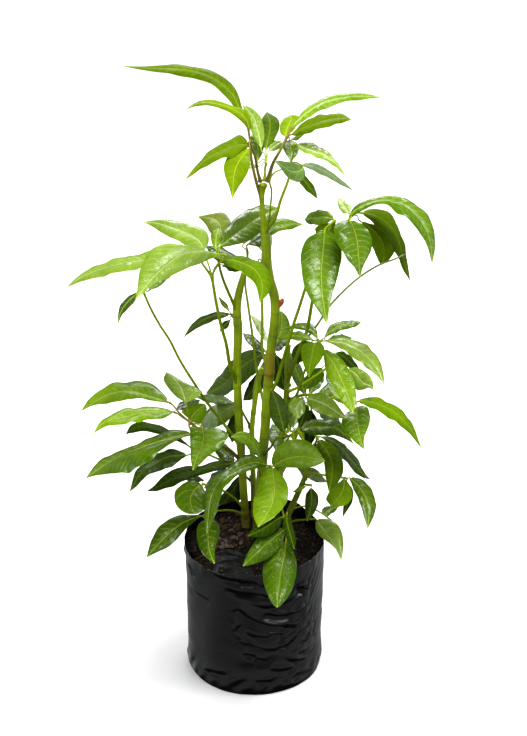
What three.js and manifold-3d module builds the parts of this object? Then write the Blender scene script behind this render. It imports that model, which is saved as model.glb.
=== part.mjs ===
// Potted umbrella plant: a young schefflera in a black polyethylene grow bag.
// Millimetres, +Z up. The origin is the centre of the bag's flat base on the
// surface it stands on; the plant's show side faces -Y.
import * as THREE from 'three';
import { mergeVertices } from 'three/addons/utils/BufferGeometryUtils.js';
import Module from 'manifold-3d';

const wasm = await Module();
wasm.setup();

// ---- driving dimensions -------------------------------------------------
const BAG_BASE_R = 106;      // outer radius of the bag just above the base
const BAG_RIM_R = 110;       // outer radius at the open rim
const BAG_HEIGHT = 226;      // nominal rim height
const BAG_BASE_FLAT_R = 99;  // the flat ring-and-disc it stands on
const FILM = 1.2;            // film with its doubled folds, as one wall
const BAG_SIDES = 32;
const SOIL_TOP = 210;        // soil level at the wall
const SOIL_CROWN = 5;        // how far the soil rises towards the stems
const GAP = 0.3;             // clearance between touching pieces
const BLADE_HALF = 0.8;      // half thickness of a leaflet along its midrib
const PETIOLE_SIDES = 5;
const STEM_SIDES = 8;

// ---- stems: centre lines and radii ---------------------------------------
const STEMS = [
  { name: 'stem_main', path: [[7.8,46,172], [7.8,46,202.9], [6.2,46,219.8], [12.6,45,321.3], [17.3,44,393.1], [21.9,42,463.8], [26.3,40,532.7], [32.2,38,586.9], [32.1,37,616.8], [24.6,36,649.7], [20.2,35,682.1], [18.7,34,714.2], [14.3,32,754], [12.8,31,783.7], [15,30,802.4]],
    radii: [8.2, 8.2, 8, 7.6, 7.6, 7.8, 7.2, 7, 7.2, 6.8, 6.8, 7.2, 3.8, 3.2, 5.6] },
  { name: 'stem_left', path: [[-11.5,50,172], [-11.5,50,200.5], [-13,50,217.3], [-17.4,50,300.3], [-20.2,50,354.4], [-24.3,50,442.4], [-25.5,50,494], [-23.5,48,562.4], [-24.7,47,604.2], [-20,46,632.4], [-13.9,45,657.1]],
    radii: [6.4, 6.4, 6.2, 6, 6.4, 6.4, 6.2, 6.6, 6.4, 5.4, 4.2] },
  { name: 'stem_right', path: [[28.7,70,172], [28.7,70,191.8], [28.7,70,210.7], [34.9,70,288.7], [42.5,68,362.3], [48.5,66,416.6], [51.3,64,461.2], [51,62,501.7], [53.9,60,531.6]],
    radii: [5.4, 5.4, 5.2, 5, 4.8, 4.6, 4.2, 3.6, 3] },
  { name: 'stem_low_right', path: [[52.4,36,172], [52.4,36,224], [53.9,36,242.6], [64.7,36,272], [77,36,304.7], [86,36,340.7], [94.9,36,372.8]],
    radii: [5.2, 5.2, 5, 4.6, 4, 3.2, 2.6] },
  { name: 'stem_front', path: [[12.6,20,172], [12.6,20,215.3], [12.6,20,233.9], [15.8,16,283.8], [18.9,12,322.2], [22,8,344.1]],
    radii: [3.6, 3.6, 3.4, 3, 2.8, 2.4] },
  { name: 'stem_back', path: [[-0.4,85,172], [-0.4,85,194], [-0.4,85,212.9], [-1.8,95,292.8], [-3.3,105,360.2], [3.2,112,419.2], [12.6,115,465.3]],
    radii: [5, 5, 4.8, 4.4, 4.2, 3.8, 3.2] },
  { name: 'stem_back_right', path: [[19.1,88,172], [19.1,88,199.7], [20.7,88,214.8], [38.5,115,262.7], [58,140,304.4], [74.2,155,342.4], [87.1,165,373.8]],
    radii: [4.6, 4.6, 4.4, 4, 3.6, 3.2, 2.8] },
];

// ---- compound leaves ------------------------------------------------------
// Each leaf is one grown piece: a petiole from its stem up to a hub, short
// stalks from the hub, and leaflets. A leaflet row is [midrib, left edge,
// right edge] at one station between its base and its tip.
const LEAVES = [
  { name: 'leaf_top_far_left', colour: 0x8fb81c, foot: 'stem_main', radii: [2.6, 1.6], hub: [-7,32.2,887.2],
    petiole: [[13,31.1,779.5], [5.6,32.6,799.9], [-1.5,35.7,836.8], [-4.2,35.1,864], [-7,32.2,887.2]],
    leaflets: [
      { base: [-14.1,46,899], tip: [-190,157.9,939.2], rows: [[[-20.2,56.9,908.1], [-17.1,61.8,908.9], [-23.3,52.1,907.2]], [[-54.1,96.4,937.7], [-48,110.9,940.2], [-60.1,82,935.2]], [[-109.8,125.3,944.1], [-106.5,141,946.7], [-113.1,109.8,941.5]], [[-166.7,148,939.6], [-165.7,151.6,940.3], [-167.6,144.4,939]]] },
      { base: [-5.5,29.3,883.7], tip: [-92.2,15.7,919], rows: [[[-6.4,30.5,890.6], [-3.4,32.7,891.1], [-9.5,29,890]], [[-24.3,32.3,911.3], [-19,39.9,912.5], [-29.6,26.1,909.7]], [[-53.4,29.4,922.9], [-51.4,37.5,923.9], [-55.3,22.2,921.6]], [[-81.9,21.3,923.4], [-82,26.4,923.9], [-81.8,16.6,922.7]]] }
    ] },
  { name: 'leaf_top_near_left', colour: 0x8fb81c, foot: 'stem_main', radii: [2.2, 1.5], hub: [-4,5.8,875.4],
    petiole: [[10.3,27,808.1], [4.4,13.1,840.2], [-0.5,6.3,864.9], [-4,5.8,875.4]],
    leaflets: [
      { base: [-6.8,-2.1,870.7], tip: [-90.9,-83.7,851.4], rows: [[[-10.2,-5.5,873.9], [-8.4,6.4,876.7], [-11.9,-16.4,870.9]], [[-34.3,-24.4,875], [-32.9,-3.2,879.9], [-35.6,-44,869.8]], [[-61.5,-47.8,868.6], [-62.4,-32.9,871.8], [-60.6,-61.5,865.1]], [[-82.8,-73.2,856.7], [-83.3,-68.7,857.6], [-82.3,-77.3,855.7]]] },
      { base: [-5.3,-10.8,869.3], tip: [-26.9,-118.3,836.8], rows: [[[-8.2,-17.6,868.5], [-11.7,-15.2,870], [-4.7,-20.6,867.2]], [[-19.4,-45.2,862.6], [-33.6,-37.6,867.6], [-5.2,-55.3,858.6]], [[-25.7,-76.3,851.4], [-37.7,-71.7,854.6], [-13.7,-82.9,849]], [[-26.6,-106,841.3], [-29.3,-104.8,842.1], [-24,-107.7,840.7]]] }
    ] },
  { name: 'leaf_top_young', colour: 0x9cc088, foot: 'stem_main', radii: [1.9, 1.5], hub: [18.6,38.7,831.2],
    petiole: [[15.7,34,805.5], [17.2,38.7,817.5], [18.6,38.7,831.2]],
    leaflets: [
      { base: [18.6,74.8,839.8], tip: [20.2,172.4,864.3], rows: [[[19.5,81.5,841.2], [16.8,81.5,841.3], [22.1,81,841.3]], [[22.8,108,848.2], [12.9,107.5,848], [32.6,106.9,848.9]], [[25.1,136.4,857.1], [12.3,134.2,856.2], [37.9,136.4,858.7]], [[21.5,162.3,862.8], [16.1,161.6,862.5], [26.8,162.1,863.4]]] },
      { base: [11.4,83.9,839.7], tip: [-15.4,157.9,879.7], rows: [[[9.5,98.9,848.2], [3.7,96.6,847], [15.3,100.3,849.7]], [[4.4,120.5,861.2], [-3.9,114.9,858.8], [12.7,124.8,864]], [[-4.5,141.5,872.9], [-10.5,135.6,870.6], [1.5,146.4,875.4]]] },
      { base: [8.5,61.9,818.4], tip: [-28.6,112.8,809.7], rows: [[[1.2,71.1,814.7], [1.3,77.7,815.3], [1,64.7,814.1]], [[-9.1,85.5,812.6], [-8.9,92.7,813.3], [-9.2,78.5,811.8]], [[-19.5,100.3,811.2], [-19.4,104.2,811.6], [-19.6,96.6,810.8]]] },
      { base: [7,83.9,819.8], tip: [0.8,151.7,839.9], rows: [[[6.4,97.2,823.4], [1.1,96.7,822.8], [11.8,97.2,824.3]], [[6,116.7,830], [-3.1,115.6,828.8], [15.1,116.8,831.6]], [[3.4,136.2,836.7], [-4.2,135,835.6], [10.9,136.6,838.2]]] },
      { base: [23,70.3,838.3], tip: [42.2,107.3,839.4], rows: [[[26,78,839.2], [24,80.6,841], [28,76.1,837.2]], [[34.9,94.1,840.6], [31.8,99.7,844.3], [38,89.6,836.5]]] }
    ] },
  { name: 'leaf_top_right', colour: 0x8fb81c, foot: 'stem_main', radii: [3, 1.8], hub: [48.3,21.9,875.9],
    petiole: [[20.9,27,808.1], [26.4,22.6,829.4], [38.4,19.5,857.4], [48.3,21.9,875.9]],
    leaflets: [
      { base: [54,34.6,884.9], tip: [186.9,126.4,901.8], rows: [[[60.8,42.9,889.9], [60,45.9,890.2], [62.5,36.4,889.1]], [[91.4,72.9,905], [88.7,87,906.5], [93.9,58.7,903.1]], [[130.2,98.7,910], [128.9,113.4,911.7], [131.4,85.1,908.1]], [[170.3,118.9,905.1], [170.4,125.2,905.9], [170.5,113.5,904.3]]] },
      { base: [55.2,18.8,881.3], tip: [135.7,-25.3,916.3], rows: [[[60.1,16,884.3], [59.4,24.7,885], [60.8,8.8,883.1]], [[80.6,6.8,899.1], [79.1,28.9,901.1], [82.2,-11.6,896.1]], [[104.5,-5.1,909.9], [104.7,13.7,911.7], [104.5,-20.8,907.2]], [[127.6,-18.5,916.4], [128.7,-7.9,917.5], [126.5,-27.2,914.7]]] },
      { base: [47.1,44.6,869.7], tip: [55.1,104.8,881.4], rows: [[[47.5,56.3,871.2], [40.4,57.4,869.6], [54.7,57.5,872]], [[51.6,74.2,876.8], [39.6,77.2,875.1], [63.7,75.3,877.1]], [[55.8,92.1,882.1], [45.6,93.9,880], [66,93.7,883.1]]] },
      { base: [54.2,39.7,865.4], tip: [73.4,67.1,865.1], rows: [[[58.1,45,865], [57.6,48.1,865.3], [58.6,41.8,864.7]], [[66.1,56.5,864.9], [65.5,60.6,865.3], [66.8,52.2,864.5]]] }
    ] },
  { name: 'leaf_top_low_right', colour: 0x9cc088, foot: 'stem_main', radii: [2.6, 1.7], hub: [54.1,16.7,839],
    petiole: [[17,33.2,729.6], [30.2,21.6,750.3], [40.2,19,782.1], [50,16.5,813.5], [54.2,16.4,830], [54.1,16.7,839]],
    leaflets: [
      { base: [62.2,7.6,868.9], tip: [128,-77,851.9], rows: [[[66.3,2.8,869.9], [67.3,12.8,870.9], [65.3,-7.2,869]], [[87.5,-17.8,869.9], [90.3,-1.4,871.3], [84.7,-34.2,868.5]], [[107.9,-41.4,865.4], [110.2,-31.7,866.1], [105.6,-51,864.7]], [[122.8,-66.4,856.3], [123.4,-64,856.4], [122.2,-68.9,856.1]]] },
      { base: [71.5,29.1,831.6], tip: [146.5,76.5,776], rows: [[[76.5,33.5,830], [76.8,40.3,830.7], [76.1,26.5,829.3]], [[97.6,47.8,817.9], [99,58.9,819.1], [96.3,36.2,816.9]], [[118.9,60.4,801.2], [120.5,69.3,802.1], [117.3,51.3,800.4]], [[138.4,71.8,783.2], [139,74.9,783.5], [137.7,68.6,782.9]]] },
      { base: [64.7,41.2,818.2], tip: [93.9,80.1,762.2], rows: [[[69.5,49,807], [65.9,44.7,806.3], [73.1,54.1,807.4]], [[77.9,59.8,791.3], [72.7,53.4,790.2], [83.1,67.5,791.9]], [[87.1,70.8,775.8], [83.6,66.8,775.1], [90.7,75.6,776.2]]] },
      { base: [54.2,22.7,839.8], tip: [49.2,87.6,848.4], rows: [[[55.3,35.9,842.1], [50.4,37.3,841.3], [60.3,35.3,842.5]], [[55.1,54.9,846.1], [45.5,56.8,844.1], [64.7,54.4,847.6]], [[50.9,73.6,849.5], [42.2,74.9,847.4], [59.6,73.5,851.1]]] }
    ] },
  { name: 'leaf_top_front', colour: 0x9cc088, foot: 'stem_main', radii: [1.6, 1.2], hub: [54.8,-28,847.4],
    petiole: [[17.8,33.6,721.6], [25.7,-7.1,784.4], [26.3,-19.5,811.7], [23.4,-27.8,829.6], [31,-33.7,843.6], [42.2,-34.1,848.1], [54.8,-28,847.4]],
    leaflets: [
      { base: [69.8,-42,853.9], tip: [30.6,-82.6,876.9], rows: [[[67,-52.7,853.2], [62.6,-46.3,859.6], [71.3,-60.7,847.3]], [[53.5,-65.9,856.1], [51.5,-57.2,865.5], [55.5,-76.4,847.4]], [[40.9,-74.9,867.3], [40.3,-70.4,872.2], [41.5,-80.3,862.7]]] }
    ] },
  { name: 'leaf_upper_left_front', colour: 0x6aa52c, foot: 'stem_left', radii: [3, 2.2], hub: [-60,-0.1,670],
    petiole: [[-24.9,50,468.4], [-35.8,33.8,510.5], [-41.2,21.7,549.8], [-48.1,11.7,587.5], [-52.1,5.7,614.6], [-56.1,1.8,640.5], [-60,-0.1,670]],
    leaflets: [
      { base: [-74.9,63.7,686.2], tip: [-168,155.2,694.8], rows: [[[-75.5,70.7,688], [-69.4,74.2,689.1], [-81.6,68.6,686.4]], [[-93.5,98.6,696.8], [-80.4,114.7,702.5], [-106.7,86.3,689.6]], [[-124.7,123.8,698.5], [-116.7,138.5,703.9], [-132.7,112,692]], [[-155.1,146.7,697.1], [-153.1,151.7,699], [-157.2,142.6,694.9]]] },
      { base: [-43.7,2.2,703.7], tip: [-165.6,-76.9,669.1], rows: [[[-54.1,-0.1,707.7], [-56.4,-0.3,707.8], [-53.2,-5.4,704.3]], [[-94.3,-13.6,714.3], [-104.7,-1.3,722.9], [-88.1,-33.6,701.2]], [[-129.1,-38.2,699.8], [-150.2,-15.9,715.2], [-123.9,-50.6,691.6]], [[-155.8,-65.5,678.5], [-163.2,-58.9,683], [-155,-67.9,676.9]]] },
      { base: [-90.4,40,686.4], tip: [-283.2,89,615.2], rows: [[[-103,44.9,684.4], [-103.9,57.6,685], [-102.2,32.7,683.6]], [[-156.3,61.7,672.3], [-159.5,85.1,673.5], [-153.2,39.2,670.9]], [[-212.5,76.5,654.6], [-217.5,100,655.8], [-207.6,54,653.2]], [[-264.5,86.8,629.5], [-267.4,95.6,629.8], [-261.6,78.4,629]]] },
      { base: [-43.7,53.8,666.2], tip: [-16,97.3,643], rows: [[[-38.7,62.4,661.3], [-38.1,69.3,662.4], [-39.3,56.5,659.7]], [[-30.7,74.6,654.8], [-29.7,86.3,656.8], [-31.6,64.6,652.1]], [[-22.2,86.7,648.3], [-21.6,95.5,649.8], [-22.8,79.3,646.2]]] }
    ] },
  { name: 'leaf_upper_left_back', colour: 0x6aa52c, foot: 'stem_left', radii: [2.6, 1.9], hub: [-51.6,22,690.7],
    petiole: [[-24.3,47.3,591.1], [-31.9,38,616.4], [-41.9,28,645.1], [-48.8,22,674.9], [-51.6,22,690.7]],
    leaflets: [
      { base: [-55.4,61.8,693.4], tip: [-85.8,169.9,698.1], rows: [[[-53.3,69.7,694.4], [-56.8,69,694.2], [-49.8,70.2,694.6]], [[-48.6,101.3,700.6], [-62.1,95.3,698.1], [-35.1,106.7,703.3]], [[-57.8,134.1,707], [-70.1,122.2,701.3], [-45.5,145.4,713]], [[-77.2,159.9,701.4], [-80.4,156.4,699.7], [-73.9,163.3,703.2]]] },
      { base: [-47.7,47.9,699.1], tip: [38.8,175.8,709.8], rows: [[[-42.9,56.9,699.9], [-45.8,62.3,701.8], [-40.1,52,697.6]], [[-22.1,92.4,704.7], [-32.3,112.3,712.2], [-12.1,74.7,696.4]], [[4.4,129.2,709.7], [-5.6,152.3,718.5], [14.3,108.6,700.2]], [[30.5,162.8,710.8], [26.1,174.1,715.1], [34.9,152.8,706.1]]] },
      { base: [-55.2,51.4,692.8], tip: [-51.9,105.6,703.8], rows: [[[-55.7,62.2,695], [-59.8,63.8,694.8], [-51.6,61.7,694.8]], [[-55.5,77.9,699.1], [-62.7,81.3,699], [-48.4,76.3,698.4]], [[-53.9,93.6,703.1], [-60.1,96.9,703.3], [-47.7,91.8,702.4]]] },
      { base: [-48.6,19.3,690.3], tip: [10,-75.3,663.7], rows: [[[-41.1,14.3,691.8], [-40,21,692.9], [-43.1,10,690.1]], [[-13,-6.3,694.6], [-5.4,6.7,697], [-21,-18.3,689.5]], [[8.8,-33.1,686.4], [22.5,-25,688.1], [-0.6,-39.5,682.5]], [[12.7,-63,670.3], [19.4,-64.7,670.1], [8.6,-63.5,669.2]]] }
    ] },
  { name: 'leaf_small_left', colour: 0x4f8a1c, foot: 'stem_left', radii: [2.6, 1.7], hub: [-162.5,34.6,629.3],
    petiole: [[-20.5,50,359.8], [-46.5,58,396.2], [-75.6,60.5,437], [-95,58.3,472.7], [-112.5,54.8,508.7], [-126.7,50,544.8], [-140.8,45.3,571.9], [-154.6,39.4,604.3], [-162.5,34.6,629.3]],
    leaflets: [
      { base: [-171,30.1,632.9], tip: [-197.7,-21.9,606.3], rows: [[[-177.8,20.4,628.9], [-182,26.2,629.7], [-173.7,14.9,628.1]], [[-188.1,6.4,622.6], [-193.4,12.7,623.4], [-182.9,0.4,621.6]], [[-195.3,-8.4,614.6], [-197.5,-6.4,614.9], [-193,-10.3,614.3]]] },
      { base: [-157.2,65.8,620.5], tip: [-120.6,157.6,627.5], rows: [[[-150.3,83.8,621.2], [-154.6,92.1,621.7], [-146,75,620.9]], [[-139.7,109.7,623.6], [-145.8,121.3,624.4], [-133.6,97.4,623.1]], [[-128.9,135.8,626.3], [-134.3,145.9,627.1], [-123.5,125.1,625.8]]] },
      { base: [-164.6,65.3,622.3], tip: [-161,160.7,631.3], rows: [[[-163.7,83.9,623.2], [-170,84.9,624.1], [-157.4,82,622.8]], [[-161.7,111,626.4], [-171.8,112,627.6], [-151.4,108.4,625.8]], [[-160.6,138.3,630.1], [-168.6,138.6,631], [-152.5,136.7,629.7]]] }
    ] },
  { name: 'leaf_dark_left', colour: 0x24501a, foot: 'stem_left', radii: [2, 1.6], hub: [-32.5,57,583.2],
    petiole: [[-23.9,47.7,575.2], [-32.5,57,583.2]],
    leaflets: [
      { base: [-37.1,60.6,583.2], tip: [-107.6,94.3,528.9], rows: [[[-52.3,69.9,577.5], [-54.1,82.4,577.6], [-50.6,58.9,576.7]], [[-74.4,80.7,565.1], [-77.3,93.1,565.2], [-71.6,69.9,564.3]], [[-94.1,89,547.5], [-96.7,96.7,547.5], [-91.6,82.3,546.9]]] },
      { base: [-37.2,65.5,585.9], tip: [-52.9,94.9,596], rows: [[[-40.1,71.4,588], [-41.3,70,587.7], [-38.8,73.3,588.1]], [[-47,83.7,592], [-49,81.4,591.5], [-44.9,86.7,592.2]]] },
      { base: [-35.7,62.1,572.5], tip: [-51.5,77.9,546.8], rows: [[[-39,65.3,567.6], [-40.8,67.5,568.5], [-37.2,63.7,566.6]], [[-45.5,72,556.9], [-48.3,75.3,558.1], [-42.8,69.5,555.3]]] }
    ] },
  { name: 'leaf_upper_back', colour: 0x24501a, foot: 'stem_main', radii: [2.4, 1.6], hub: [-9.8,85,658],
    petiole: [[19.3,43.1,423.2], [9.6,58,459.1], [-2.5,66,554], [-8.5,74,592], [-12.9,80,627.4], [-9.8,85,658]],
    leaflets: [
      { base: [-7,122,672.1], tip: [77.1,219.4,666.3], rows: [[[-2.1,128.8,671.6], [-3.6,137.9,672.2], [-0.7,120.3,670.8]], [[16.7,157.8,675.7], [13.4,182.2,677.4], [20,135.3,673.4]], [[39.9,187.3,678.5], [38.7,208.5,680.2], [41,167.6,676.3]], [[66.4,210.2,670.1], [66.2,218.7,670.8], [66.6,202.4,669.1]]] },
      { base: [-15,153.4,660.9], tip: [12.6,262.1,669.9], rows: [[[-13.2,160.8,661.3], [-15.1,163.1,661.5], [-11.3,159.2,660.8]], [[-5.7,189.7,662.8], [-13.7,199.6,663.8], [2.2,182.6,660.6]], [[2.7,220.7,666.3], [-5.5,230.7,667.4], [10.9,213.6,664.1]], [[9.7,250.2,669], [6.8,253.8,669.4], [12.6,247.6,668.2]]] },
      { base: [-21,127.5,633.5], tip: [-76.2,226.9,625.9], rows: [[[-24.2,134.2,632.5], [-22.8,140.1,633], [-25.5,128.5,631.9]], [[-37.4,161.2,630.8], [-32.4,180.1,632.6], [-42.3,143.3,628.7]], [[-54.5,189.3,629.2], [-49.8,208.4,631.1], [-59.2,171.3,627]], [[-70,216.1,627], [-68.4,222.7,627.7], [-71.6,209.9,626.2]]] }
    ] },
  { name: 'leaf_upper_back_2', colour: 0x24501a, foot: 'stem_main', radii: [2.8, 1.8], hub: [12.7,125,641.2],
    petiole: [[24.1,41,498.4], [13.5,62,518.8], [12.7,78,548.4], [12.7,96,590.5], [12.7,110,617.7], [12.7,125,641.2]],
    leaflets: [
      { base: [12.7,188.8,634.8], tip: [-11.8,308.3,650.4], rows: [[[11.4,197,635.6], [9.1,194.8,635.6], [13.6,198.8,635.7]], [[5.5,229.1,639.5], [-2.9,220.7,639.4], [14,236.2,640.1]], [[-1.7,263.1,644.8], [-11.7,252.8,644.6], [8.3,271.8,645.7]], [[-9,295.2,648.7], [-12.1,291.9,648.6], [-5.8,298,649]]] },
      { base: [18.9,162.2,622.2], tip: [12.6,218,543.2], rows: [[[16.8,173.8,607.4], [10.7,174.7,608.1], [23,174.2,606.2]], [[14.4,189.3,584.9], [4.9,190,585.9], [23.9,190.4,583.1]], [[12.9,204.4,561.7], [5.4,204.5,562.5], [20.5,205.6,560.4]]] },
      { base: [1.8,170.5,622.1], tip: [-51.9,252.4,580.8], rows: [[[-1.6,176.5,619.7], [-1.8,181.7,619.9], [-1.5,171.9,619.2]], [[-15.3,199.3,609.9], [-16.3,220.8,610.9], [-14.3,180.4,607.9]], [[-31.8,222.4,598.7], [-33.6,244,599.8], [-30.1,203.6,596.6]], [[-46.1,243.7,585.9], [-46.8,251,586.3], [-45.6,237.4,585.2]]] },
      { base: [20.5,185.1,622.8], tip: [27.1,288.6,625.2], rows: [[[20.1,192.2,622.7], [18.3,192,622.7], [21.8,192.4,622.6]], [[19.7,219.9,622.8], [13.3,219.7,623], [26.1,220.3,622.5]], [[22,249.3,624.3], [15.7,250.9,624.7], [28.3,248,623.9]], [[25.5,277.3,624.9], [23.5,277.9,625.1], [27.6,276.7,624.8]]] }
    ] },
  { name: 'leaf_right_a', colour: 0x8fb81c, foot: 'stem_main', radii: [3, 1.9], hub: [116.2,1.9,756.5],
    petiole: [[21.2,42.3,453.6], [34.1,35.4,479.1], [42.2,29.6,510.9], [51.7,19.7,555.8], [58.8,12.5,587.1], [68.7,4.7,623.2], [75.7,0.7,649], [88.2,-1.9,694.4], [105,-0.5,734.3], [116.2,1.9,756.5]],
    leaflets: [
      { base: [102.8,-15.9,748.2], tip: [102.6,-151,665.9], rows: [[[101.6,-25.5,742.2], [91.7,-20.9,748], [111.8,-21.6,747.8]], [[97.5,-62.4,719.2], [68.3,-56.4,728], [124.6,-58.9,727]], [[96.5,-100.3,696], [72.8,-99.4,699.1], [114.3,-98.3,700.8]], [[100.4,-136.4,674.4], [93.4,-136.4,675.2], [104.8,-135.6,676]]] },
      { base: [115,8.7,756.9], tip: [76.5,78.6,729.6], rows: [[[109.8,23.7,753.6], [112.2,34,756.8], [107.3,12.8,750.7]], [[97.1,43.5,746.4], [98.7,59.2,751], [95.4,26.9,742.1]], [[83.9,62.5,737.5], [84.5,75.3,741.3], [83.4,49,734.1]]] },
      { base: [115.8,23.6,743.3], tip: [97.2,62.3,702.8], rows: [[[109.9,32.4,737.3], [107,35.1,739.7], [112.7,29,735.1]], [[102.6,43.5,726.5], [96,48,730.9], [109.2,37.7,722.5]], [[98.7,53.4,713.3], [93,56.4,716.6], [104.5,49.3,710.4]]] },
      { base: [119,31.2,740.4], tip: [123,72.3,689.1], rows: [[[118,39.8,730.8], [113.5,41.3,730.9], [122.6,37.8,731]], [[119.1,51,716], [112.1,52.3,715.8], [125.9,49,716.4]], [[121.3,62.1,700.8], [115.6,62.4,700.6], [127,61.3,701.3]]] }
    ] },
  { name: 'leaf_right_b', colour: 0x4f8a1c, foot: 'stem_right', radii: [3.2, 2], hub: [141,-12.9,771.4],
    petiole: [[51.3,63.9,463], [60.1,52,499.9], [71.6,36.5,542.8], [78.7,29.3,566.2], [82.8,24.6,589.7], [88.1,17.4,625.6], [100.5,8.2,669.6], [120.7,-5.6,730.2], [141,-12.9,771.4]],
    leaflets: [
      { base: [137.7,-25,767], tip: [147.4,-134.6,727.8], rows: [[[139.8,-32.6,764.5], [130.2,-28.8,770.6], [144.7,-27.6,767.9]], [[145.7,-62,754.1], [115,-60.4,763.6], [163.7,-50.2,760.1]], [[147.1,-92.9,742.8], [126.4,-93.7,747.4], [163.4,-85.4,744.9]], [[147.3,-122.5,732], [142.7,-121.8,733.9], [150,-120.3,733.3]]] },
      { base: [138.1,-14.1,770.4], tip: [251.3,-77.2,724.5], rows: [[[147.1,-12.7,779.1], [144.3,-3.8,779.9], [148.4,-22.2,778.6]], [[191.6,-15.8,794.9], [193.1,0,796.3], [188.1,-28.2,794.1]], [[233,-36.2,776.4], [243.3,-15,778.5], [224.1,-54.9,775.4]], [[250,-64.8,740.6], [256.1,-59.6,741.2], [247.3,-69.2,740.4]]] },
      { base: [157.6,3.8,768], tip: [229.3,7.2,662.1], rows: [[[165,6.9,766.5], [167,19.6,767.6], [163.2,-4.9,765.1]], [[195,12.7,747.7], [202.1,37.6,749.5], [188.2,-10.4,745.4]], [[213.5,11.2,713.1], [220.4,27.8,713.9], [206.8,-4.1,711.8]], [[224.1,8.2,676.6], [227.1,14.1,676.8], [221.2,2.9,676.3]]] },
      { base: [157.2,14.4,750.1], tip: [188.2,34.9,674.2], rows: [[[171,20.3,738.7], [164.5,17.2,736.4], [177.7,25.6,740.2]], [[186.8,26.5,718.4], [171.9,21.7,715.2], [202.1,35.9,719.7]], [[192.4,30.4,693.3], [180.4,29.1,693], [204.7,35.1,692.1]]] },
      { base: [137.2,-2.7,770.5], tip: [125.1,53.5,772.9], rows: [[[135.9,7.9,769.6], [131,4,768], [140.8,11.7,771.3]], [[132,23.7,770.5], [125.6,19,768.6], [138.5,28.3,772.5]], [[127.7,39.9,772.1], [123.5,37.1,770.9], [131.8,42.6,773.3]]] }
    ] },
  { name: 'petiole_bare', colour: 0x6f8a30, foot: 'stem_right', radii: [2.2, 1.3], hub: [218.6,-13.5,711.7],
    petiole: [[51.1,62.8,485.8], [66.3,64.7,517.5], [85.7,61.8,549.3], [97.3,53.9,571.3], [110.1,43.5,599.2], [135.6,27.8,637.1], [156.6,16.2,663], [185.7,1.8,689.7], [207.7,-8.7,703.5], [218.6,-13.5,711.7]],
    leaflets: [

    ] },
  { name: 'leaf_mid_right', colour: 0x6aa52c, foot: 'stem_right', radii: [2.4, 1.7], hub: [97.3,-1.2,565.7],
    petiole: [[48.5,65.9,417.7], [62,47.3,445.5], [69.2,33.9,471.3], [74.7,21.3,498.1], [83.1,7.7,528.3], [91.6,0.3,553.5], [97.3,-1.2,565.7]],
    leaflets: [
      { base: [106.5,10.7,568.3], tip: [163,65.8,567.5], rows: [[[114.7,23.5,571.8], [111.9,31.7,572.3], [117.5,15.5,571.3]], [[130.3,39.9,573.6], [127.4,52,574.2], [133.1,28.1,572.9]], [[148.5,53.9,570.4], [147,65.3,571], [150,42.7,569.8]]] },
      { base: [109,-4.8,569.1], tip: [190.2,-73,532.2], rows: [[[116.8,-7.9,569.9], [117.7,-2,570.6], [115.5,-11.9,568.8]], [[145.4,-22.1,568.4], [151.3,-3.6,570.7], [139.6,-34.9,564.5]], [[169.9,-41.6,557.3], [178.9,-25.8,559.3], [162.1,-53.7,553.2]], [[185.4,-63.6,540], [189.6,-58.9,540.6], [183.4,-66.3,539]]] },
      { base: [104.4,-14.3,558.8], tip: [143.9,-112.3,505.3], rows: [[[108.6,-20.9,555.6], [104.3,-22.7,554.6], [112.2,-16,557.9]], [[122.6,-46.8,542.2], [108.5,-53.6,538.7], [135,-37.4,547.3]], [[133.6,-74.4,526.9], [121.2,-80.5,523.9], [147,-69.2,530.6]], [[142,-101.2,511.7], [135.9,-104.8,510.1], [147.3,-100.7,512.7]]] },
      { base: [91.1,-8.9,567.7], tip: [80.5,-90.1,552.1], rows: [[[89.9,-21.3,572.3], [77.6,-20.5,573.3], [102.2,-22.7,571.5]], [[85.5,-45.4,565.3], [70.7,-43.9,567], [100.2,-47.5,563.8]], [[82,-69.4,558.2], [75,-69,558.7], [88.9,-70.2,557.8]]] },
      { base: [88.3,-3.1,569.9], tip: [30.9,55.2,544], rows: [[[78.1,10.3,568.4], [79.3,17.7,569.7], [76.9,3.7,566.7]], [[61.8,27.6,562.9], [62.7,37.6,564.8], [60.9,18.5,560.7]], [[45.2,42.9,553.7], [45.4,47.4,554.5], [45,38.9,552.8]]] },
      { base: [95,19.2,562.6], tip: [41.9,90,544.5], rows: [[[89.9,36.8,566], [93.6,43,566.7], [86.1,29.8,565.7]], [[75,58.5,564.8], [78.1,68.3,565.7], [71.9,47.7,564.4]], [[57.1,75.9,554.7], [58.4,81.4,555.2], [55.9,69.8,554.5]]] },
      { base: [86.5,33.4,549.3], tip: [64.8,60.2,499.2], rows: [[[79.8,40.2,542.1], [75.8,44.5,545], [83.7,36.1,539.1]], [[71.4,47.7,528], [63.1,52.9,532.4], [79.7,42.8,523.5]], [[66.5,54,511.7], [59.3,56.6,514.6], [73.8,51.7,508.6]]] },
      { base: [112.3,40.4,549.3], tip: [151.9,100.1,524.4], rows: [[[119.6,52.7,545.1], [119.4,61.4,545.1], [119.8,45.5,544.6]], [[130.8,69.8,538.8], [130.8,82.6,538.7], [130.9,58.9,537.9]], [[142.3,86.2,531.2], [142.5,95.2,531.2], [142.3,78.6,530.6]]] }
    ] },
  { name: 'leaf_right_curled', colour: 0x4f8a1c, foot: 'stem_right', radii: [2.4, 1.7], hub: [123,95,485.6],
    petiole: [[50.5,64.6,448.6], [71.7,78,452.4], [93.5,86,464], [110.6,92,474.9], [123,95,485.6]],
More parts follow.
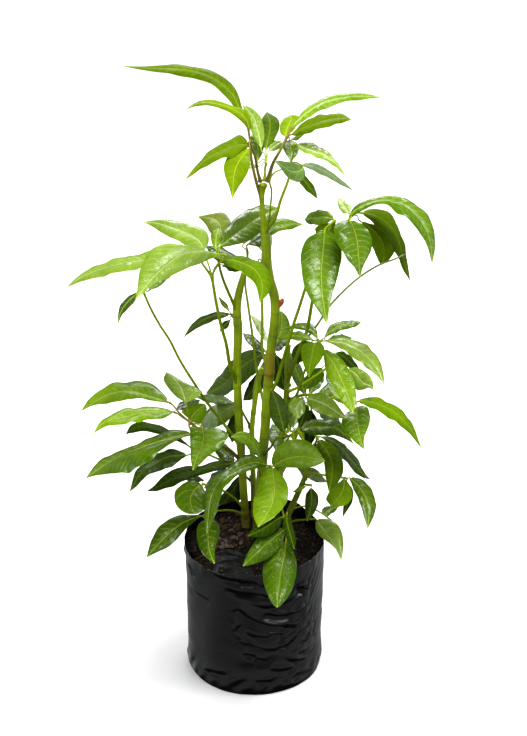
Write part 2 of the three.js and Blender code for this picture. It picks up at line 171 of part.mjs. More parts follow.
    leaflets: [
      { base: [145.1,68.6,486.5], tip: [180.5,10.3,479.9], rows: [[[153.5,57.7,486.7], [156.4,63.4,491.5], [150.8,52.8,481.6]], [[163,40,482.1], [170.8,50.3,490.2], [155.3,31.3,473.2]], [[174.6,24.5,481.9], [180,29.8,485.8], [169.3,20.2,477.5]]] },
      { base: [128.3,115.7,491.1], tip: [168.8,149.6,442.9], rows: [[[136.8,123.8,484.2], [139.4,132.6,485.6], [134.4,116.3,482.2]], [[148.6,133.1,470.2], [152.9,144,472.1], [144.3,123.8,467.6]], [[159.5,141.8,455.2], [162.5,148.6,456.4], [156.5,136,453.5]]] },
      { base: [117.6,73.6,485.8], tip: [120.1,14.2,484.7], rows: [[[118.4,62,486.3], [113.3,60.8,485.7], [123.6,65.1,486]], [[119.2,45.2,485.5], [111.1,43.1,484.6], [127.5,50.2,485]], [[119.8,28,484.1], [113.8,26.8,483.5], [125.9,31.4,483.6]]] },
      { base: [106.9,116.1,464.8], tip: [80.1,157.9,404.7], rows: [[[104.1,125.1,454.1], [97.4,131.3,456.2], [110.8,121.6,450.8]], [[95,136.7,437.1], [86.4,144.7,439.8], [103.7,132.1,432.8]], [[86.7,148.1,419.5], [81.6,153.1,421.2], [91.8,145.1,416.9]]] }
    ] },
  { name: 'leaf_right_low', colour: 0x4f8a1c, foot: 'stem_right', radii: [2.6, 1.8], hub: [153.2,0.4,464.6],
    petiole: [[49.4,65.3,431.2], [68.3,57.1,445.7], [98.3,33.9,459.3], [127.9,11.6,464], [153.2,0.4,464.6]],
    leaflets: [
      { base: [159.3,3,465], tip: [256.9,8.2,381.1], rows: [[[168.3,5.5,463.6], [168.1,16.1,463.4], [165.9,-4.3,463.6]], [[201.3,11.5,450.2], [204.6,30.6,450], [195.3,-7.7,450.2]], [[229.8,12.3,425.3], [236.3,28.6,425.1], [224.5,-0.6,425.3]], [[249.9,9.6,394.4], [252.3,14.6,394.3], [248.6,6.8,394.4]]] },
      { base: [155.7,-11.1,462.1], tip: [161.9,-103.6,441.2], rows: [[[154.9,-29.8,457.5], [139.5,-28.3,462.1], [168.9,-19.9,467.3]], [[155.8,-55.9,451.3], [132.5,-58.4,453.4], [172.3,-48.7,458.1]], [[158.5,-81.7,445.6], [146.8,-83.7,445.9], [163.2,-78,449.2]]] },
      { base: [147.2,30.3,452.6], tip: [115.8,93,444.8], rows: [[[141.3,41.3,448], [139.1,31.6,446.3], [143.5,50.1,450.2]], [[131.3,58.8,445.7], [127.3,47.3,443.5], [135.3,69.2,448.6]], [[122.8,77.2,445.3], [120.2,70.3,443.9], [125.4,83.5,447.1]]] }
    ] },
  { name: 'leaf_right_wavy', colour: 0x5c9a34, foot: 'stem_right', radii: [1.9, 1.4], hub: [72.8,-10,476.8],
    petiole: [[46.6,66.6,399.8], [57.3,34,426.4], [65.8,6,454.9], [72.8,-10,476.8]],
    leaflets: [
      { base: [80.2,-15.3,479.5], tip: [137.5,-75.5,477.6], rows: [[[88.9,-26,481.9], [92.9,-17.7,489.4], [84.9,-34.8,474.8]], [[107.3,-42.6,481.8], [112.8,-33.1,490.6], [101.7,-52.9,473.5]], [[123.7,-60.7,478.9], [126.6,-55.4,483.7], [120.8,-66.4,474.3]]] },
      { base: [75.7,-17.2,477.1], tip: [67.1,-75.1,477.4], rows: [[[71,-26.7,481.4], [65.7,-21.3,484.6], [76.3,-31.9,478.2]], [[64.8,-43.5,480.3], [54,-37.2,482.3], [75.6,-49.6,478.2]], [[64.6,-60.9,478], [57.3,-57.7,478.3], [71.8,-63.9,477.6]]] },
      { base: [78,11.7,455.4], tip: [71.8,51,392.9], rows: [[[78.9,20,443.7], [74.1,20.2,443.4], [83.7,19,444.4]], [[76.8,30.7,425.6], [70.1,33,425.4], [83.5,27.3,426.5]], [[73.5,41.6,407.9], [68.9,43,407.7], [78,39.4,408.5]]] }
    ] },
  { name: 'leaf_right_dark', colour: 0x24501a, foot: 'stem_right', radii: [2.2, 1.6], hub: [65.4,43.6,391.6],
    petiole: [[43,67.8,367.3], [53.2,53,377.6], [65.4,43.6,391.6]],
    leaflets: [
      { base: [71.6,42.9,393.7], tip: [155.2,58.4,362.2], rows: [[[87.5,49.7,395], [87.3,64.6,398.1], [87.6,33.7,392.6]], [[114.7,56.7,391.7], [117.6,74.6,395.6], [111.8,37.6,388.7]], [[138.9,59.6,379.9], [141.7,69,381.9], [136.2,49.4,378.2]]] },
      { base: [56.5,66.6,380.9], tip: [25.5,162.5,387.8], rows: [[[55.5,73.4,381.5], [52.6,71.8,380.7], [58.3,74.4,382.5]], [[50.2,99.9,384.7], [39,93.5,381.3], [61.3,104.4,389.2]], [[39.8,127.8,388.7], [27.4,118.9,383.6], [52.1,134.3,395]], [[28.8,153,389.2], [23.4,149.1,386.9], [34.2,155.9,392.1]]] },
      { base: [61.4,77.3,380.5], tip: [69,152.9,380.1], rows: [[[61.7,92.3,380.3], [56.3,94.4,379.7], [67,91,380.3]], [[63.6,114,381.2], [54,118.6,380.5], [73.2,111,381]], [[67,135.5,381.7], [59,139.2,381.1], [75,133,381.6]]] }
    ] },
  { name: 'shoot_young', colour: 0x8fb81c, foot: 'stem_right', radii: [1.6, 1.2], hub: [59.8,-4.5,415.9],
    petiole: [[41.3,68.3,351.1], [49.7,19.8,386.9], [59.8,-4.5,415.9]],
    leaflets: [
      { base: [59.8,-4.6,417.6], tip: [61.2,-17.8,409.3], rows: [[[60,-7.3,415.9], [58,-7.3,415.7], [62,-7.4,416.1]], [[60.9,-12.9,412.2], [56.6,-12.8,411.9], [65.1,-13.1,412.7]]] },
      { base: [67.3,-8.3,421.3], tip: [76.1,-26.2,413.8], rows: [[[69.6,-11.7,420.1], [68.3,-12.2,419.4], [71,-11.2,420.8]], [[73.5,-19.2,417], [70.7,-20.2,415.5], [76.2,-18.2,418.4]]] },
      { base: [55.2,-7.2,420.7], tip: [47.5,-17.3,421], rows: [[[53.7,-8.7,421.8], [53.3,-7.3,422.9], [54,-9.6,420.4]], [[50.6,-13.1,421.5], [50.1,-11.6,422.8], [51.1,-14.1,420]]] }
    ] },
  { name: 'leaf_low_left', colour: 0x4f8a1c, foot: 'stem_left', radii: [3, 2.2], hub: [-96.1,-10.6,436.3],
    petiole: [[-19.1,50,332.8], [-34,37.7,357.6], [-52.1,21.4,380.8], [-74.3,4.5,407.5], [-96.1,-10.6,436.3]],
    leaflets: [
      { base: [-131.9,18.4,455.3], tip: [-268.4,59.6,418.2], rows: [[[-141.4,23.1,456.4], [-136.7,36.1,458.1], [-141.3,19.1,455.7]], [[-178.9,40.8,459.7], [-175,74.3,464.4], [-177.9,28.2,457.5]], [[-219.2,53.3,451.1], [-222.1,79.7,454.9], [-215.6,33.4,447.8]], [[-254.8,58.4,428.9], [-258.8,70,430.5], [-254.4,55.7,428.5]]] },
      { base: [-122.9,-9.8,453], tip: [-237.9,-47.7,437.5], rows: [[[-130,-11.5,453.8], [-130.8,0,453.7], [-129.1,-23.8,454.2]], [[-163.4,-18.3,456.7], [-166.8,0.9,456.4], [-159.8,-38.6,457.7]], [[-198.5,-28.2,453.7], [-204.1,-6.7,453.2], [-192.9,-50.9,455.1]], [[-229,-40.5,445.2], [-232.1,-34,444.9], [-225.9,-47.6,445.8]]] },
      { base: [-95.9,-23.2,422.5], tip: [-247.7,-95.4,387.7], rows: [[[-107.6,-27.2,422.3], [-106.5,-12.8,423.9], [-106.7,-32.3,421.8]], [[-151.4,-44.3,417.7], [-152.9,-24.9,419.5], [-144.1,-71.9,415.6]], [[-194.7,-64.2,408.6], [-198.7,-49.3,409.6], [-183,-102.3,406.1]], [[-233,-85.9,394.6], [-238,-75.2,395.1], [-229.4,-95.7,394.1]]] },
      { base: [-103.3,25.4,451.7], tip: [-137.2,99.4,466], rows: [[[-107.1,40.9,456], [-114.9,42.9,449.6], [-85.7,31,457.6]], [[-114.1,62.4,461.6], [-128.7,66.8,450.8], [-89.5,51.2,463.5]], [[-125.3,82.9,465], [-139.3,88.1,456.5], [-115.3,76.8,464.4]]] },
      { base: [-94.7,-7.1,436.2], tip: [-75.3,49.7,435.6], rows: [[[-94.9,3.2,433.9], [-103.7,4.5,439.7], [-86,0,429]], [[-91.1,19.6,434.8], [-104.3,21.4,443.2], [-77.8,15.2,427.6]], [[-81.3,36.6,436.7], [-89.4,38,442.3], [-73.1,33.5,432]]] },
      { base: [-77,-38.1,440.8], tip: [-86.9,-142,427.8], rows: [[[-75.9,-45.5,439.7], [-82.5,-38.6,443.6], [-68,-43,443.5]], [[-74.9,-73.9,435.5], [-93.5,-57.6,443.7], [-38.3,-67.2,448.7]], [[-79.8,-102.9,431.9], [-91.5,-93.2,436.4], [-54.2,-99.6,439.9]], [[-85.5,-130.6,429.2], [-88.8,-128.1,430.3], [-77.6,-129.8,431.5]]] },
      { base: [-119.8,41.7,429.3], tip: [-85,99.6,416.7], rows: [[[-114.1,53.9,428.1], [-116.6,61.4,428.4], [-111.6,47,427.5]], [[-104,70.3,424.8], [-107.7,82.7,425.5], [-100.4,58.8,423.8]], [[-93,86,420.3], [-95.8,96.4,420.9], [-90.1,76.4,419.3]]] }
    ] },
  { name: 'leaf_low_left_under', colour: 0x24501a, foot: 'stem_left', radii: [2.2, 1.6], hub: [-83.2,22,366.4],
    petiole: [[-17.9,50,311.1], [-43.7,40,334.9], [-65,30,354.8], [-83.2,22,366.4]],
    leaflets: [
      { base: [-105.3,27.8,357.8], tip: [-195.6,41.4,285.2], rows: [[[-111.7,30.5,356.3], [-112.9,38.4,357.6], [-110.7,23.3,354.7]], [[-140.4,37.9,344.3], [-145.8,57.5,348], [-135.2,20,339.8]], [[-169.6,42.1,324.6], [-175.2,52.9,327], [-164.2,32.3,321.7]], [[-188.9,41.8,297], [-192.1,46.3,298.2], [-185.7,37.8,295.6]]] },
      { base: [-101.5,51.5,360.6], tip: [-204,104.4,353.3], rows: [[[-108,56.7,363], [-107.8,60.2,362.8], [-108.1,53.6,363]], [[-134.6,75.6,370.5], [-135.3,88.9,369.8], [-134.1,64.1,370.3]], [[-165.3,92.5,372.6], [-168.2,109.2,371.9], [-162.6,78.1,372.1]], [[-195.1,102.7,362.6], [-198.6,113.1,362.2], [-191.7,94,362.1]]] },
      { base: [-79.6,52.7,360], tip: [-61.2,141.8,387.7], rows: [[[-77.3,70,364.6], [-84.9,73.5,365], [-69.8,66.4,364.4]], [[-72.4,95.4,373.1], [-83.2,100.7,373.7], [-61.6,89.7,372.7]], [[-65.9,120.5,381.2], [-73.4,124.2,381.6], [-58.4,116.6,380.8]]] }
    ] },
  { name: 'leaf_low_left_dark', colour: 0x24501a, foot: 'stem_left', radii: [2, 1.7], hub: [-24.4,12,352.5],
    petiole: [[-18.2,50,316.9], [-24.4,12,352.5]],
    leaflets: [
      { base: [-30.5,10.3,353.5], tip: [-161.8,-48.1,337.7], rows: [[[-39.6,7,353.9], [-40.7,16.1,353.7], [-38.5,-2.5,354.4]], [[-77.2,-7.1,353], [-79.5,5.2,352.8], [-74.8,-20,353.6]], [[-115.9,-22.2,351.1], [-120.6,-1,350.6], [-111.1,-44.4,352.3]], [[-148,-41.5,339.9], [-149.8,-31.6,339.5], [-146.2,-51.7,340.5]]] },
      { base: [-31.1,39.6,344], tip: [-74.9,99.6,348.7], rows: [[[-40.1,51,343.7], [-42.6,42.9,343.6], [-37.6,59.6,343.4]], [[-52.5,67.9,345.2], [-56.2,56.8,345], [-48.8,79.8,344.9]], [[-64.9,85,347.2], [-68,76.5,347.1], [-61.9,94.2,347.1]]] }
    ] },
  { name: 'leaf_low_left_front', colour: 0x5c9a34, foot: 'stem_left', radii: [2.4, 1.7], hub: [-77.3,-30,339.5],
    petiole: [[-14.4,50,243.8], [-28.1,20,281.5], [-49,-10,317.2], [-63.9,-24,332.4], [-77.3,-30,339.5]],
    leaflets: [
      { base: [-78.7,-34.5,338.5], tip: [-82.5,-105.5,332.6], rows: [[[-84.3,-45.1,344.7], [-95.8,-37.2,349.6], [-72.9,-52.8,339.7]], [[-94.3,-66.8,339.3], [-118.5,-58.8,341.4], [-70.3,-74.5,337.1]], [[-91.2,-90.1,330.7], [-108,-88.5,328.3], [-74.5,-91.5,332.9]]] },
      { base: [-78.1,-9.1,334.4], tip: [-108.2,40.8,316.4], rows: [[[-84.3,0.3,329.6], [-83.7,7,329.7], [-84.9,-5.5,329]], [[-93.4,14.1,324.3], [-92.1,25.6,324.4], [-94.9,4.4,323.3]], [[-102.5,28.6,320.2], [-100.8,39.2,320.3], [-104.3,19.5,319.3]]] }
    ] },
  { name: 'leaf_base_left', colour: 0x5c9a34, foot: 'stem_left', radii: [2, 1.5], hub: [-77.3,-52,295.9],
    petiole: [[-13.5,50,226.3], [-21.8,10,263.8], [-39.8,-20,287.3], [-60.8,-42,297], [-77.3,-52,295.9]],
    leaflets: [
      { base: [-69.4,-61.6,294.6], tip: [-58,-138,265.6], rows: [[[-69.1,-77.1,288.3], [-82.8,-71.9,293.1], [-55.4,-64.6,292.7]], [[-68.6,-98.8,279.6], [-83.4,-97.3,281.2], [-53.5,-87.8,282.2]], [[-64.5,-120.2,271.6], [-73.8,-121.2,270.8], [-58.8,-114.8,273.5]]] },
      { base: [-81.8,-53.6,296.8], tip: [-159.9,-116.4,263.2], rows: [[[-88.6,-57.1,296.3], [-90,-52.1,297.7], [-87.2,-59.4,294.9]], [[-113.1,-72.1,291.2], [-121.2,-55,296.4], [-107.5,-80.2,286.1]], [[-134.6,-90.2,280.7], [-146,-74.9,285.4], [-126,-100.4,274]], [[-152.8,-108.7,268.4], [-157.3,-103.8,269.9], [-150.2,-111.6,266.5]]] }
    ] },
  { name: 'leaf_front', colour: 0x6aa52c, foot: 'stem_front', radii: [2, 1.8], hub: [24.9,-15.4,362.7],
    petiole: [[21.4,8.7,340.2], [23.9,-4.3,356.9], [24.9,-15.4,362.7]],
    leaflets: [
      { base: [18.8,-18,365.9], tip: [-68,-147.6,324.7], rows: [[[7.9,-22.6,372.1], [10.6,-6.5,371.5], [8.7,-35.3,372.7]], [[-31.9,-51.2,374], [-32.2,-28.5,373], [-27.9,-68.4,375]], [[-60,-89.2,358.9], [-70.3,-61.6,357.5], [-49.7,-107.3,360.3]], [[-66.7,-130.7,334.6], [-71.8,-123.1,334.1], [-61.8,-137,335.2]]] },
      { base: [28,-20.1,361.9], tip: [6.9,-127,322.3], rows: [[[29.1,-27.8,358.6], [21.1,-21.4,361.7], [35.3,-26.8,361.8]], [[31.9,-57.6,346], [8.5,-44.6,349.3], [51.3,-60.5,350.2]], [[26,-88,334.1], [1.1,-76.3,335.4], [42,-93.8,334.3]], [[12.8,-115.8,325.5], [2.6,-111.8,325.2], [17.8,-118.1,325.1]]] },
      { base: [29.5,-18.5,364.5], tip: [106.5,-72.1,403.4], rows: [[[34.3,-21.1,369.6], [28,-17.2,373.3], [35.1,-24.4,367]], [[54.4,-32.5,386.3], [43.9,-17,402.3], [56.6,-44.2,377.2]], [[76.9,-47.6,397], [75.6,-30.7,416], [78.6,-60.9,386.6]], [[98.1,-64.8,402], [99.5,-59.2,408.7], [98.8,-70.2,397.8]]] }
    ] },
  { name: 'leaf_front_young', colour: 0x8fb81c, foot: 'stem_main', radii: [1.6, 1.3], hub: [6.5,4,358.8],
    petiole: [[11.3,45.2,299.6], [8.8,22,330.8], [6.5,4,358.8]],
    leaflets: [
      { base: [8.1,2,370.5], tip: [-34,-24.1,417.9], rows: [[[5,-1.6,383.3], [11.1,5.1,384.6], [-1,-8.5,382.2]], [[-5.6,-6.4,401.8], [-0.4,4.6,404.1], [-10.8,-17.6,399.6]], [[-20.8,-14.1,414.2], [-19,-4.7,416.4], [-22.5,-23.7,412.1]]] }
    ] },
  { name: 'leaf_low_front', colour: 0x5c9a34, foot: 'stem_front', radii: [2, 1.6], hub: [47.3,-90.6,310.6],
    petiole: [[18.3,12.8,314.5], [31.1,-19.6,319.2], [40.1,-54.2,318.5], [44.4,-78.9,317.5], [47.3,-90.6,310.6]],
    leaflets: [
      { base: [42.7,-92.8,318.9], tip: [-7.8,-144.1,317.4], rows: [[[35.1,-102.3,320.2], [31.2,-91.3,323.3], [39,-110,315]], [[20.2,-117.7,317.5], [15.4,-104.5,321.3], [25.1,-127,311.4]], [[4.6,-132.3,316.7], [1.5,-123.6,319.1], [7.7,-138.5,312.7]]] },
      { base: [45.7,-105,303.6], tip: [-15,-178.1,287.1], rows: [[[32.7,-119.4,300.8], [28.9,-106.6,308.4], [43.3,-120.7,293.3]], [[15.1,-139.7,296.5], [7.8,-127.8,304.3], [27.8,-144.1,284.9]], [[-1.5,-160.2,291.7], [-6.4,-154.3,295.7], [5.5,-163.6,284.3]]] },
      { base: [48.6,-119.2,293.2], tip: [34.7,-213.9,238.8], rows: [[[47.9,-125.9,289.2], [40.7,-119.7,291.6], [53.2,-124.9,289.3]], [[43.2,-151.6,274.3], [19.5,-139.1,276.1], [63,-150,272.7]], [[38.7,-178.1,259.1], [15.7,-169.9,257.3], [58.4,-178.9,255.2]], [[35.5,-203.6,244.6], [26.3,-201.8,242.5], [43.8,-204.8,242.1]]] },
      { base: [50.2,-93.5,326.3], tip: [59.9,-153.7,301], rows: [[[50,-105.5,321.4], [45.6,-104.9,321.1], [54.4,-106.2,321.9]], [[53,-122.6,313.7], [46.8,-123.2,313.3], [59.2,-122.3,314.4]], [[57.1,-139.6,306.3], [51.9,-140.6,306], [62.4,-139,306.8]]] }
    ] },
  { name: 'leaf_right_front', colour: 0x24501a, foot: 'stem_low_right', radii: [1.8, 1.7], hub: [96.8,4.7,402.2],
    petiole: [[94.8,30,372.5], [96.8,4.7,402.2]],
    leaflets: [
      { base: [99.7,-1.5,400.4], tip: [112.1,-100,368.1], rows: [[[103.2,-8.1,398.7], [97.4,-8.4,398.1], [106.9,-3.5,400.5]], [[114.8,-34,391.5], [103.9,-33.2,390.6], [127.3,-27.4,394.9]], [[118.4,-61.9,381.7], [108,-61.3,380.8], [133.7,-63.2,383.8]], [[114.4,-89,371.9], [110.6,-88.7,371.6], [120.7,-92,372.3]]] },
      { base: [104.5,8.3,400.2], tip: [181.3,25.4,316.3], rows: [[[110.9,10.6,396.7], [112.2,16.9,396.3], [109.7,4.9,396.8]], [[134,16.7,376.9], [138.6,33.2,375.7], [129.4,1.5,377.4]], [[154,20.1,350.6], [159.8,36.8,349.1], [148.4,4.9,351.2]], [[171.8,23,324.5], [173.8,30.2,323.9], [169.9,16.4,324.7]]] },
      { base: [92.1,49.8,382.9], tip: [77.7,107.5,376.9], rows: [[[89,61.1,381.3], [86.3,57.7,380.9], [91.6,65.5,381.2]], [[84.6,77.4,380], [79.9,71.7,379.2], [89.5,84.8,379.8]], [[80.4,93.9,378.9], [76.2,88.9,378.3], [84.7,100.4,378.8]]] }
    ] },
  { name: 'leaf_right_front_low', colour: 0x4f8a1c, foot: 'stem_low_right', radii: [2, 1.6], hub: [141,4,330.4],
    petiole: [[81,36,320.7], [99.8,20,328.4], [121.1,8,331.7], [141,4,330.4]],
    leaflets: [
      { base: [148.5,-0.1,332.8], tip: [172.3,-80.1,291.7], rows: [[[160.8,-14.6,327.6], [153.4,-20.3,326.9], [168.3,1.4,329.1]], [[171.7,-36.7,316.7], [162.1,-42.5,316.1], [184.5,-23.2,316.7]], [[174.9,-60,303.3], [167.9,-63,303.1], [183.6,-54.5,302.6]]] },
      { base: [139.3,0.7,330.5], tip: [116.7,-74.7,327.2], rows: [[[138.8,-14.5,329.6], [129.6,-14.3,331.9], [147.9,-15.9,327.9]], [[133.4,-37,325.9], [117.9,-35,331.5], [148.7,-41.1,321.6]], [[122.2,-58.6,324.1], [110.9,-56.5,328.8], [133.5,-62.3,320.3]]] },
      { base: [145.4,24.7,311.3], tip: [141.8,49.1,234.7], rows: [[[149,29.9,296.5], [144.9,28.9,296.5], [153.3,32.2,295.7]], [[149.4,36.5,274.6], [143.7,36.9,274.5], [155.2,37.8,273.6]], [[145.7,43.2,253], [142.4,43.9,252.9], [149.2,43.6,252.4]]] }
    ] },
  { name: 'leaf_right_inner', colour: 0x24501a, foot: 'stem_low_right', radii: [1.6, 1.4], hub: [89.1,18,309.8],
    petiole: [[76,36,301.9], [89.1,18,309.8]],
    leaflets: [
      { base: [89,14,306.7], tip: [82.1,-29.8,273.4], rows: [[[89.9,6.1,301.7], [82.3,7,301], [97.5,7,301.2]], [[89.6,-6.7,291.3], [80.3,-4.9,290.9], [99,-6.4,290.2]], [[86.2,-19.4,281.1], [80.7,-17.9,281.2], [91.8,-19.6,280.2]]] },
      { base: [81,9.5,312.9], tip: [60.4,-16.7,317.5], rows: [[[76.8,4.4,314.1], [76.2,7.2,314.3], [77.3,1.5,314]], [[68.4,-7,315.3], [67.4,-1.9,315.6], [69.3,-12.2,315.1]]] }
    ] },
  { name: 'leaf_right_far', colour: 0x24501a, foot: 'stem_low_right', radii: [1.4, 1.2], hub: [123.3,60,220.6],
    petiole: [[57.8,36,253.3], [77.7,46,255], [102,56,239.8], [123.3,60,220.6]],
    leaflets: [
      { base: [117.3,72.2,218.8], tip: [136.9,116.6,211.8], rows: [[[116.2,81.7,218.7], [111.3,82.5,219.9], [121.1,81,217.5]], [[120.6,94.9,218.2], [113.8,98,220.8], [127.3,91.8,215.6]], [[129.4,106.7,215.1], [125.7,109.1,216.8], [133,104.3,213.3]]] }
    ] },
  { name: 'leaf_base_right', colour: 0x4c7a58, foot: 'stem_low_right', radii: [1.9, 1.5], hub: [95.6,4,256.5],
    petiole: [[52.8,36,229.3], [72.6,20,244.9], [95.6,4,256.5]],
    leaflets: [
      { base: [98.7,1.5,256.2], tip: [134.2,-64.1,224.4], rows: [[[106.8,-11.5,250.1], [97.8,-11.3,246.8], [116.7,1.1,258.2]], [[118.3,-29.5,241.9], [111.4,-29.6,239.2], [134.4,-16.5,249.7]], [[128.6,-47.8,233.1], [127.2,-46.9,233.4], [137.9,-42.2,236.2]]] }
    ] },
  { name: 'leaf_back_mid', colour: 0x24501a, foot: 'stem_back', radii: [2.2, 1.7], hub: [28.5,150,479.8],
    petiole: [[11.2,114.6,458.5], [20.5,130,468.5], [28.5,150,479.8]],
    leaflets: [
      { base: [35,174.3,480.5], tip: [43.8,277.5,489.8], rows: [[[36.5,181.2,480.6], [33.8,181.7,481.2], [39.2,180.9,479.9]], [[42.2,208.3,481.6], [30.7,209.9,484], [53.8,207.4,478.9]], [[44.7,238.3,486.3], [32,238,488.3], [57.3,239.2,484]], [[44.7,266.4,489.4], [39.9,265.4,489.9], [49.6,267.7,488.8]]] },
      { base: [22.2,173.2,481.1], tip: [-5.6,268.5,486.7], rows: [[[17.2,192.3,482.2], [14.7,189.3,481.7], [19.8,195.9,482.3]], [[10.5,219.3,484.5], [6.2,214,483.6], [14.7,225.8,484.8]], [[2.9,246.2,486.4], [-0.4,241.7,485.7], [6.3,251.6,486.7]]] },
      { base: [34.9,163.9,464.3], tip: [47,218.5,390.4], rows: [[[36.8,175.3,450.4], [30.6,173.5,449.6], [43.1,176.4,451.5]], [[40.4,190.3,429.1], [30.5,187,427.8], [50.3,192.5,431]], [[44.4,205.1,407.6], [37.1,203,406.7], [51.7,206.5,409]]] },
      { base: [19,187.9,458], tip: [-18.8,259.9,458.1], rows: [[[11.3,202,457.3], [9,195.5,456.9], [13.6,209.7,457.2]], [[0.7,222.3,457.8], [-3.2,211.7,457], [4.6,235.1,457.6]], [[-9.9,242.8,458.4], [-13.4,233.9,457.7], [-6.5,253.6,458.3]]] }
    ] },
  { name: 'leaf_back_left', colour: 0x24501a, foot: 'stem_back', radii: [2.4, 1.8], hub: [22.3,190,449.9],
    petiole: [[0.2,108.8,392.6], [-0.2,140,413.8], [9.4,170,434.6], [22.3,190,449.9]],
    leaflets: [
      { base: [14.2,198.8,447.4], tip: [-82.1,279.7,336.9], rows: [[[9.3,205.9,442.6], [7.6,215.6,445.5], [11.1,195.4,440]], [[-15.9,228.4,414], [-23.8,253.6,422.1], [-8,201.4,407.1]], [[-43.3,248.4,377.8], [-50.7,271.7,385.3], [-35.9,223.4,371.4]], [[-70.7,269.6,346.7], [-73.6,280.2,350.1], [-67.7,258.3,343.8]]] },
      { base: [17.4,196.7,437.6], tip: [-19.3,249.8,339], rows: [[[17,200.2,430.2], [14.7,202,430.2], [19.2,199.3,429.8]], [[12.2,213.6,401.7], [3.7,222.1,401.7], [20.8,208.7,400]], [[0.3,227.8,372.9], [-8.8,241.6,373], [9.4,218.2,370.7]], [[-13,242.7,347.3], [-16.8,250.9,347.4], [-9.3,236.4,346.2]]] },
      { base: [27.2,201.3,435.4], tip: [52.8,264.5,348.4], rows: [[[29,205.9,429.7], [26.8,203.7,429.5], [31.1,208.1,429.8]], [[36.1,223.4,407.1], [27,214.6,406.4], [45.3,232.5,407.7]], [[44.5,240.5,381.4], [34.5,231.7,380.7], [54.6,249.5,382]], [[50.6,257.4,357.8], [46.6,254,357.5], [54.5,260.9,358]]] },
      { base: [27.2,209.7,449.3], tip: [54.3,298.7,445.4], rows: [[[33.1,226.8,447], [28.4,235.2,447.7], [37.7,217.7,446.6]], [[41.6,251.7,446], [33.9,264.5,447.1], [49.3,238,445.5]], [[48.9,277.5,446.5], [42.8,287.3,447.4], [55,266.9,446.1]]] }
    ] },
  { name: 'leaf_back_left_low', colour: 0x4c7a58, foot: 'stem_back', radii: [2.2, 1.7], hub: [-25.5,120,397.2],
    petiole: [[-3.1,103.9,352.7], [-12.8,112,378.1], [-25.5,120,397.2]],
    leaflets: [
      { base: [-28.8,123.5,395.4], tip: [-78.9,172.3,333.1], rows: [[[-37.4,134.5,385.5], [-42.5,143.3,391.2], [-32.3,129.5,377.8]], [[-54.5,147.8,367.4], [-64,160.4,375.5], [-45.2,141.1,356.2]], [[-71.2,160.5,347.9], [-80.1,170,354], [-62.4,155.8,339.3]]] },
      { base: [-32,129,396.2], tip: [-95.6,198.8,370.9], rows: [[[-44,143.5,392.1], [-43.3,153.8,391.8], [-44.6,133.7,392.2]], [[-61.9,163.3,385.7], [-61.2,179.4,385.3], [-62.6,148.1,385.6]], [[-80.2,182.9,378.6], [-80,195.4,378.4], [-80.4,171,378.5]]] },
      { base: [-22.5,127.9,385.9], tip: [-37,185.1,294.5], rows: [[[-24,132.1,379.9], [-26.2,132.9,380.3], [-21.9,131.3,379.5]], [[-29,147.8,355.7], [-38,150.7,357.2], [-20,145.4,354]], [[-33.2,163,328.6], [-44.9,165.7,330.3], [-21.6,161.1,326.5]], [[-35.9,178.6,304.2], [-40,179.6,304.8], [-31.8,178,303.5]]] }
    ] },
  { name: 'leaf_back_low', colour: 0x24501a, foot: 'stem_back', radii: [2.2, 1.7], hub: [-26.2,110,284.2],
    petiole: [[-1.4,92,268.6], [-13.2,100,278.8], [-26.2,110,284.2]],
    leaflets: [
      { base: [-21.5,118.4,270.1], tip: [-42.5,164.4,184.2], rows: [[[-21.9,121.8,264.5], [-24.9,123.6,264.3], [-18.9,121,264.3]], [[-25.6,134.4,241.7], [-36.8,142,241.1], [-14.5,130.1,240.4]], [[-33,146.6,216.2], [-44.4,155.3,215.8], [-21.7,141.2,214.5]], [[-39.5,159,193], [-43.5,162.5,193], [-35.5,156.7,192.3]]] },
      { base: [-32.8,117.4,276.2], tip: [-84.1,173.8,213.4], rows: [[[-42.6,130.1,266.6], [-45.2,141.4,268.7], [-40,118.6,264.7]], [[-58.3,145.9,248.9], [-63.4,161.7,251.7], [-53.2,129.7,246.4]], [[-72.4,160.7,229.3], [-76.1,171.5,231.3], [-68.7,149.6,227.6]]] },
      { base: [-32.8,124.9,283.2], tip: [-67.6,213.9,282.5], rows: [[[-38.9,142.2,282.1], [-44.4,134.6,281.3], [-33.3,149.5,283.1]], [[-48.8,167.6,282.9], [-56.8,157,281.6], [-40.8,177.8,284.4]], [[-59.4,192.7,283.2], [-65.6,184.5,282.1], [-53.2,200.7,284.4]]] },
      { base: [-22.8,98.4,279.7], tip: [-63.6,140.5,188.9], rows: [[[-25,101.2,273.2], [-26.4,103,273.1], [-23.6,99.5,273.3]], [[-34,112.2,247.8], [-40.2,120,247.4], [-27.8,104.2,248.3]], [[-46.7,124,222.3], [-54.4,134.7,221.8], [-39.1,113,222.9]], [[-58.8,135.7,198.5], [-61.7,139.7,198.3], [-56,131.6,198.8]]] }
    ] },
  { name: 'leaf_back_right', colour: 0x24501a, foot: 'stem_back_right', radii: [2.2, 1.8], hub: [88.9,175,374.1],
    petiole: [[85.6,163.9,370.2], [88.4,170.3,375], [88.9,175,374.1]],
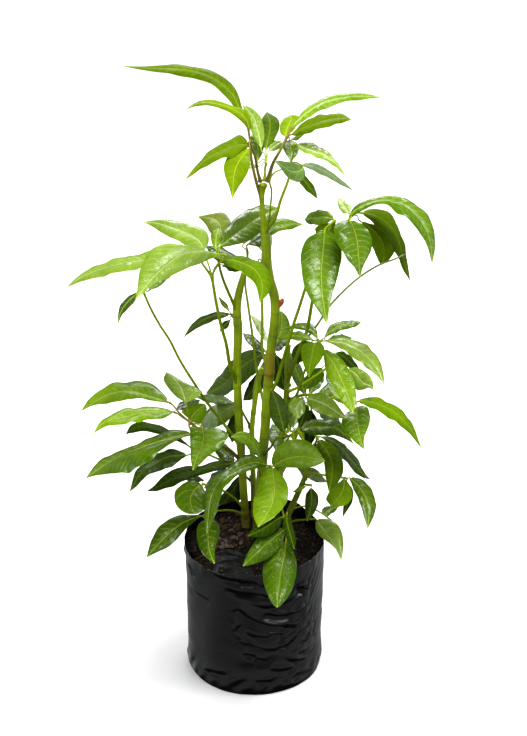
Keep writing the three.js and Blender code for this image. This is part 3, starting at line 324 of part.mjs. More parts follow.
    leaflets: [
      { base: [99.3,195.3,370.9], tip: [152.9,293.4,354.6], rows: [[[102.9,202,369.5], [102.1,205.4,369.8], [103.7,198.4,369.3]], [[117.2,228.3,364.5], [113.5,242.6,365.9], [120.8,213,363.7]], [[133.1,256.3,361.1], [128.7,272.9,362.8], [137.4,238.7,360]], [[147.1,282.8,356.8], [145.5,289.1,357.4], [148.7,276.1,356.3]]] },
      { base: [84.4,192.7,375.9], tip: [59.9,319.5,394.6], rows: [[[82.6,201.4,376.8], [80.6,199.7,376.8], [84.6,203.2,376.8]], [[76.1,235.3,381.2], [68.2,229.2,381.1], [84,241.6,381.3]], [[68.7,271.1,387], [59.8,264.4,386.8], [77.6,278,387.2]], [[62.6,305.5,392.4], [59.7,303.2,392.3], [65.5,307.8,392.5]]] },
      { base: [99.2,189.1,359.4], tip: [151.4,260,276.6], rows: [[[103,194.4,354.4], [104.4,199.1,354.2], [101.6,190.1,354.5]], [[117.1,214.1,333.2], [123.1,231.5,332.2], [111.2,198.1,333.6]], [[132.9,234,310], [139.4,251,309], [126.6,218.4,310.5]], [[145.9,252.4,286], [148,258.1,285.7], [143.7,247.1,286.1]]] },
      { base: [79.6,190.2,362.5], tip: [29.4,268.7,306.4], rows: [[[76.3,195.9,359], [76.1,200.1,359.3], [76.6,191.8,358.6]], [[63.1,217.4,344.4], [61.9,234.7,345.8], [64.3,200.6,342.9]], [[47.8,238.6,327.2], [46.1,258.8,328.8], [49.6,219.1,325.3]], [[34.7,259.8,312.1], [34.1,266.9,312.7], [35.3,252.8,311.4]]] },
      { base: [92.8,189,352.1], tip: [92.2,250,249.2], rows: [[[92.5,193.6,345.6], [89.3,194.3,345.6], [95.7,193.3,345.4]], [[91.8,211,319.6], [79,213.2,319.6], [104.5,210.1,318.9]], [[91.1,227.1,288.9], [79.7,228.6,288.8], [102.5,226.9,288.3]], [[92.1,243.3,260.5], [88.1,244,260.5], [96.1,243.1,260.3]]] },
      { base: [91.4,207.5,372], tip: [114.8,320.9,356], rows: [[[92.6,215.4,370.9], [90.9,217.7,370.6], [94.2,213.3,371.1]], [[97.7,246,366.6], [90,256.8,365.4], [105.4,236.3,367.3]], [[105.8,278.3,363.2], [97.5,291,362], [114,266.8,363.8]], [[112.3,308.7,358.4], [109.1,313.9,358], [115.5,304,358.6]]] }
    ] },
  { name: 'leaf_back_right_low', colour: 0x24501a, foot: 'stem_back_right', radii: [2.2, 1.7], hub: [61.8,160,270.8],
    petiole: [[40,116.9,265.9], [50.1,140,270.9], [61.8,160,270.8]],
    leaflets: [
      { base: [70.4,178.6,267.9], tip: [125.2,272.3,242.8], rows: [[[74,185.1,266.1], [73.4,188.7,265.9], [74.6,181.6,266.2]], [[88.2,210.4,259.4], [85.5,225.9,258.6], [90.9,195.6,260]], [[104.5,236.8,252.6], [101.7,253.8,251.8], [107.3,220.4,253.1]], [[119.2,262.1,245.9], [118.3,268.5,245.6], [120.2,256,246]]] },
      { base: [68.7,170.5,257.3], tip: [123.4,241.4,185.8], rows: [[[72.4,175.7,252.7], [73.3,179.8,252.6], [71.4,171.2,253.1]], [[86.6,195,233.8], [90.8,211.5,233.3], [82.4,177.1,235.2]], [[103.1,214.9,213.8], [107.7,232,213.3], [98.4,196.2,215.3]], [[117.5,233.5,193.6], [119,239.5,193.4], [115.9,227,194.1]]] },
      { base: [55.6,182.9,269.3], tip: [29.6,299.4,267], rows: [[[53.9,190.8,268.6], [51,188.4,268.1], [56.9,192.9,269.2]], [[47.4,221.9,267.2], [35.2,212.3,265.3], [59.6,230.4,269.8]], [[38.7,255.8,269.2], [25.1,245,266.9], [52.4,265.4,272.2]], [[32.3,287,268.2], [27.2,282.7,267.2], [37.4,290.8,269.4]]] },
      { base: [52.2,174,255.3], tip: [12.4,234.4,178], rows: [[[49.4,178.6,250.5], [48.1,182.3,250.6], [50.7,175.4,250.1]], [[38.7,195.1,230.2], [33,209,230.6], [44.4,183.4,228.7]], [[26.2,211.7,207.9], [19.5,227.1,208.3], [32.9,198.7,206.2]], [[16.8,227.5,185.9], [14.3,233.8,186.1], [19.1,222.1,185.2]]] }
    ] },
  { name: 'leaf_mid_dark', colour: 0x24501a, foot: 'stem_main', radii: [2.4, 1.6], hub: [49.1,-11.5,412.7],
    petiole: [[14.4,44.6,348], [25,8.2,381.1], [38.6,-7.6,408.9], [49.1,-11.5,412.7]],
    leaflets: [
      { base: [46.1,-12.3,420], tip: [26.2,-20.4,497.3], rows: [[[43.6,-14.5,434.4], [34.8,-16.5,432.8], [52.4,-12.3,435.9]], [[38.4,-16.1,457.2], [25.8,-19.7,454.6], [51.1,-12.5,459.8]], [[32.5,-17.8,480], [24.4,-20.6,477.9], [40.7,-15,482.1]]] }
    ] },
];

// ---- helpers ---------------------------------------------------------------
const V = (a) => new THREE.Vector3(a[0], a[1], a[2]);

function closedGeometry(positions, index) {
  const g = new THREE.BufferGeometry();
  g.setAttribute('position', new THREE.Float32BufferAttribute(positions, 3));
  g.setIndex(index);
  return g;
}

function toSolid(geometry) {
  const g0 = geometry.clone();
  g0.deleteAttribute('normal');
  g0.deleteAttribute('uv');
  const g = mergeVertices(g0, 1e-4);
  const solid = new wasm.Manifold(new wasm.Mesh({
    numProp: 3,
    vertProperties: new Float32Array(g.attributes.position.array),
    triVerts: new Uint32Array(g.index.array),
  }));
  return solid;
}

function toGeometry(solid) {
  const m = solid.getMesh();
  const p = m.vertProperties;
  const at = (i) => new THREE.Vector3(p[3 * i], p[3 * i + 1], p[3 * i + 2]);
  const faces = [];
  for (let i = 0; i < m.triVerts.length; i += 3) {
    const t = [m.triVerts[i], m.triVerts[i + 1], m.triVerts[i + 2]];
    const a = at(t[0]);
    faces.push([at(t[1]).sub(a).cross(at(t[2]).sub(a)).length(), t]);
  }
  // The largest faces come first.
  faces.sort((x, y) => y[0] - x[0]);
  return closedGeometry(Array.from(p), faces.flatMap((f) => f[1]));
}

function largest(solid) {
  const parts = solid.decompose();
  parts.sort((a, b) => b.volume() - a.volume());
  return parts[0];
}

// Round rod of varying radius along a polyline, closed by flat ends.
function rod(path, radii, sides) {
  const pts = path.map(V);
  const n = pts.length;
  const pos = [];
  const index = [];
  let normal = null;
  for (let i = 0; i < n; i++) {
    const t = pts[Math.min(n - 1, i + 1)].clone().sub(pts[Math.max(0, i - 1)]).normalize();
    if (!normal) {
      normal = new THREE.Vector3(1, 0, 0);
      if (Math.abs(t.x) > 0.8) normal.set(0, 1, 0);
    }
    normal.addScaledVector(t, -normal.dot(t)).normalize();
    const b = t.clone().cross(normal);
    for (let k = 0; k < sides; k++) {
      const a = (2 * Math.PI * k) / sides;
      const p = pts[i].clone()
        .addScaledVector(normal, Math.cos(a) * radii[i])
        .addScaledVector(b, Math.sin(a) * radii[i]);
      pos.push(p.x, p.y, p.z);
    }
  }
  for (let i = 0; i < n - 1; i++) {
    for (let k = 0; k < sides; k++) {
      const a = i * sides + k, b2 = i * sides + ((k + 1) % sides);
      const c = a + sides, d = b2 + sides;
      index.push(a, b2, d, a, d, c);
    }
  }
  const last = (n - 1) * sides;
  for (let k = 1; k < sides - 1; k++) {
    index.push(0, k + 1, k);
    index.push(last, last + k, last + k + 1);
  }
  return closedGeometry(pos, index);
}

// Leaflet with its stalk, as one thin loft: a square-ish stalk from the hub to
// the leaflet's base, then a lens-shaped blade, thickest along the midrib.
function leafletGeometry(leaflet, hub, stalkRadius) {
  const start = V(hub), base = V(leaflet.base), tip = V(leaflet.tip);
  const rows = leaflet.rows.map((r) => r.map(V));
  const pos = [];
  const index = [];
  const n = rows.length;
  const frame = (before, after, across) => {
    const t = after.clone().sub(before).normalize();
    const c = across.clone().addScaledVector(t, -across.dot(t)).normalize();
    return [c, c.clone().cross(t).normalize()];
  };
  const across = rows[0][1].clone().sub(rows[0][2]);
  for (const [centre, before, after, r] of [
    [start, start, base, stalkRadius],
    [base, start, rows[0][0], stalkRadius * 0.8],
  ]) {
    const [c, up] = frame(before, after, across);
    for (const [x, y] of [[r, 0], [0, r], [-r, 0], [0, -r]]) {
      const p = centre.clone().addScaledVector(c, x).addScaledVector(up, y);
      pos.push(p.x, p.y, p.z);
    }
  }
  for (let i = 0; i < n; i++) {
    const [m, l, r] = rows[i];
    const before = i === 0 ? base : rows[i - 1][0];
    const after = i === n - 1 ? tip : rows[i + 1][0];
    const [side, up] = frame(before, after, l.clone().sub(r));
    // A folded blade is made thicker at its midrib, so its two halves stay solid.
    const open = Math.min(...[l, r].map((e) => {
      const d = e.clone().sub(m);
      return Math.abs(d.dot(side)) / Math.hypot(d.dot(side), d.dot(up), 1e-6);
    }));
    const half = BLADE_HALF / Math.max(0.3, open);
    const top = m.clone().addScaledVector(up, half);
    const bottom = m.clone().addScaledVector(up, -half);
    for (const p of [l, top, r, bottom]) pos.push(p.x, p.y, p.z);
  }
  pos.push(tip.x, tip.y, tip.z);
  const rings = n + 2;
  const end = 4 * rings;
  index.push(0, 1, 2, 0, 2, 3);
  for (let k = 0; k < 4; k++) {
    const k2 = (k + 1) % 4;
    for (let i = 0; i < rings - 1; i++) {
      // Both faces of each half are split along the same diagonal.
      const a = 4 * i + k, b = 4 * i + k2;
      if (k < 2) index.push(a, a + 4, b + 4, a, b + 4, b);
      else index.push(a, a + 4, b, b, a + 4, b + 4);
    }
    index.push(4 * (rings - 1) + k, end, 4 * (rings - 1) + k2);
  }
  const g = closedGeometry(pos, index);
  // Faces point out whichever way the rows run.
  const p = g.attributes.position;
  let volume = 0;
  const a = new THREE.Vector3(), b = new THREE.Vector3(), d = new THREE.Vector3();
  for (let i = 0; i < index.length; i += 3) {
    a.fromBufferAttribute(p, index[i]);
    b.fromBufferAttribute(p, index[i + 1]);
    d.fromBufferAttribute(p, index[i + 2]);
    volume += a.dot(b.clone().cross(d));
  }
  if (volume < 0) {
    const flipped = [];
    for (let i = 0; i < index.length; i += 3) flipped.push(index[i], index[i + 2], index[i + 1]);
    g.setIndex(flipped);
  }
  return g;
}

function leafSolid(leaf, stemCutters) {
  const [r0, r1] = leaf.radii;
  const parts = [];
  if (leaf.petiole.length > 1) {
    const n = leaf.petiole.length;
    const radii = leaf.petiole.map((_, i) => r0 + (r1 - r0) * (i / (n - 1)));
    radii[0] = r0 * 1.15;
    parts.push(toSolid(rod(leaf.petiole, radii, PETIOLE_SIDES)));
  } else {
    const knob = new THREE.OctahedronGeometry(r1 * 1.5, 0);
    knob.translate(leaf.hub[0], leaf.hub[1], leaf.hub[2]);
    parts.push(toSolid(knob));
  }
  for (const leaflet of leaf.leaflets) {
    parts.push(toSolid(leafletGeometry(leaflet, leaf.hub, r1 * 0.8)));
  }
  let body = parts[0];
  for (let i = 1; i < parts.length; i++) body = body.add(parts[i]);
  for (const cutter of stemCutters) body = body.subtract(cutter);
  return largest(body);
}

function named(geometry, name, colour, roughness) {
  const mesh = new THREE.Mesh(geometry, new THREE.MeshStandardMaterial({ color: colour, roughness, metalness: 0 }));
  mesh.name = name;
  return mesh;
}

// ---- bag ---------------------------------------------------------------------
// Rim height around the bag: the film stands a little higher at the back.
function rimHeight(phi) {
  const bump = (centre, width, height) => {
    let d = Math.abs(phi - centre) % (2 * Math.PI);
    if (d > Math.PI) d = 2 * Math.PI - d;
    return height * Math.exp(-((d / width) ** 2));
  };
  return BAG_HEIGHT + bump(0.95, 0.42, 12) + bump(3.45, 0.7, -5) + bump(4.1, 0.5, -3) + bump(2.2, 0.5, 3);
}

// Slight pull-ins of the filled film between base and rim.
const WALL_ROWS = [0.02, 0.5, 1];
function wallRow(phi, t) {
  const r = BAG_BASE_R + (BAG_RIM_R - BAG_BASE_R) * t;
  return r + 0.9 * Math.sin(3 * phi + 0.6) * t * (1 - 0.3 * t) + 0.6 * Math.sin(5 * phi + 2.1) * Math.sin(Math.PI * t);
}
// The wall is straight between its rows, so what lies against it stays clear.
function wallRadius(phi, t) {
  let i = 0;
  while (i < WALL_ROWS.length - 2 && t > WALL_ROWS[i + 1]) i++;
  const a = WALL_ROWS[i], b = WALL_ROWS[i + 1];
  const s = Math.min(1, Math.max(0, (t - a) / (b - a)));
  return wallRow(phi, a) * (1 - s) + wallRow(phi, b) * s;
}

function bagGeometry() {
  // rows of the section, outside going up and inside going down
  const rows = [];
  const outer = [[0.0, BAG_BASE_FLAT_R, 0], [0.02, null, 6], [0.5, null, null], [1, null, null]];
  for (const [t, r, z] of outer) rows.push({ t, r, z, inner: false });
  for (const t of [1, 0.5]) rows.push({ t, inner: true });
  rows.push({ t: 0.02, inner: true, z: 6 });
  rows.push({ t: 0, inner: true, r: BAG_BASE_FLAT_R - FILM, z: FILM });
  const pos = [0, 0, 0];
  const index = [];
  for (const row of rows) {
    for (let k = 0; k < BAG_SIDES; k++) {
      const phi = (2 * Math.PI * k) / BAG_SIDES;
      let r = row.r ?? wallRadius(phi, row.t) - (row.inner ? FILM : 0);
      const z = row.z ?? 6 + (rimHeight(phi) - 6) * row.t;
      pos.push(r * Math.cos(phi), r * Math.sin(phi), z);
    }
  }
  pos.push(0, 0, FILM);
  const top = 1 + rows.length * BAG_SIDES;
  for (let k = 0; k < BAG_SIDES; k++) {
    const k2 = (k + 1) % BAG_SIDES;
    index.push(0, 1 + k2, 1 + k);
    for (let i = 0; i < rows.length - 1; i++) {
      const a = 1 + i * BAG_SIDES + k, b = 1 + i * BAG_SIDES + k2;
      const c = a + BAG_SIDES, d = b + BAG_SIDES;
      index.push(a, b, d, a, d, c);
    }
    const a = 1 + (rows.length - 1) * BAG_SIDES + k, b = 1 + (rows.length - 1) * BAG_SIDES + k2;
    index.push(a, b, top);
  }
  return closedGeometry(pos, index);
}

// ---- soil ---------------------------------------------------------------------
function soilHeight(x, y) {
  const d = Math.hypot(x - 0, y - 45) / 100;
  return SOIL_TOP + SOIL_CROWN * Math.exp(-d * d * 2.2)
    + 1.6 * Math.sin(x * 0.061 + 1.3) * Math.cos(y * 0.053 - 0.4)
    + 0.9 * Math.sin(x * 0.13 - y * 0.11);
}

function soilGeometry() {
  const clear = FILM + GAP;
  const sides = BAG_SIDES;
  const pos = [0, 0, FILM + GAP];
  const index = [];
  const rings = [];
  rings.push((phi) => [BAG_BASE_FLAT_R - clear - 0.4, FILM + GAP]);
  rings.push((phi) => [wallRadius(phi, 0.02) - clear - 0.4, 7.2]);
  rings.push((phi) => [wallRadius(phi, 0.5) - clear - 0.4, 6 + (rimHeight(phi) - 6) * 0.5]);
  const edge = (phi) => wallRadius(phi, (SOIL_TOP - 8) / rimHeight(phi)) - clear;
  for (const s of [1, 0.66, 0.33]) {
    rings.push((phi) => {
      const r = edge(phi) * s;
      return [r, soilHeight(r * Math.cos(phi), r * Math.sin(phi))];
    });
  }
  for (const ring of rings) {
    for (let k = 0; k < sides; k++) {
      const phi = (2 * Math.PI * k) / sides;
      const [r, z] = ring(phi);
      pos.push(r * Math.cos(phi), r * Math.sin(phi), z);
    }
  }
  pos.push(0, 0, soilHeight(0, 0));
  const top = 1 + rings.length * sides;
  for (let k = 0; k < sides; k++) {
    const k2 = (k + 1) % sides;
    index.push(0, 1 + k2, 1 + k);
    for (let i = 0; i < rings.length - 1; i++) {
      const a = 1 + i * sides + k, b = 1 + i * sides + k2;
      index.push(a, b, b + sides, a, b + sides, a + sides);
    }
    index.push(1 + (rings.length - 1) * sides + k, 1 + (rings.length - 1) * sides + k2, top);
  }
  return closedGeometry(pos, index);
}

// ---- assembly --------------------------------------------------------------------
const plant = new THREE.Group();

const stemSolids = {};
const stemCutters = {};
for (const s of STEMS) {
  let solid = toSolid(rod(s.path, s.radii, STEM_SIDES));
  const wide = s.path.map((p) => p.slice());
  const n = wide.length;
  const dir = V(wide[n - 1]).sub(V(wide[n - 2])).normalize().multiplyScalar(GAP);
  wide[n - 1] = [wide[n - 1][0] + dir.x, wide[n - 1][1] + dir.y, wide[n - 1][2] + dir.z];
  wide[0] = [wide[0][0], wide[0][1], wide[0][2] - GAP];
  stemCutters[s.name] = toSolid(rod(wide, s.radii.map((r) => r + GAP / Math.cos(Math.PI / STEM_SIDES)), STEM_SIDES));
  stemSolids[s.name] = solid;
}

const bag = bagGeometry();
plant.add(named(bag, 'grow_bag', 0x1b1b1d, 0.42));

let soil = toSolid(soilGeometry());
for (const s of STEMS) soil = soil.subtract(stemCutters[s.name]);
plant.add(named(toGeometry(largest(soil)), 'potting_soil', 0x2b1f16, 0.95));

for (const s of STEMS) plant.add(named(toGeometry(stemSolids[s.name]), s.name, 0x6e8a26, 0.5));

for (const leaf of LEAVES) {
  const cutters = leaf.foot ? [stemCutters[leaf.foot]] : [];
  plant.add(named(toGeometry(leafSolid(leaf, cutters)), leaf.name, leaf.colour, 0.35));
}

export default plant;
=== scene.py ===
import math
import bpy
import numpy as np
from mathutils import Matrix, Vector


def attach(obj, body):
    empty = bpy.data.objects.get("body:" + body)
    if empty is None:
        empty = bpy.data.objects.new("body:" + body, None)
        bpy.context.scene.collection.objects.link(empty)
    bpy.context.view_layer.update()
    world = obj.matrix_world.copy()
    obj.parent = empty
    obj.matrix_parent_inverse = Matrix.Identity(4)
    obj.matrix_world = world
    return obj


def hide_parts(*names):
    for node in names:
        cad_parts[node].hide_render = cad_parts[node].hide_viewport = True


# A young umbrella tree in a black film nursery bag.  Everything is in metres,
# +Z up, with the origin at the centre of the bag's base.

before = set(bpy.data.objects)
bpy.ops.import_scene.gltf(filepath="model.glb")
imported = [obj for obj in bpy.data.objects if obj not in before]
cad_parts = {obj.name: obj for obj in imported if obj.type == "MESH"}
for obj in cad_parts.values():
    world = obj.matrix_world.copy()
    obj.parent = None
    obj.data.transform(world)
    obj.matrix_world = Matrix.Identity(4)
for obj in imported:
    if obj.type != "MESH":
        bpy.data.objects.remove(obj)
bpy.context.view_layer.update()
SC = bpy.context.scene

# ---------------------------------------------------------------- tables
# Tenths of a millimetre.  A leaflet has nine stations from its base to its tip,
# each with a point on the midrib and one on each margin.
STATIONS = np.array([0, .07, .2, .34, .48, .62, .76, .89, 1.0])
STEMS = {
 "stem_main": ([78,460,2029,62,460,2198,126,450,3213,173,440,3931,219,420,4638,263,400,5327,322,380,5869,321,370,6168,246,360,6497,202,350,6821,187,340,7142,143,320,7540,128,310,7837,150,300,8024], [82,80,76,76,78,72,70,72,68,68,72,38,32,56]),
 "stem_left": ([-115,500,2005,-130,500,2173,-174,500,3003,-202,500,3544,-243,500,4424,-255,500,4940,-235,480,5624,-247,470,6042,-200,460,6324,-139,450,6571], [64,62,60,64,64,62,66,64,54,42]),
 "stem_right": ([287,700,1918,287,700,2107,349,700,2887,425,680,3623,485,660,4166,513,640,4612,510,620,5017,539,600,5316], [54,52,50,48,46,42,36,30]),
 "stem_low_right": ([524,360,2240,539,360,2426,647,360,2720,770,360,3047,860,360,3407,949,360,3728], [52,50,46,40,32,26]),
 "stem_front": ([126,200,2153,126,200,2339,158,160,2838,189,120,3222,220,80,3441], [36,34,30,28,24]),
 "stem_back": ([-4,850,1940,-4,850,2129,-18,950,2928,-33,1050,3602,32,1120,4192,126,1150,4653], [50,48,44,42,38,32]),
 "stem_back_right": ([191,880,1997,207,880,2148,385,1150,2627,580,1400,3044,742,1550,3424,871,1650,3738], [46,44,40,36,32,28]),
}
# A leaflet's second entry names its tone in TONES, chosen to paint the light or shade that falls on that leaflet.
LEAVES = [
 ("leaf_top_far_left", [-70,322,8872], [130,311,7795,56,326,7999,-15,357,8368,-42,351,8640,-70,322,8872], (26, 16), 'stem_main', [
  ("A", "limedk", [-141,460,8990,-202,569,9081,-325,773,9250,-541,964,9377,-810,1121,9433,-1098,1253,9441,-1391,1372,9419,-1667,1480,9396,-1900,1579,9392],
   [-141,460,8990,-171,618,9089,-261,887,9271,-480,1109,9402,-763,1284,9461,-1065,1410,9467,-1371,1466,9435,-1657,1516,9403,-1900,1579,9392],
   [-141,460,8990,-233,521,9072,-389,659,9230,-601,820,9352,-857,959,9406,-1131,1098,9415,-1412,1277,9403,-1676,1444,9390,-1900,1579,9392]),
  ("B", "lime", [-55,293,8837,-64,305,8906,-123,323,9024,-243,323,9113,-385,313,9179,-534,294,9229,-684,263,9255,-819,213,9234,-922,157,9190],
   [-55,293,8837,-34,327,8911,-62,398,9037,-190,399,9125,-351,380,9189,-514,375,9239,-678,352,9265,-820,264,9239,-922,157,9190],
   [-55,293,8837,-95,290,8900,-184,263,9008,-296,261,9097,-420,255,9166,-553,222,9216,-691,183,9243,-818,166,9227,-922,157,9190]),
 ]),
 ("leaf_top_near_left", [-40,58,8754], [103,270,8081,44,131,8402,-5,63,8649,-40,58,8754], (22, 15), 'stem_main', [
  ("C", "limedk", [-68,-21,8707,-102,-55,8739,-198,-135,8767,-343,-244,8750,-485,-356,8728,-615,-478,8686,-729,-608,8627,-828,-732,8567,-909,-837,8514],
   [-68,-21,8707,-84,64,8767,-171,100,8822,-329,-32,8799,-488,-166,8770,-624,-329,8718,-737,-514,8647,-833,-687,8576,-909,-837,8514],
   [-68,-21,8707,-119,-164,8709,-225,-352,8708,-356,-440,8698,-483,-532,8682,-606,-615,8651,-721,-695,8605,-823,-773,8557,-909,-837,8514]),
  ("D", "lime", [-53,-108,8693,-82,-176,8685,-137,-305,8664,-194,-452,8626,-237,-607,8572,-257,-763,8514,-263,-917,8463,-266,-1060,8413,-269,-1183,8368],
   [-53,-108,8693,-117,-152,8700,-233,-246,8702,-336,-376,8676,-386,-542,8616,-377,-717,8546,-331,-889,8482,-293,-1048,8421,-269,-1183,8368],
   [-53,-108,8693,-47,-206,8672,-41,-381,8632,-52,-553,8586,-89,-697,8538,-137,-829,8490,-195,-956,8449,-240,-1077,8407,-269,-1183,8368]),
 ]),
 ("leaf_top_young", [186,387,8312], [157,340,8055,172,387,8175,186,387,8312], (19, 15), 'stem_main', [
  ("T3a", "moss", [186,748,8398,195,815,8412,210,940,8442,228,1080,8482,244,1221,8525,251,1364,8571,237,1503,8611,215,1623,8628,202,1724,8643],
   [186,748,8398,168,815,8413,139,940,8442,129,1075,8480,124,1210,8520,123,1342,8562,128,1480,8601,161,1616,8625,202,1724,8643],
   [186,748,8398,221,810,8413,280,929,8445,326,1069,8489,364,1213,8536,379,1364,8587,345,1509,8627,268,1621,8634,202,1724,8643]),
  ("T3b", "pale", [114,839,8397,109,891,8427,95,989,8482,70,1097,8546,44,1205,8612,9,1313,8675,-45,1415,8729,-102,1506,8769,-154,1579,8797],
   [114,839,8397,87,884,8422,37,966,8470,-6,1055,8527,-39,1149,8588,-72,1246,8649,-105,1356,8706,-132,1472,8757,-154,1579,8797],
   [114,839,8397,131,895,8432,153,1003,8497,147,1126,8568,127,1248,8640,91,1366,8706,15,1464,8754,-72,1534,8783,-154,1579,8797]),
  ("T3c", "pale", [85,619,8184,59,651,8171,12,711,8147,-39,781,8131,-91,855,8126,-142,930,8121,-195,1003,8112,-244,1071,8104,-286,1128,8097],
   [85,619,8184,60,674,8173,13,777,8153,-38,865,8139,-89,927,8133,-141,988,8126,-194,1042,8116,-244,1088,8106,-286,1128,8097],
   [85,619,8184,59,629,8169,10,647,8141,-41,699,8123,-92,785,8118,-144,873,8114,-196,966,8108,-245,1053,8102,-286,1128,8097]),
  ("T3d", "midlt", [70,839,8198,68,886,8211,64,972,8234,62,1069,8266,60,1167,8300,50,1265,8335,34,1362,8367,18,1447,8387,8,1517,8399],
   [70,839,8198,49,884,8208,11,967,8228,-14,1060,8255,-31,1156,8288,-42,1252,8322,-42,1350,8356,-20,1441,8381,8,1517,8399],
   [70,839,8198,87,885,8214,118,972,8243,138,1069,8279,151,1168,8316,141,1268,8352,109,1366,8382,57,1448,8394,8,1517,8399]),
  ("T3e", "pale", [230,703,8383,240,730,8386,260,780,8392,286,834,8397,317,887,8401,349,941,8406,377,992,8406,401,1036,8400,422,1073,8394],
   [230,703,8383,233,739,8392,240,806,8410,256,875,8425,287,937,8434,318,997,8443,354,1037,8435,391,1057,8413,422,1073,8394],
   [230,703,8383,247,723,8379,280,761,8372,315,802,8365,348,848,8364,380,896,8365,400,955,8374,412,1019,8385,422,1073,8394]),
 ]),
 ("leaf_top_right", [483,219,8759], [209,270,8081,264,226,8294,384,195,8574,483,219,8759], (30, 18), 'stem_main', [
  ("E", "midlt", [540,346,8849,608,429,8899,745,578,8982,914,729,9050,1101,865,9089,1302,987,9100,1508,1098,9087,1703,1189,9051,1869,1264,9018],
   [540,346,8849,600,459,8902,723,668,8990,887,870,9065,1079,1027,9107,1289,1134,9117,1504,1203,9100,1704,1252,9059,1869,1264,9018],
   [540,346,8849,625,364,8891,772,462,8967,939,587,9031,1122,710,9068,1314,851,9081,1514,981,9070,1705,1135,9043,1869,1264,9018]),
  ("F", "limedk", [552,188,8813,601,160,8843,695,116,8915,806,68,8991,924,12,9052,1045,-51,9099,1167,-116,9142,1276,-185,9164,1357,-253,9163],
   [552,188,8813,594,247,8850,679,298,8930,791,289,9011,916,229,9072,1047,137,9117,1176,54,9159,1287,-79,9175,1357,-253,9163],
   [552,188,8813,608,88,8831,711,-36,8890,822,-116,8961,933,-169,9021,1045,-208,9072,1159,-257,9116,1265,-272,9147,1357,-253,9163]),
  ("G", "lime", [471,446,8697,471,486,8701,475,563,8712,494,652,8738,516,742,8768,543,834,8798,558,921,8821,555,992,8821,551,1048,8814],
   [471,446,8697,444,490,8694,404,574,8696,393,674,8722,396,772,8751,419,862,8780,456,939,8800,507,998,8808,551,1048,8814],
   [471,446,8697,498,492,8705,547,575,8720,595,662,8743,637,753,8771,668,846,8803,660,937,8831,604,1002,8828,551,1048,8814]),
  ("G2", "lime", [542,397,8654,556,415,8652,581,450,8650,609,487,8647,635,526,8647,661,565,8649,688,604,8650,713,641,8651,734,671,8651],
   [542,397,8654,554,426,8653,576,481,8653,600,539,8652,626,581,8653,655,606,8653,684,630,8652,711,653,8652,734,671,8651],
   [542,397,8654,558,404,8651,586,418,8647,617,433,8642,644,468,8643,668,522,8645,692,577,8647,715,628,8649,734,671,8651]),
 ]),
 ("leaf_top_low_right", [541,167,8390], [170,332,7296,302,216,7503,402,190,7821,500,165,8135,542,164,8300,541,167,8390], (26, 17), 'stem_main', [
  ("H", "pale", [622,76,8689,663,28,8699,761,-68,8705,875,-178,8699,984,-291,8685,1079,-414,8654,1163,-541,8612,1228,-664,8563,1280,-770,8519],
   [622,76,8689,673,128,8709,785,107,8721,903,-14,8713,1013,-152,8697,1102,-317,8661,1178,-484,8616,1234,-640,8564,1280,-770,8519],
   [622,76,8689,653,-72,8690,738,-243,8690,847,-342,8685,954,-431,8675,1056,-510,8647,1148,-599,8608,1222,-689,8561,1280,-770,8519]),
  ("I", "icy", [715,291,8316,765,335,8300,867,410,8254,976,478,8179,1084,542,8098,1189,604,8012,1289,663,7918,1384,718,7832,1465,765,7760],
   [715,291,8316,768,403,8307,875,520,8266,990,589,8191,1100,645,8109,1205,693,8021,1302,727,7924,1390,749,7835,1465,765,7760],
   [715,291,8316,761,265,8293,859,295,8244,963,362,8169,1068,436,8088,1173,513,8004,1276,597,7912,1377,686,7829,1465,765,7760]),
  ("K", "mid", [647,412,8182,663,439,8143,695,490,8070,732,544,7991,779,598,7913,824,653,7834,871,708,7758,910,759,7685,939,801,7622],
   [647,412,8182,651,424,8140,659,447,8063,682,484,7981,727,534,7902,775,591,7824,836,668,7751,892,740,7682,939,801,7622],
   [647,412,8182,676,457,8144,731,541,8074,783,615,7997,831,675,7919,873,725,7840,907,756,7762,928,781,7687,939,801,7622]),
  ("Lf", "mid", [542,227,8398,546,273,8406,553,359,8421,559,453,8438,551,549,8461,536,645,8484,509,736,8495,499,813,8491,492,876,8484],
   [542,227,8398,529,278,8404,504,373,8413,478,474,8425,455,568,8441,432,661,8458,422,749,8474,457,818,8480,492,876,8484],
   [542,227,8398,563,271,8408,603,353,8425,639,443,8446,647,544,8476,641,645,8504,596,735,8511,541,814,8500,492,876,8484]),
 ]),
 ("leaf_top_front", [548,-280,8474], [178,336,7216,257,-71,7844,263,-195,8117,234,-278,8296,310,-337,8436,422,-341,8481,548,-280,8474], (16, 12), 'stem_main', [
  ("J", "blue", [698,-420,8539,694,-458,8536,670,-527,8532,610,-599,8534,535,-659,8561,468,-706,8612,409,-749,8673,354,-790,8727,306,-826,8769],
   [698,-420,8539,673,-434,8558,626,-463,8596,573,-508,8629,515,-572,8655,459,-639,8687,403,-704,8722,351,-769,8749,306,-826,8769],
   [698,-420,8539,716,-488,8515,713,-607,8473,646,-710,8446,555,-764,8474,476,-789,8542,415,-803,8627,358,-815,8706,306,-826,8769]),
 ]),
 ("leaf_upper_left_front", [-600,-1,6700], [-249,500,4684,-358,338,5105,-412,217,5498,-481,117,5875,-521,57,6146,-561,18,6405,-600,-1,6700], (30, 22), 'stem_left', [
  ("L1a", "pale", [-749,637,6862,-755,707,6880,-811,842,6925,-935,986,6968,-1090,1112,6977,-1247,1238,6985,-1403,1361,6987,-1551,1467,6971,-1680,1552,6948],
   [-749,637,6862,-694,742,6891,-683,953,6962,-804,1147,7025,-981,1273,7035,-1167,1385,7039,-1356,1469,7028,-1531,1517,6990,-1680,1552,6948],
   [-749,637,6862,-816,686,6864,-939,764,6875,-1067,863,6896,-1199,986,6905,-1327,1120,6920,-1452,1273,6939,-1572,1426,6949,-1680,1552,6948]),
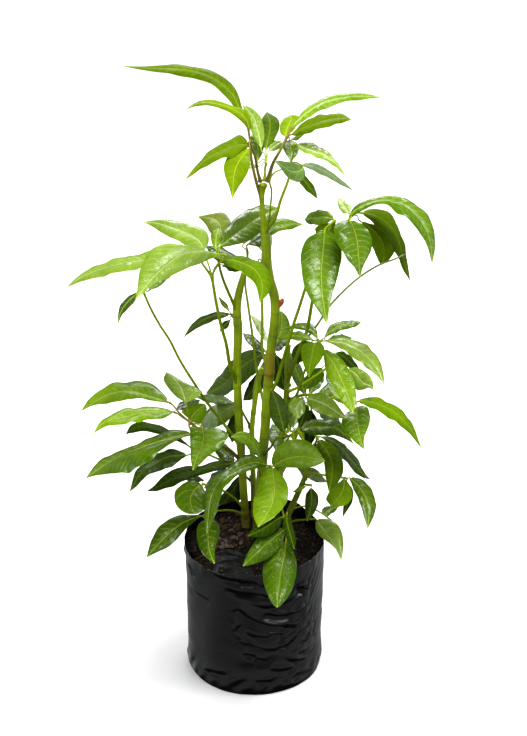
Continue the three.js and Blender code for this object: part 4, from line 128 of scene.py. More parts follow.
  ("L1b", "pale", [-437,22,7037,-541,-1,7077,-734,-53,7136,-943,-136,7143,-1126,-251,7086,-1291,-382,6998,-1438,-520,6894,-1558,-655,6785,-1656,-769,6691],
   [-437,22,7037,-564,-3,7078,-799,-37,7150,-1047,-13,7229,-1298,-28,7240,-1502,-159,7152,-1607,-375,6995,-1632,-589,6830,-1656,-769,6691],
   [-437,22,7037,-532,-54,7043,-704,-199,7040,-881,-336,7012,-1062,-427,6970,-1239,-506,6916,-1411,-585,6852,-1550,-679,6769,-1656,-769,6691]),
  ("L1c", "pale", [-904,400,6864,-1030,449,6844,-1283,536,6797,-1563,617,6723,-1845,695,6643,-2125,765,6546,-2400,825,6428,-2645,868,6295,-2832,890,6152],
   [-904,400,6864,-1039,576,6850,-1304,754,6809,-1595,851,6735,-1887,934,6656,-2175,1000,6558,-2445,996,6436,-2674,956,6298,-2832,890,6152],
   [-904,400,6864,-1022,327,6836,-1263,326,6783,-1532,392,6709,-1805,466,6629,-2076,540,6532,-2356,660,6418,-2616,784,6290,-2832,890,6152]),
  ("L1i", "dark", [-437,538,6662,-419,568,6645,-387,624,6613,-350,684,6580,-307,746,6548,-262,807,6515,-222,867,6483,-189,925,6454,-160,973,6430],
   [-437,538,6662,-417,592,6649,-381,693,6624,-340,795,6598,-297,863,6568,-253,923,6535,-216,955,6498,-186,965,6461,-160,973,6430],
   [-437,538,6662,-422,548,6639,-393,565,6597,-360,591,6554,-316,646,6521,-271,708,6489,-228,793,6462,-192,890,6444,-160,973,6430]),
 ]),
 ("leaf_upper_left_back", [-516,220,6907], [-243,473,5911,-319,380,6164,-419,280,6451,-488,220,6749,-516,220,6907], (26, 19), 'stem_left', [
  ("L1e", "olive", [-554,618,6934,-533,697,6944,-497,845,6965,-486,1013,7006,-508,1182,7047,-578,1341,7070,-675,1479,7049,-772,1599,7014,-858,1699,6981],
   [-554,618,6934,-568,690,6942,-593,823,6958,-621,953,6981,-658,1081,7001,-701,1222,7013,-750,1398,7009,-804,1564,6997,-858,1699,6981],
   [-554,618,6934,-498,702,6946,-401,864,6974,-351,1067,7033,-357,1276,7096,-455,1454,7130,-600,1557,7091,-739,1633,7032,-858,1699,6981]),
  ("L1f", "dusk", [-477,479,6991,-429,569,6999,-338,739,7020,-221,924,7047,-91,1109,7074,44,1292,7097,184,1470,7110,305,1628,7108,388,1758,7098],
   [-477,479,6991,-458,623,7018,-414,879,7073,-323,1123,7122,-195,1329,7157,-56,1523,7185,103,1670,7186,261,1741,7151,388,1758,7098],
   [-477,479,6991,-401,520,6976,-262,615,6962,-121,747,6964,11,912,6982,143,1086,7002,264,1291,7028,349,1528,7061,388,1758,7098]),
  ("L1g", "midlt", [-552,514,6928,-554,552,6936,-557,622,6950,-557,700,6968,-555,779,6991,-551,858,7013,-539,936,7031,-525,1004,7040,-519,1056,7038],
   [-552,514,6928,-568,557,6935,-598,638,6948,-619,725,6967,-627,813,6990,-629,898,7013,-601,969,7033,-560,1018,7039,-519,1056,7038],
   [-552,514,6928,-539,550,6935,-516,617,6948,-495,689,6964,-484,763,6984,-474,838,7005,-477,918,7024,-490,997,7037,-519,1056,7038]),
  ("L1h", "fern", [-486,193,6903,-411,143,6918,-272,49,6943,-130,-63,6946,-5,-188,6923,88,-331,6864,133,-485,6784,127,-630,6703,100,-753,6637],
   [-486,193,6903,-400,210,6929,-233,175,6965,-54,67,6970,110,-69,6946,225,-250,6881,248,-470,6788,194,-647,6701,100,-753,6637],
   [-486,193,6903,-431,100,6901,-328,-61,6900,-210,-183,6895,-100,-293,6873,-6,-395,6825,60,-509,6759,86,-635,6692,100,-753,6637]),
 ]),
 ("leaf_small_left", [-1625,346,6293], [-205,500,3598,-465,580,3962,-756,605,4370,-950,583,4727,-1125,548,5087,-1267,500,5448,-1408,453,5719,-1546,394,6043,-1625,346,6293], (26, 17), 'stem_left', [
  ("L2a", "dark", [-1710,301,6329,-1733,267,6315,-1778,204,6289,-1831,134,6259,-1881,64,6226,-1923,-9,6188,-1953,-84,6146,-1967,-157,6102,-1977,-219,6063],
   [-1710,301,6329,-1749,289,6318,-1820,262,6297,-1883,203,6267,-1934,127,6234,-1965,34,6193,-1975,-64,6149,-1976,-149,6103,-1977,-219,6063],
   [-1710,301,6329,-1718,246,6312,-1737,149,6281,-1779,69,6249,-1829,4,6216,-1881,-50,6181,-1930,-103,6143,-1958,-164,6100,-1977,-219,6063]),
  ("L2b", "mid", [-1572,658,6205,-1548,721,6207,-1503,838,6212,-1451,967,6223,-1397,1097,6236,-1344,1228,6250,-1289,1358,6263,-1241,1476,6270,-1206,1576,6275],
   [-1572,658,6205,-1564,751,6209,-1546,921,6217,-1507,1073,6230,-1458,1213,6244,-1405,1344,6259,-1343,1459,6271,-1272,1533,6275,-1206,1576,6275],
   [-1572,658,6205,-1532,689,6206,-1460,750,6209,-1395,855,6219,-1336,974,6231,-1282,1105,6244,-1235,1251,6258,-1210,1417,6267,-1206,1576,6275]),
  ("L2c", "mid", [-1646,653,6223,-1643,718,6226,-1637,839,6232,-1630,973,6245,-1617,1110,6264,-1608,1247,6283,-1606,1383,6301,-1606,1506,6311,-1610,1607,6313],
   [-1646,653,6223,-1665,721,6229,-1700,849,6241,-1721,984,6257,-1718,1120,6276,-1712,1256,6296,-1686,1386,6310,-1650,1506,6316,-1610,1607,6313],
   [-1646,653,6223,-1621,711,6225,-1574,820,6228,-1539,948,6240,-1514,1084,6258,-1503,1221,6277,-1525,1367,6297,-1562,1500,6310,-1610,1607,6313]),
 ]),
 ("leaf_dark_left", [-325,570,5832], [-239,477,5752,-325,570,5832], (20, 16), 'stem_left', [
  ("L3", "dark", [-371,606,5832,-422,638,5810,-523,699,5775,-636,758,5722,-744,807,5651,-848,852,5569,-941,890,5475,-1017,920,5376,-1076,943,5289],
   [-371,606,5832,-430,699,5810,-541,824,5776,-660,888,5723,-773,931,5652,-880,963,5570,-967,967,5475,-1029,954,5377,-1076,943,5289],
   [-371,606,5832,-414,584,5806,-506,589,5767,-613,643,5714,-716,699,5643,-817,755,5562,-916,823,5469,-1005,891,5374,-1076,943,5289]),
  ("L3b", "mid", [-372,655,5859,-382,675,5867,-401,714,5880,-421,755,5895,-446,796,5907,-470,837,5920,-491,878,5935,-512,917,5949,-529,949,5960],
   [-372,655,5859,-386,671,5866,-413,700,5877,-443,732,5890,-471,768,5901,-490,814,5915,-504,864,5932,-518,910,5947,-529,949,5960],
   [-372,655,5859,-377,682,5867,-388,733,5881,-400,787,5897,-420,834,5909,-449,867,5922,-479,897,5936,-506,926,5949,-529,949,5960]),
  ("L3c", "dark", [-357,621,5725,-369,632,5708,-390,653,5676,-412,676,5642,-434,699,5606,-455,720,5569,-477,742,5532,-498,762,5497,-515,779,5468],
   [-357,621,5725,-375,640,5711,-408,675,5685,-443,714,5656,-470,742,5623,-483,753,5581,-495,762,5540,-506,771,5501,-515,779,5468],
   [-357,621,5725,-362,626,5704,-372,637,5666,-382,648,5624,-398,666,5585,-428,695,5553,-460,726,5521,-490,754,5492,-515,779,5468]),
 ]),
 ("leaf_upper_back", [-98,850,6580], [193,431,4232,96,580,4591,-25,660,5540,-85,740,5920,-129,800,6274,-98,850,6580], (24, 16), 'stem_main', [
  ("L4a", "mid", [-70,1220,6721,-21,1288,6716,70,1420,6720,167,1578,6757,269,1736,6792,399,1873,6785,538,1993,6743,664,2102,6701,771,2194,6663],
   [-70,1220,6721,-36,1379,6722,34,1645,6735,134,1822,6774,249,1963,6809,387,2085,6802,532,2168,6758,662,2187,6708,771,2194,6663],
   [-70,1220,6721,-7,1203,6708,105,1212,6700,200,1353,6734,288,1525,6769,410,1676,6763,544,1830,6725,666,2024,6691,771,2194,6663]),
  ("L4b", "dark", [-150,1534,6609,-132,1608,6613,-98,1747,6619,-57,1897,6628,-14,2052,6644,27,2207,6663,63,2361,6679,97,2502,6690,126,2621,6699],
   [-150,1534,6609,-151,1631,6615,-153,1813,6626,-137,1996,6638,-97,2153,6656,-55,2307,6674,0,2438,6688,68,2538,6694,126,2621,6699],
   [-150,1534,6609,-113,1592,6608,-45,1700,6605,22,1826,6606,68,1979,6622,109,2136,6641,126,2305,6662,126,2476,6682,126,2621,6699]),
  ("L4c", "dark", [-210,1275,6335,-242,1342,6325,-300,1469,6311,-374,1612,6308,-459,1753,6300,-545,1893,6292,-626,2033,6282,-700,2161,6270,-762,2269,6259],
   [-210,1275,6335,-228,1401,6330,-262,1626,6325,-324,1801,6326,-410,1944,6318,-498,2084,6311,-592,2175,6297,-684,2227,6277,-762,2269,6259],
   [-210,1275,6335,-255,1285,6319,-338,1320,6294,-423,1433,6287,-508,1572,6278,-592,1713,6270,-661,1898,6265,-716,2099,6262,-762,2269,6259]),
 ]),
 ("leaf_upper_back_2", [127,1250,6412], [241,410,4984,135,620,5188,127,780,5484,127,960,5905,127,1100,6177,127,1250,6412], (28, 18), 'stem_main', [
  ("P1", "blue", [127,1888,6348,114,1970,6356,88,2123,6372,55,2291,6395,21,2461,6422,-17,2631,6448,-56,2797,6468,-90,2952,6487,-118,3083,6504],
   [127,1888,6348,91,1948,6356,26,2063,6372,-29,2207,6394,-74,2363,6421,-117,2528,6446,-126,2726,6467,-121,2919,6486,-118,3083,6504],
   [127,1888,6348,136,1988,6357,151,2174,6376,140,2362,6401,116,2544,6430,83,2718,6457,13,2857,6475,-58,2980,6490,-118,3083,6504]),
  ("P2", "mid", [189,1622,6222,182,1663,6171,168,1738,6074,155,1818,5966,144,1893,5849,133,1967,5731,129,2044,5617,128,2117,5517,126,2180,5432],
   [189,1622,6222,160,1666,6173,107,1747,6081,63,1829,5976,49,1900,5859,38,1970,5740,54,2045,5625,92,2118,5520,126,2180,5432],
   [189,1622,6222,203,1664,6166,230,1742,6062,247,1824,5948,239,1904,5831,229,1983,5714,205,2056,5604,163,2123,5511,126,2180,5432]),
  ("P3", "dark", [18,1705,6221,-16,1765,6197,-79,1876,6152,-153,1993,6099,-235,2108,6044,-318,2224,5987,-394,2334,5921,-461,2437,5859,-519,2524,5808],
   [18,1705,6221,-18,1817,6199,-85,2025,6159,-163,2208,6109,-250,2328,6054,-336,2440,5998,-407,2493,5928,-468,2510,5863,-519,2524,5808],
   [18,1705,6221,-15,1719,6192,-75,1745,6138,-143,1804,6079,-222,1917,6023,-301,2036,5966,-381,2196,5905,-456,2374,5852,-519,2524,5808]),
  ("P4", "blue", [205,1851,6228,201,1922,6227,194,2054,6225,197,2199,6228,209,2346,6236,220,2493,6243,237,2638,6247,255,2773,6249,271,2886,6252],
   [205,1851,6228,183,1920,6227,145,2049,6226,133,2197,6230,144,2354,6238,157,2509,6247,193,2652,6250,235,2779,6251,271,2886,6252],
   [205,1851,6228,218,1924,6226,243,2061,6222,261,2203,6225,273,2341,6232,283,2480,6239,281,2627,6244,276,2767,6248,271,2886,6252]),
 ]),
 ("leaf_right_a", [1162,19,7565], [212,423,4536,341,354,4791,422,296,5109,517,197,5558,588,125,5871,687,47,6232,757,7,6490,882,-19,6944,1050,-5,7343,1162,19,7565], (30, 19), 'stem_main', [
  ("R1a", "gloss", [1028,-159,7482,1016,-255,7422,995,-433,7311,975,-624,7192,962,-814,7075,965,-1003,6960,981,-1191,6847,1004,-1364,6744,1026,-1510,6659],
   [1028,-159,7482,917,-209,7480,753,-353,7416,683,-564,7280,697,-779,7135,728,-994,6991,822,-1192,6861,934,-1364,6752,1026,-1510,6659],
   [1028,-159,7482,1118,-216,7478,1224,-382,7398,1246,-589,7270,1201,-789,7138,1143,-983,7008,1086,-1175,6880,1048,-1356,6760,1026,-1510,6659]),
  ("R1f", "mid", [1150,87,7569,1135,140,7559,1098,237,7536,1036,337,7502,971,435,7464,904,531,7422,839,625,7375,790,711,7331,765,786,7296],
   [1150,87,7569,1147,181,7572,1122,340,7568,1058,475,7544,987,592,7510,914,684,7467,845,753,7413,795,785,7353,765,786,7296],
   [1150,87,7569,1123,97,7548,1073,128,7507,1014,191,7464,954,269,7421,893,370,7381,834,490,7341,785,634,7311,765,786,7296]),
  ("R1g", "lime", [1158,236,7433,1137,267,7412,1099,324,7373,1059,383,7327,1026,435,7265,998,484,7198,987,534,7133,979,582,7076,972,623,7028],
   [1158,236,7433,1127,276,7421,1070,351,7397,1010,427,7367,960,480,7309,919,526,7243,930,564,7166,952,596,7091,972,623,7028],
   [1158,236,7433,1147,255,7405,1127,290,7351,1108,328,7291,1092,377,7225,1075,428,7159,1045,493,7104,1005,563,7063,972,623,7028]),
  ("R1g2", "lime", [1190,312,7404,1187,342,7370,1180,398,7308,1180,456,7237,1191,510,7160,1202,565,7081,1213,621,7008,1222,676,6945,1230,723,6891],
   [1190,312,7404,1171,347,7370,1135,413,7309,1115,474,7237,1121,523,7158,1130,570,7079,1156,624,7006,1196,677,6944,1230,723,6891],
   [1190,312,7404,1203,335,7371,1226,378,7310,1246,430,7240,1259,490,7164,1273,551,7087,1270,613,7013,1249,672,6947,1230,723,6891]),
 ]),
 ("leaf_right_b", [1410,-129,7714], [513,639,4630,601,520,4999,716,365,5428,787,293,5662,828,246,5897,881,174,6256,1005,82,6696,1207,-56,7302,1410,-129,7714], (32, 20), 'stem_right', [
  ("R1b", "sheen", [1377,-250,7670,1398,-326,7645,1434,-467,7597,1457,-620,7541,1470,-775,7485,1471,-929,7428,1472,-1083,7372,1473,-1225,7320,1474,-1346,7278],
   [1377,-250,7670,1302,-288,7706,1187,-418,7708,1150,-604,7636,1194,-778,7553,1264,-937,7474,1349,-1083,7403,1427,-1218,7339,1474,-1346,7278],
   [1377,-250,7670,1447,-276,7679,1558,-360,7662,1637,-502,7601,1662,-673,7523,1634,-854,7449,1560,-1035,7390,1500,-1203,7333,1474,-1346,7278]),
  ("R1c", "gloss", [1381,-141,7704,1471,-127,7791,1674,-124,7903,1916,-158,7949,2145,-243,7891,2330,-362,7764,2452,-505,7591,2500,-648,7406,2513,-772,7245],
   [1381,-141,7704,1443,-38,7799,1652,-25,7912,1931,0,7963,2209,-12,7914,2433,-150,7785,2553,-373,7604,2561,-596,7412,2513,-772,7245],
   [1381,-141,7704,1484,-222,7786,1672,-223,7897,1881,-282,7941,2059,-476,7878,2241,-549,7754,2385,-616,7586,2473,-692,7404,2513,-772,7245]),
  ("R1d", "moss", [1576,38,7680,1650,69,7665,1800,110,7600,1950,127,7477,2060,124,7313,2135,112,7131,2188,96,6941,2241,82,6766,2293,72,6621],
   [1576,38,7680,1670,196,7676,1855,366,7621,2021,376,7495,2135,337,7326,2204,278,7139,2243,212,6946,2271,141,6768,2293,72,6621],
   [1576,38,7680,1632,-49,7651,1747,-129,7574,1882,-104,7454,1986,-73,7295,2068,-41,7118,2135,-10,6933,2212,29,6763,2293,72,6621]),
  ("R1e", "lime", [1572,144,7501,1622,165,7462,1710,203,7387,1795,238,7292,1868,265,7184,1917,286,7060,1924,304,6933,1908,325,6823,1882,349,6742],
   [1572,144,7501,1600,154,7454,1645,172,7364,1682,192,7260,1719,217,7152,1761,252,7042,1804,291,6930,1846,326,6827,1882,349,6742],
   [1572,144,7501,1644,183,7467,1777,256,7402,1911,320,7311,2021,359,7197,2078,365,7059,2047,351,6921,1972,342,6811,1882,349,6742]),
  ("R1h", "pale", [1372,-27,7705,1368,10,7702,1359,79,7696,1345,157,7698,1320,237,7705,1297,318,7714,1277,399,7721,1260,473,7725,1251,535,7729],
   [1372,-27,7705,1350,-4,7696,1310,40,7680,1278,106,7677,1256,190,7686,1240,277,7696,1235,371,7709,1239,460,7720,1251,535,7729],
   [1372,-27,7705,1385,24,7708,1408,117,7713,1412,206,7720,1385,283,7725,1354,359,7731,1318,426,7733,1282,485,7731,1251,535,7729]),
 ]),
 ("petiole_bare", [2186,-135,7117], [511,628,4858,663,647,5175,857,618,5493,973,539,5713,1101,435,5992,1356,278,6371,1566,162,6630,1857,18,6897,2077,-87,7035,2186,-135,7117], (22, 13), 'stem_right', [
 ]),
 ("leaf_mid_right", [973,-12,5657], [485,659,4177,620,473,4455,692,339,4713,747,213,4981,831,77,5283,916,3,5535,973,-12,5657], (24, 17), 'stem_right', [
  ("R2a", "mid", [1065,107,5683,1093,152,5695,1147,235,5718,1220,321,5735,1303,399,5736,1393,470,5722,1485,539,5704,1565,604,5689,1630,658,5675],
   [1065,107,5683,1083,182,5697,1119,317,5723,1188,435,5741,1274,520,5742,1372,579,5728,1470,653,5710,1558,673,5692,1630,658,5675],
   [1065,107,5683,1104,123,5693,1175,155,5713,1251,209,5728,1331,281,5729,1415,363,5716,1500,427,5698,1572,535,5685,1630,658,5675]),
  ("R2b", "pale", [1090,-48,5691,1168,-79,5699,1311,-140,5708,1454,-221,5684,1585,-314,5638,1699,-416,5573,1789,-528,5488,1854,-636,5400,1902,-730,5322],
   [1090,-48,5691,1177,-20,5706,1338,-5,5724,1513,-36,5707,1670,-116,5663,1789,-258,5593,1864,-425,5502,1896,-589,5406,1902,-730,5322],
   [1090,-48,5691,1155,-119,5688,1275,-239,5679,1396,-349,5645,1507,-455,5592,1621,-537,5532,1736,-600,5463,1834,-663,5390,1902,-730,5322]),
  ("R2c", "midlt", [1044,-143,5588,1086,-209,5556,1161,-332,5495,1226,-468,5422,1284,-606,5346,1336,-744,5269,1384,-883,5191,1420,-1012,5117,1439,-1123,5053],
   [1044,-143,5588,1043,-227,5546,1056,-380,5470,1085,-536,5387,1136,-675,5311,1212,-805,5239,1282,-937,5165,1359,-1048,5101,1439,-1123,5053],
   [1044,-143,5588,1122,-160,5579,1249,-239,5541,1350,-374,5473,1422,-529,5393,1470,-692,5306,1486,-858,5215,1473,-1007,5127,1439,-1123,5053]),
  ("R2d", "fern", [911,-89,5677,910,-129,5699,899,-213,5723,873,-331,5693,855,-454,5653,838,-575,5614,820,-694,5582,810,-806,5550,805,-901,5521],
   [911,-89,5677,862,-128,5702,776,-205,5733,714,-315,5712,707,-439,5670,724,-565,5627,750,-690,5587,779,-805,5551,805,-901,5521],
   [911,-89,5677,958,-133,5698,1022,-227,5715,1031,-354,5678,1002,-475,5638,952,-591,5604,889,-702,5578,840,-808,5549,805,-901,5521]),
  ("R2e", "midlt", [883,-31,5699,847,16,5694,781,103,5684,702,192,5661,618,276,5629,535,356,5590,452,429,5537,375,496,5485,309,552,5440],
   [883,-31,5699,852,42,5699,793,177,5697,715,295,5680,627,376,5648,539,427,5603,454,474,5545,376,516,5488,309,552,5440],
   [883,-31,5699,843,-8,5688,769,37,5667,688,99,5638,609,185,5607,531,291,5574,450,389,5528,374,477,5480,309,552,5440]),
  ("R2f", "mid", [950,192,5626,935,254,5639,899,368,5660,833,484,5669,750,585,5648,661,674,5602,571,759,5547,489,835,5492,419,900,5445],
   [950,192,5626,951,277,5642,936,430,5667,873,578,5678,781,683,5657,682,757,5610,584,814,5552,495,861,5495,419,900,5445],
   [950,192,5626,919,227,5638,861,298,5657,793,379,5665,719,477,5644,639,584,5599,559,698,5545,483,807,5491,419,900,5445]),
  ("R2g", "dusk", [865,334,5493,841,358,5468,798,402,5421,755,441,5354,714,477,5280,688,508,5197,665,540,5117,654,574,5049,648,602,4992],
   [865,334,5493,827,374,5479,758,445,5450,692,492,5392,631,529,5324,601,551,5238,593,566,5146,619,585,5063,648,602,4992],
   [865,334,5493,855,343,5457,837,361,5391,817,393,5314,797,428,5235,776,468,5155,738,517,5086,689,564,5035,648,602,4992]),
  ("R2i", "dusk", [1123,404,5493,1149,447,5478,1196,527,5451,1249,613,5421,1308,698,5388,1367,781,5353,1423,862,5312,1475,937,5275,1519,1001,5244],
   [1123,404,5493,1148,477,5478,1194,614,5451,1247,738,5420,1308,826,5387,1368,907,5352,1425,952,5312,1476,979,5275,1519,1001,5244],
   [1123,404,5493,1150,421,5477,1198,455,5446,1252,508,5413,1309,589,5379,1366,675,5345,1423,786,5306,1475,902,5272,1519,1001,5244]),
 ]),
 ("leaf_right_curled", [1230,950,4856], [505,646,4486,717,780,4524,935,860,4640,1106,920,4749,1230,950,4856], (24, 17), 'stem_right', [
  ("R3", "pale", [1451,686,4865,1481,649,4869,1535,577,4867,1587,491,4849,1630,400,4821,1687,317,4810,1746,245,4819,1783,175,4823,1805,103,4799],
   [1451,686,4865,1491,671,4887,1564,634,4915,1641,575,4917,1708,503,4902,1762,410,4882,1800,298,4858,1809,188,4830,1805,103,4799],
   [1451,686,4865,1471,630,4848,1508,528,4816,1533,419,4775,1553,313,4732,1613,240,4731,1693,202,4775,1757,166,4813,1805,103,4799]),
  ("R2h", "deep", [1283,1157,4911,1313,1186,4888,1368,1238,4842,1426,1285,4774,1486,1331,4702,1539,1373,4625,1595,1418,4552,1645,1460,4485,1688,1496,4429],
   [1283,1157,4911,1322,1219,4893,1394,1326,4856,1464,1392,4792,1529,1440,4721,1580,1471,4642,1625,1486,4564,1659,1492,4491,1688,1496,4429],
   [1283,1157,4911,1304,1158,4881,1344,1163,4822,1390,1193,4749,1443,1238,4676,1500,1290,4601,1565,1360,4535,1631,1433,4477,1688,1496,4429]),
  ("R3b", "mid", [1176,736,4858,1179,695,4860,1184,620,4863,1190,539,4864,1192,452,4855,1193,365,4845,1198,280,4841,1200,206,4844,1201,142,4847],
   [1176,736,4858,1161,691,4857,1133,608,4857,1111,518,4855,1111,431,4846,1115,345,4836,1138,268,4835,1172,200,4841,1201,142,4847],
   [1176,736,4858,1197,706,4858,1236,651,4860,1271,587,4860,1275,502,4850,1272,411,4840,1259,314,4836,1228,221,4842,1201,142,4847]),
  ("R3c", "mid", [1069,1161,4648,1059,1193,4612,1041,1251,4541,1003,1309,4456,950,1367,4371,905,1424,4283,867,1481,4195,831,1534,4115,801,1579,4047],
   [1069,1161,4648,1035,1217,4620,974,1313,4562,918,1383,4481,864,1447,4398,826,1500,4308,816,1531,4212,808,1557,4123,801,1579,4047],
   [1069,1161,4648,1083,1179,4599,1108,1216,4508,1088,1268,4415,1037,1321,4328,984,1379,4242,918,1451,4169,855,1520,4103,801,1579,4047]),
 ]),
 ("leaf_right_low", [1532,4,4646], [494,653,4312,683,571,4457,983,339,4593,1279,116,4640,1532,4,4646], (26, 18), 'stem_right', [
  ("R4a", "fern", [1593,30,4650,1683,55,4636,1846,92,4587,2013,115,4502,2166,125,4389,2298,123,4253,2411,112,4099,2499,96,3944,2569,82,3811],
   [1593,30,4650,1681,161,4634,1862,288,4584,2046,306,4500,2218,310,4387,2363,286,4251,2463,221,4097,2523,146,3943,2569,82,3811],
   [1593,30,4650,1659,-43,4636,1799,-83,4587,1953,-77,4502,2101,-50,4389,2245,-6,4253,2378,38,4099,2486,68,3944,2569,82,3811]),
  ("R4b", "mid", [1557,-111,4621,1554,-177,4605,1549,-298,4575,1551,-429,4543,1558,-559,4513,1568,-688,4483,1585,-817,4456,1602,-936,4432,1619,-1036,4412],
   [1557,-111,4621,1494,-165,4628,1395,-283,4621,1325,-433,4584,1325,-584,4534,1383,-719,4491,1468,-837,4459,1550,-945,4433,1619,-1036,4412],
   [1557,-111,4621,1610,-129,4653,1689,-199,4673,1729,-338,4632,1723,-487,4581,1682,-634,4535,1632,-780,4492,1616,-918,4450,1619,-1036,4412]),
  ("R4e", "pale", [1472,303,4526,1452,341,4509,1413,413,4480,1365,499,4467,1313,588,4457,1268,680,4454,1228,772,4453,1191,858,4450,1158,930,4448],
   [1472,303,4526,1444,305,4503,1391,316,4463,1332,384,4445,1273,473,4435,1228,576,4433,1202,703,4439,1178,826,4444,1158,930,4448],
   [1472,303,4526,1459,373,4517,1435,501,4502,1398,604,4494,1353,692,4486,1307,773,4481,1254,835,4471,1202,886,4459,1158,930,4448]),
 ]),
 ("leaf_right_wavy", [728,-100,4768], [466,666,3998,573,340,4264,658,60,4549,728,-100,4768], (19, 14), 'stem_right', [
  ("R4c", "pale", [802,-153,4795,826,-188,4807,889,-260,4819,979,-341,4823,1073,-426,4818,1159,-515,4806,1237,-607,4789,1310,-689,4779,1375,-755,4776],
   [802,-153,4795,841,-153,4838,929,-177,4894,1035,-238,4917,1128,-331,4906,1205,-438,4878,1266,-554,4837,1322,-663,4802,1375,-755,4776],
   [802,-153,4795,810,-226,4777,849,-348,4748,924,-451,4734,1017,-529,4735,1112,-599,4738,1208,-664,4743,1298,-717,4757,1375,-755,4776]),
  ("R4d", "pale", [757,-172,4771,740,-204,4788,710,-267,4814,679,-348,4813,648,-435,4803,636,-524,4788,646,-609,4780,659,-686,4776,671,-751,4774],
   [757,-172,4771,721,-184,4800,657,-213,4846,593,-285,4843,540,-372,4823,528,-472,4797,573,-577,4783,625,-672,4777,671,-751,4774],
   [757,-172,4771,759,-224,4775,763,-319,4782,764,-410,4783,756,-496,4782,744,-573,4778,718,-639,4776,692,-700,4775,671,-751,4774]),
  ("R4f", "dark", [780,117,4554,785,147,4513,789,200,4437,778,255,4348,768,307,4256,753,361,4166,735,416,4079,725,467,3997,718,510,3929],
   [780,117,4554,767,146,4512,741,202,4434,715,268,4345,701,330,4254,691,383,4164,689,430,4077,704,474,3997,718,510,3929],
   [780,117,4554,802,144,4516,837,190,4444,840,230,4357,835,273,4265,815,328,4174,780,394,4085,746,457,4000,718,510,3929]),
 ]),
 ("leaf_right_dark", [654,436,3916], [430,678,3673,532,530,3776,654,436,3916], (22, 16), 'stem_right', [
  ("R5", "dark", [716,429,3937,767,454,3944,875,497,3950,1009,535,3938,1147,567,3917,1280,592,3878,1389,596,3799,1479,591,3706,1552,584,3622],
   [716,429,3937,764,517,3957,873,646,3981,1022,715,3977,1176,746,3956,1320,748,3913,1417,690,3819,1492,631,3715,1552,584,3622],
   [716,429,3937,771,385,3934,876,337,3926,996,341,3908,1118,376,3887,1240,424,3852,1362,494,3782,1467,547,3699,1552,584,3622]),
  ("R5b", "dark", [565,666,3809,555,734,3815,536,860,3827,502,999,3847,454,1139,3869,398,1278,3887,340,1415,3902,288,1530,3892,255,1625,3878],
   [565,666,3809,526,718,3807,456,817,3805,390,935,3813,326,1056,3823,274,1189,3836,242,1338,3856,234,1491,3869,255,1625,3878],
   [565,666,3809,583,744,3825,615,889,3857,613,1044,3892,582,1199,3928,521,1343,3950,438,1472,3957,342,1559,3921,255,1625,3878]),
  ("R5c", "dusk", [614,773,3805,615,825,3804,617,923,3803,624,1030,3804,636,1140,3812,649,1250,3820,670,1355,3817,681,1449,3808,690,1529,3801],
   [614,773,3805,596,833,3802,563,944,3797,540,1066,3796,540,1186,3805,546,1302,3814,590,1392,3811,644,1466,3806,690,1529,3801],
   [614,773,3805,633,821,3805,670,910,3803,708,1007,3804,732,1110,3810,752,1215,3818,750,1330,3816,718,1438,3808,690,1529,3801]),
 ]),
 ("shoot_young", [598,-45,4159], [413,683,3511,497,198,3869,598,-45,4159], (16, 12), 'stem_right', [
  ("S1", "lime", [598,-46,4176,599,-56,4170,600,-73,4159,601,-92,4146,603,-111,4134,609,-129,4122,610,-147,4111,611,-164,4101,612,-178,4093],
   [598,-46,4176,592,-56,4170,580,-73,4157,567,-92,4143,557,-110,4130,566,-128,4119,583,-147,4109,599,-164,4100,612,-178,4093],
   [598,-46,4176,606,-56,4171,620,-74,4161,634,-94,4150,649,-113,4139,651,-131,4127,637,-148,4114,624,-164,4102,612,-178,4093]),
  ("S2", "lime", [673,-83,4213,681,-95,4209,696,-117,4201,713,-141,4192,727,-166,4183,735,-192,4170,744,-218,4158,753,-242,4147,761,-262,4138],
   [673,-83,4213,677,-97,4206,683,-122,4194,690,-149,4180,696,-176,4166,707,-202,4155,726,-224,4148,745,-244,4143,761,-262,4138],
   [673,-83,4213,686,-93,4212,710,-112,4208,736,-133,4204,758,-154,4199,762,-182,4184,762,-211,4167,762,-238,4152,761,-262,4138]),
  ("S3", "lime", [552,-72,4207,547,-77,4211,537,-87,4218,526,-99,4222,517,-115,4218,506,-131,4215,495,-146,4214,484,-161,4212,475,-173,4210],
   [552,-72,4207,546,-72,4215,533,-73,4229,521,-77,4240,511,-95,4235,501,-116,4228,492,-137,4221,483,-156,4215,475,-173,4210],
   [552,-72,4207,548,-80,4206,540,-96,4204,531,-113,4201,523,-128,4198,511,-141,4200,498,-153,4204,485,-163,4207,475,-173,4210]),
 ]),
 ("leaf_low_left", [-961,-106,4363], [-191,500,3328,-340,377,3576,-521,214,3808,-743,45,4075,-961,-106,4363], (30, 22), 'stem_left', [
  ("G1a", "midlt", [-1319,184,4553,-1414,231,4564,-1593,319,4584,-1789,408,4597,-1991,482,4578,-2192,533,4511,-2383,565,4409,-2548,584,4289,-2684,596,4182],
   [-1319,184,4553,-1367,361,4581,-1525,609,4624,-1750,743,4644,-1988,784,4621,-2221,797,4549,-2432,773,4437,-2588,700,4305,-2684,596,4182],
   [-1319,184,4553,-1413,191,4557,-1589,226,4569,-1779,282,4575,-1968,300,4547,-2156,334,4478,-2359,456,4390,-2544,557,4285,-2684,596,4182]),
  ("G1b", "midlt", [-1229,-98,4530,-1300,-115,4538,-1456,-149,4548,-1634,-183,4567,-1810,-231,4555,-1985,-282,4537,-2154,-336,4513,-2290,-405,4452,-2379,-477,4375],
   [-1229,-98,4530,-1308,0,4537,-1480,53,4547,-1668,9,4564,-1858,-10,4550,-2041,-67,4532,-2202,-198,4508,-2321,-340,4449,-2379,-477,4375],
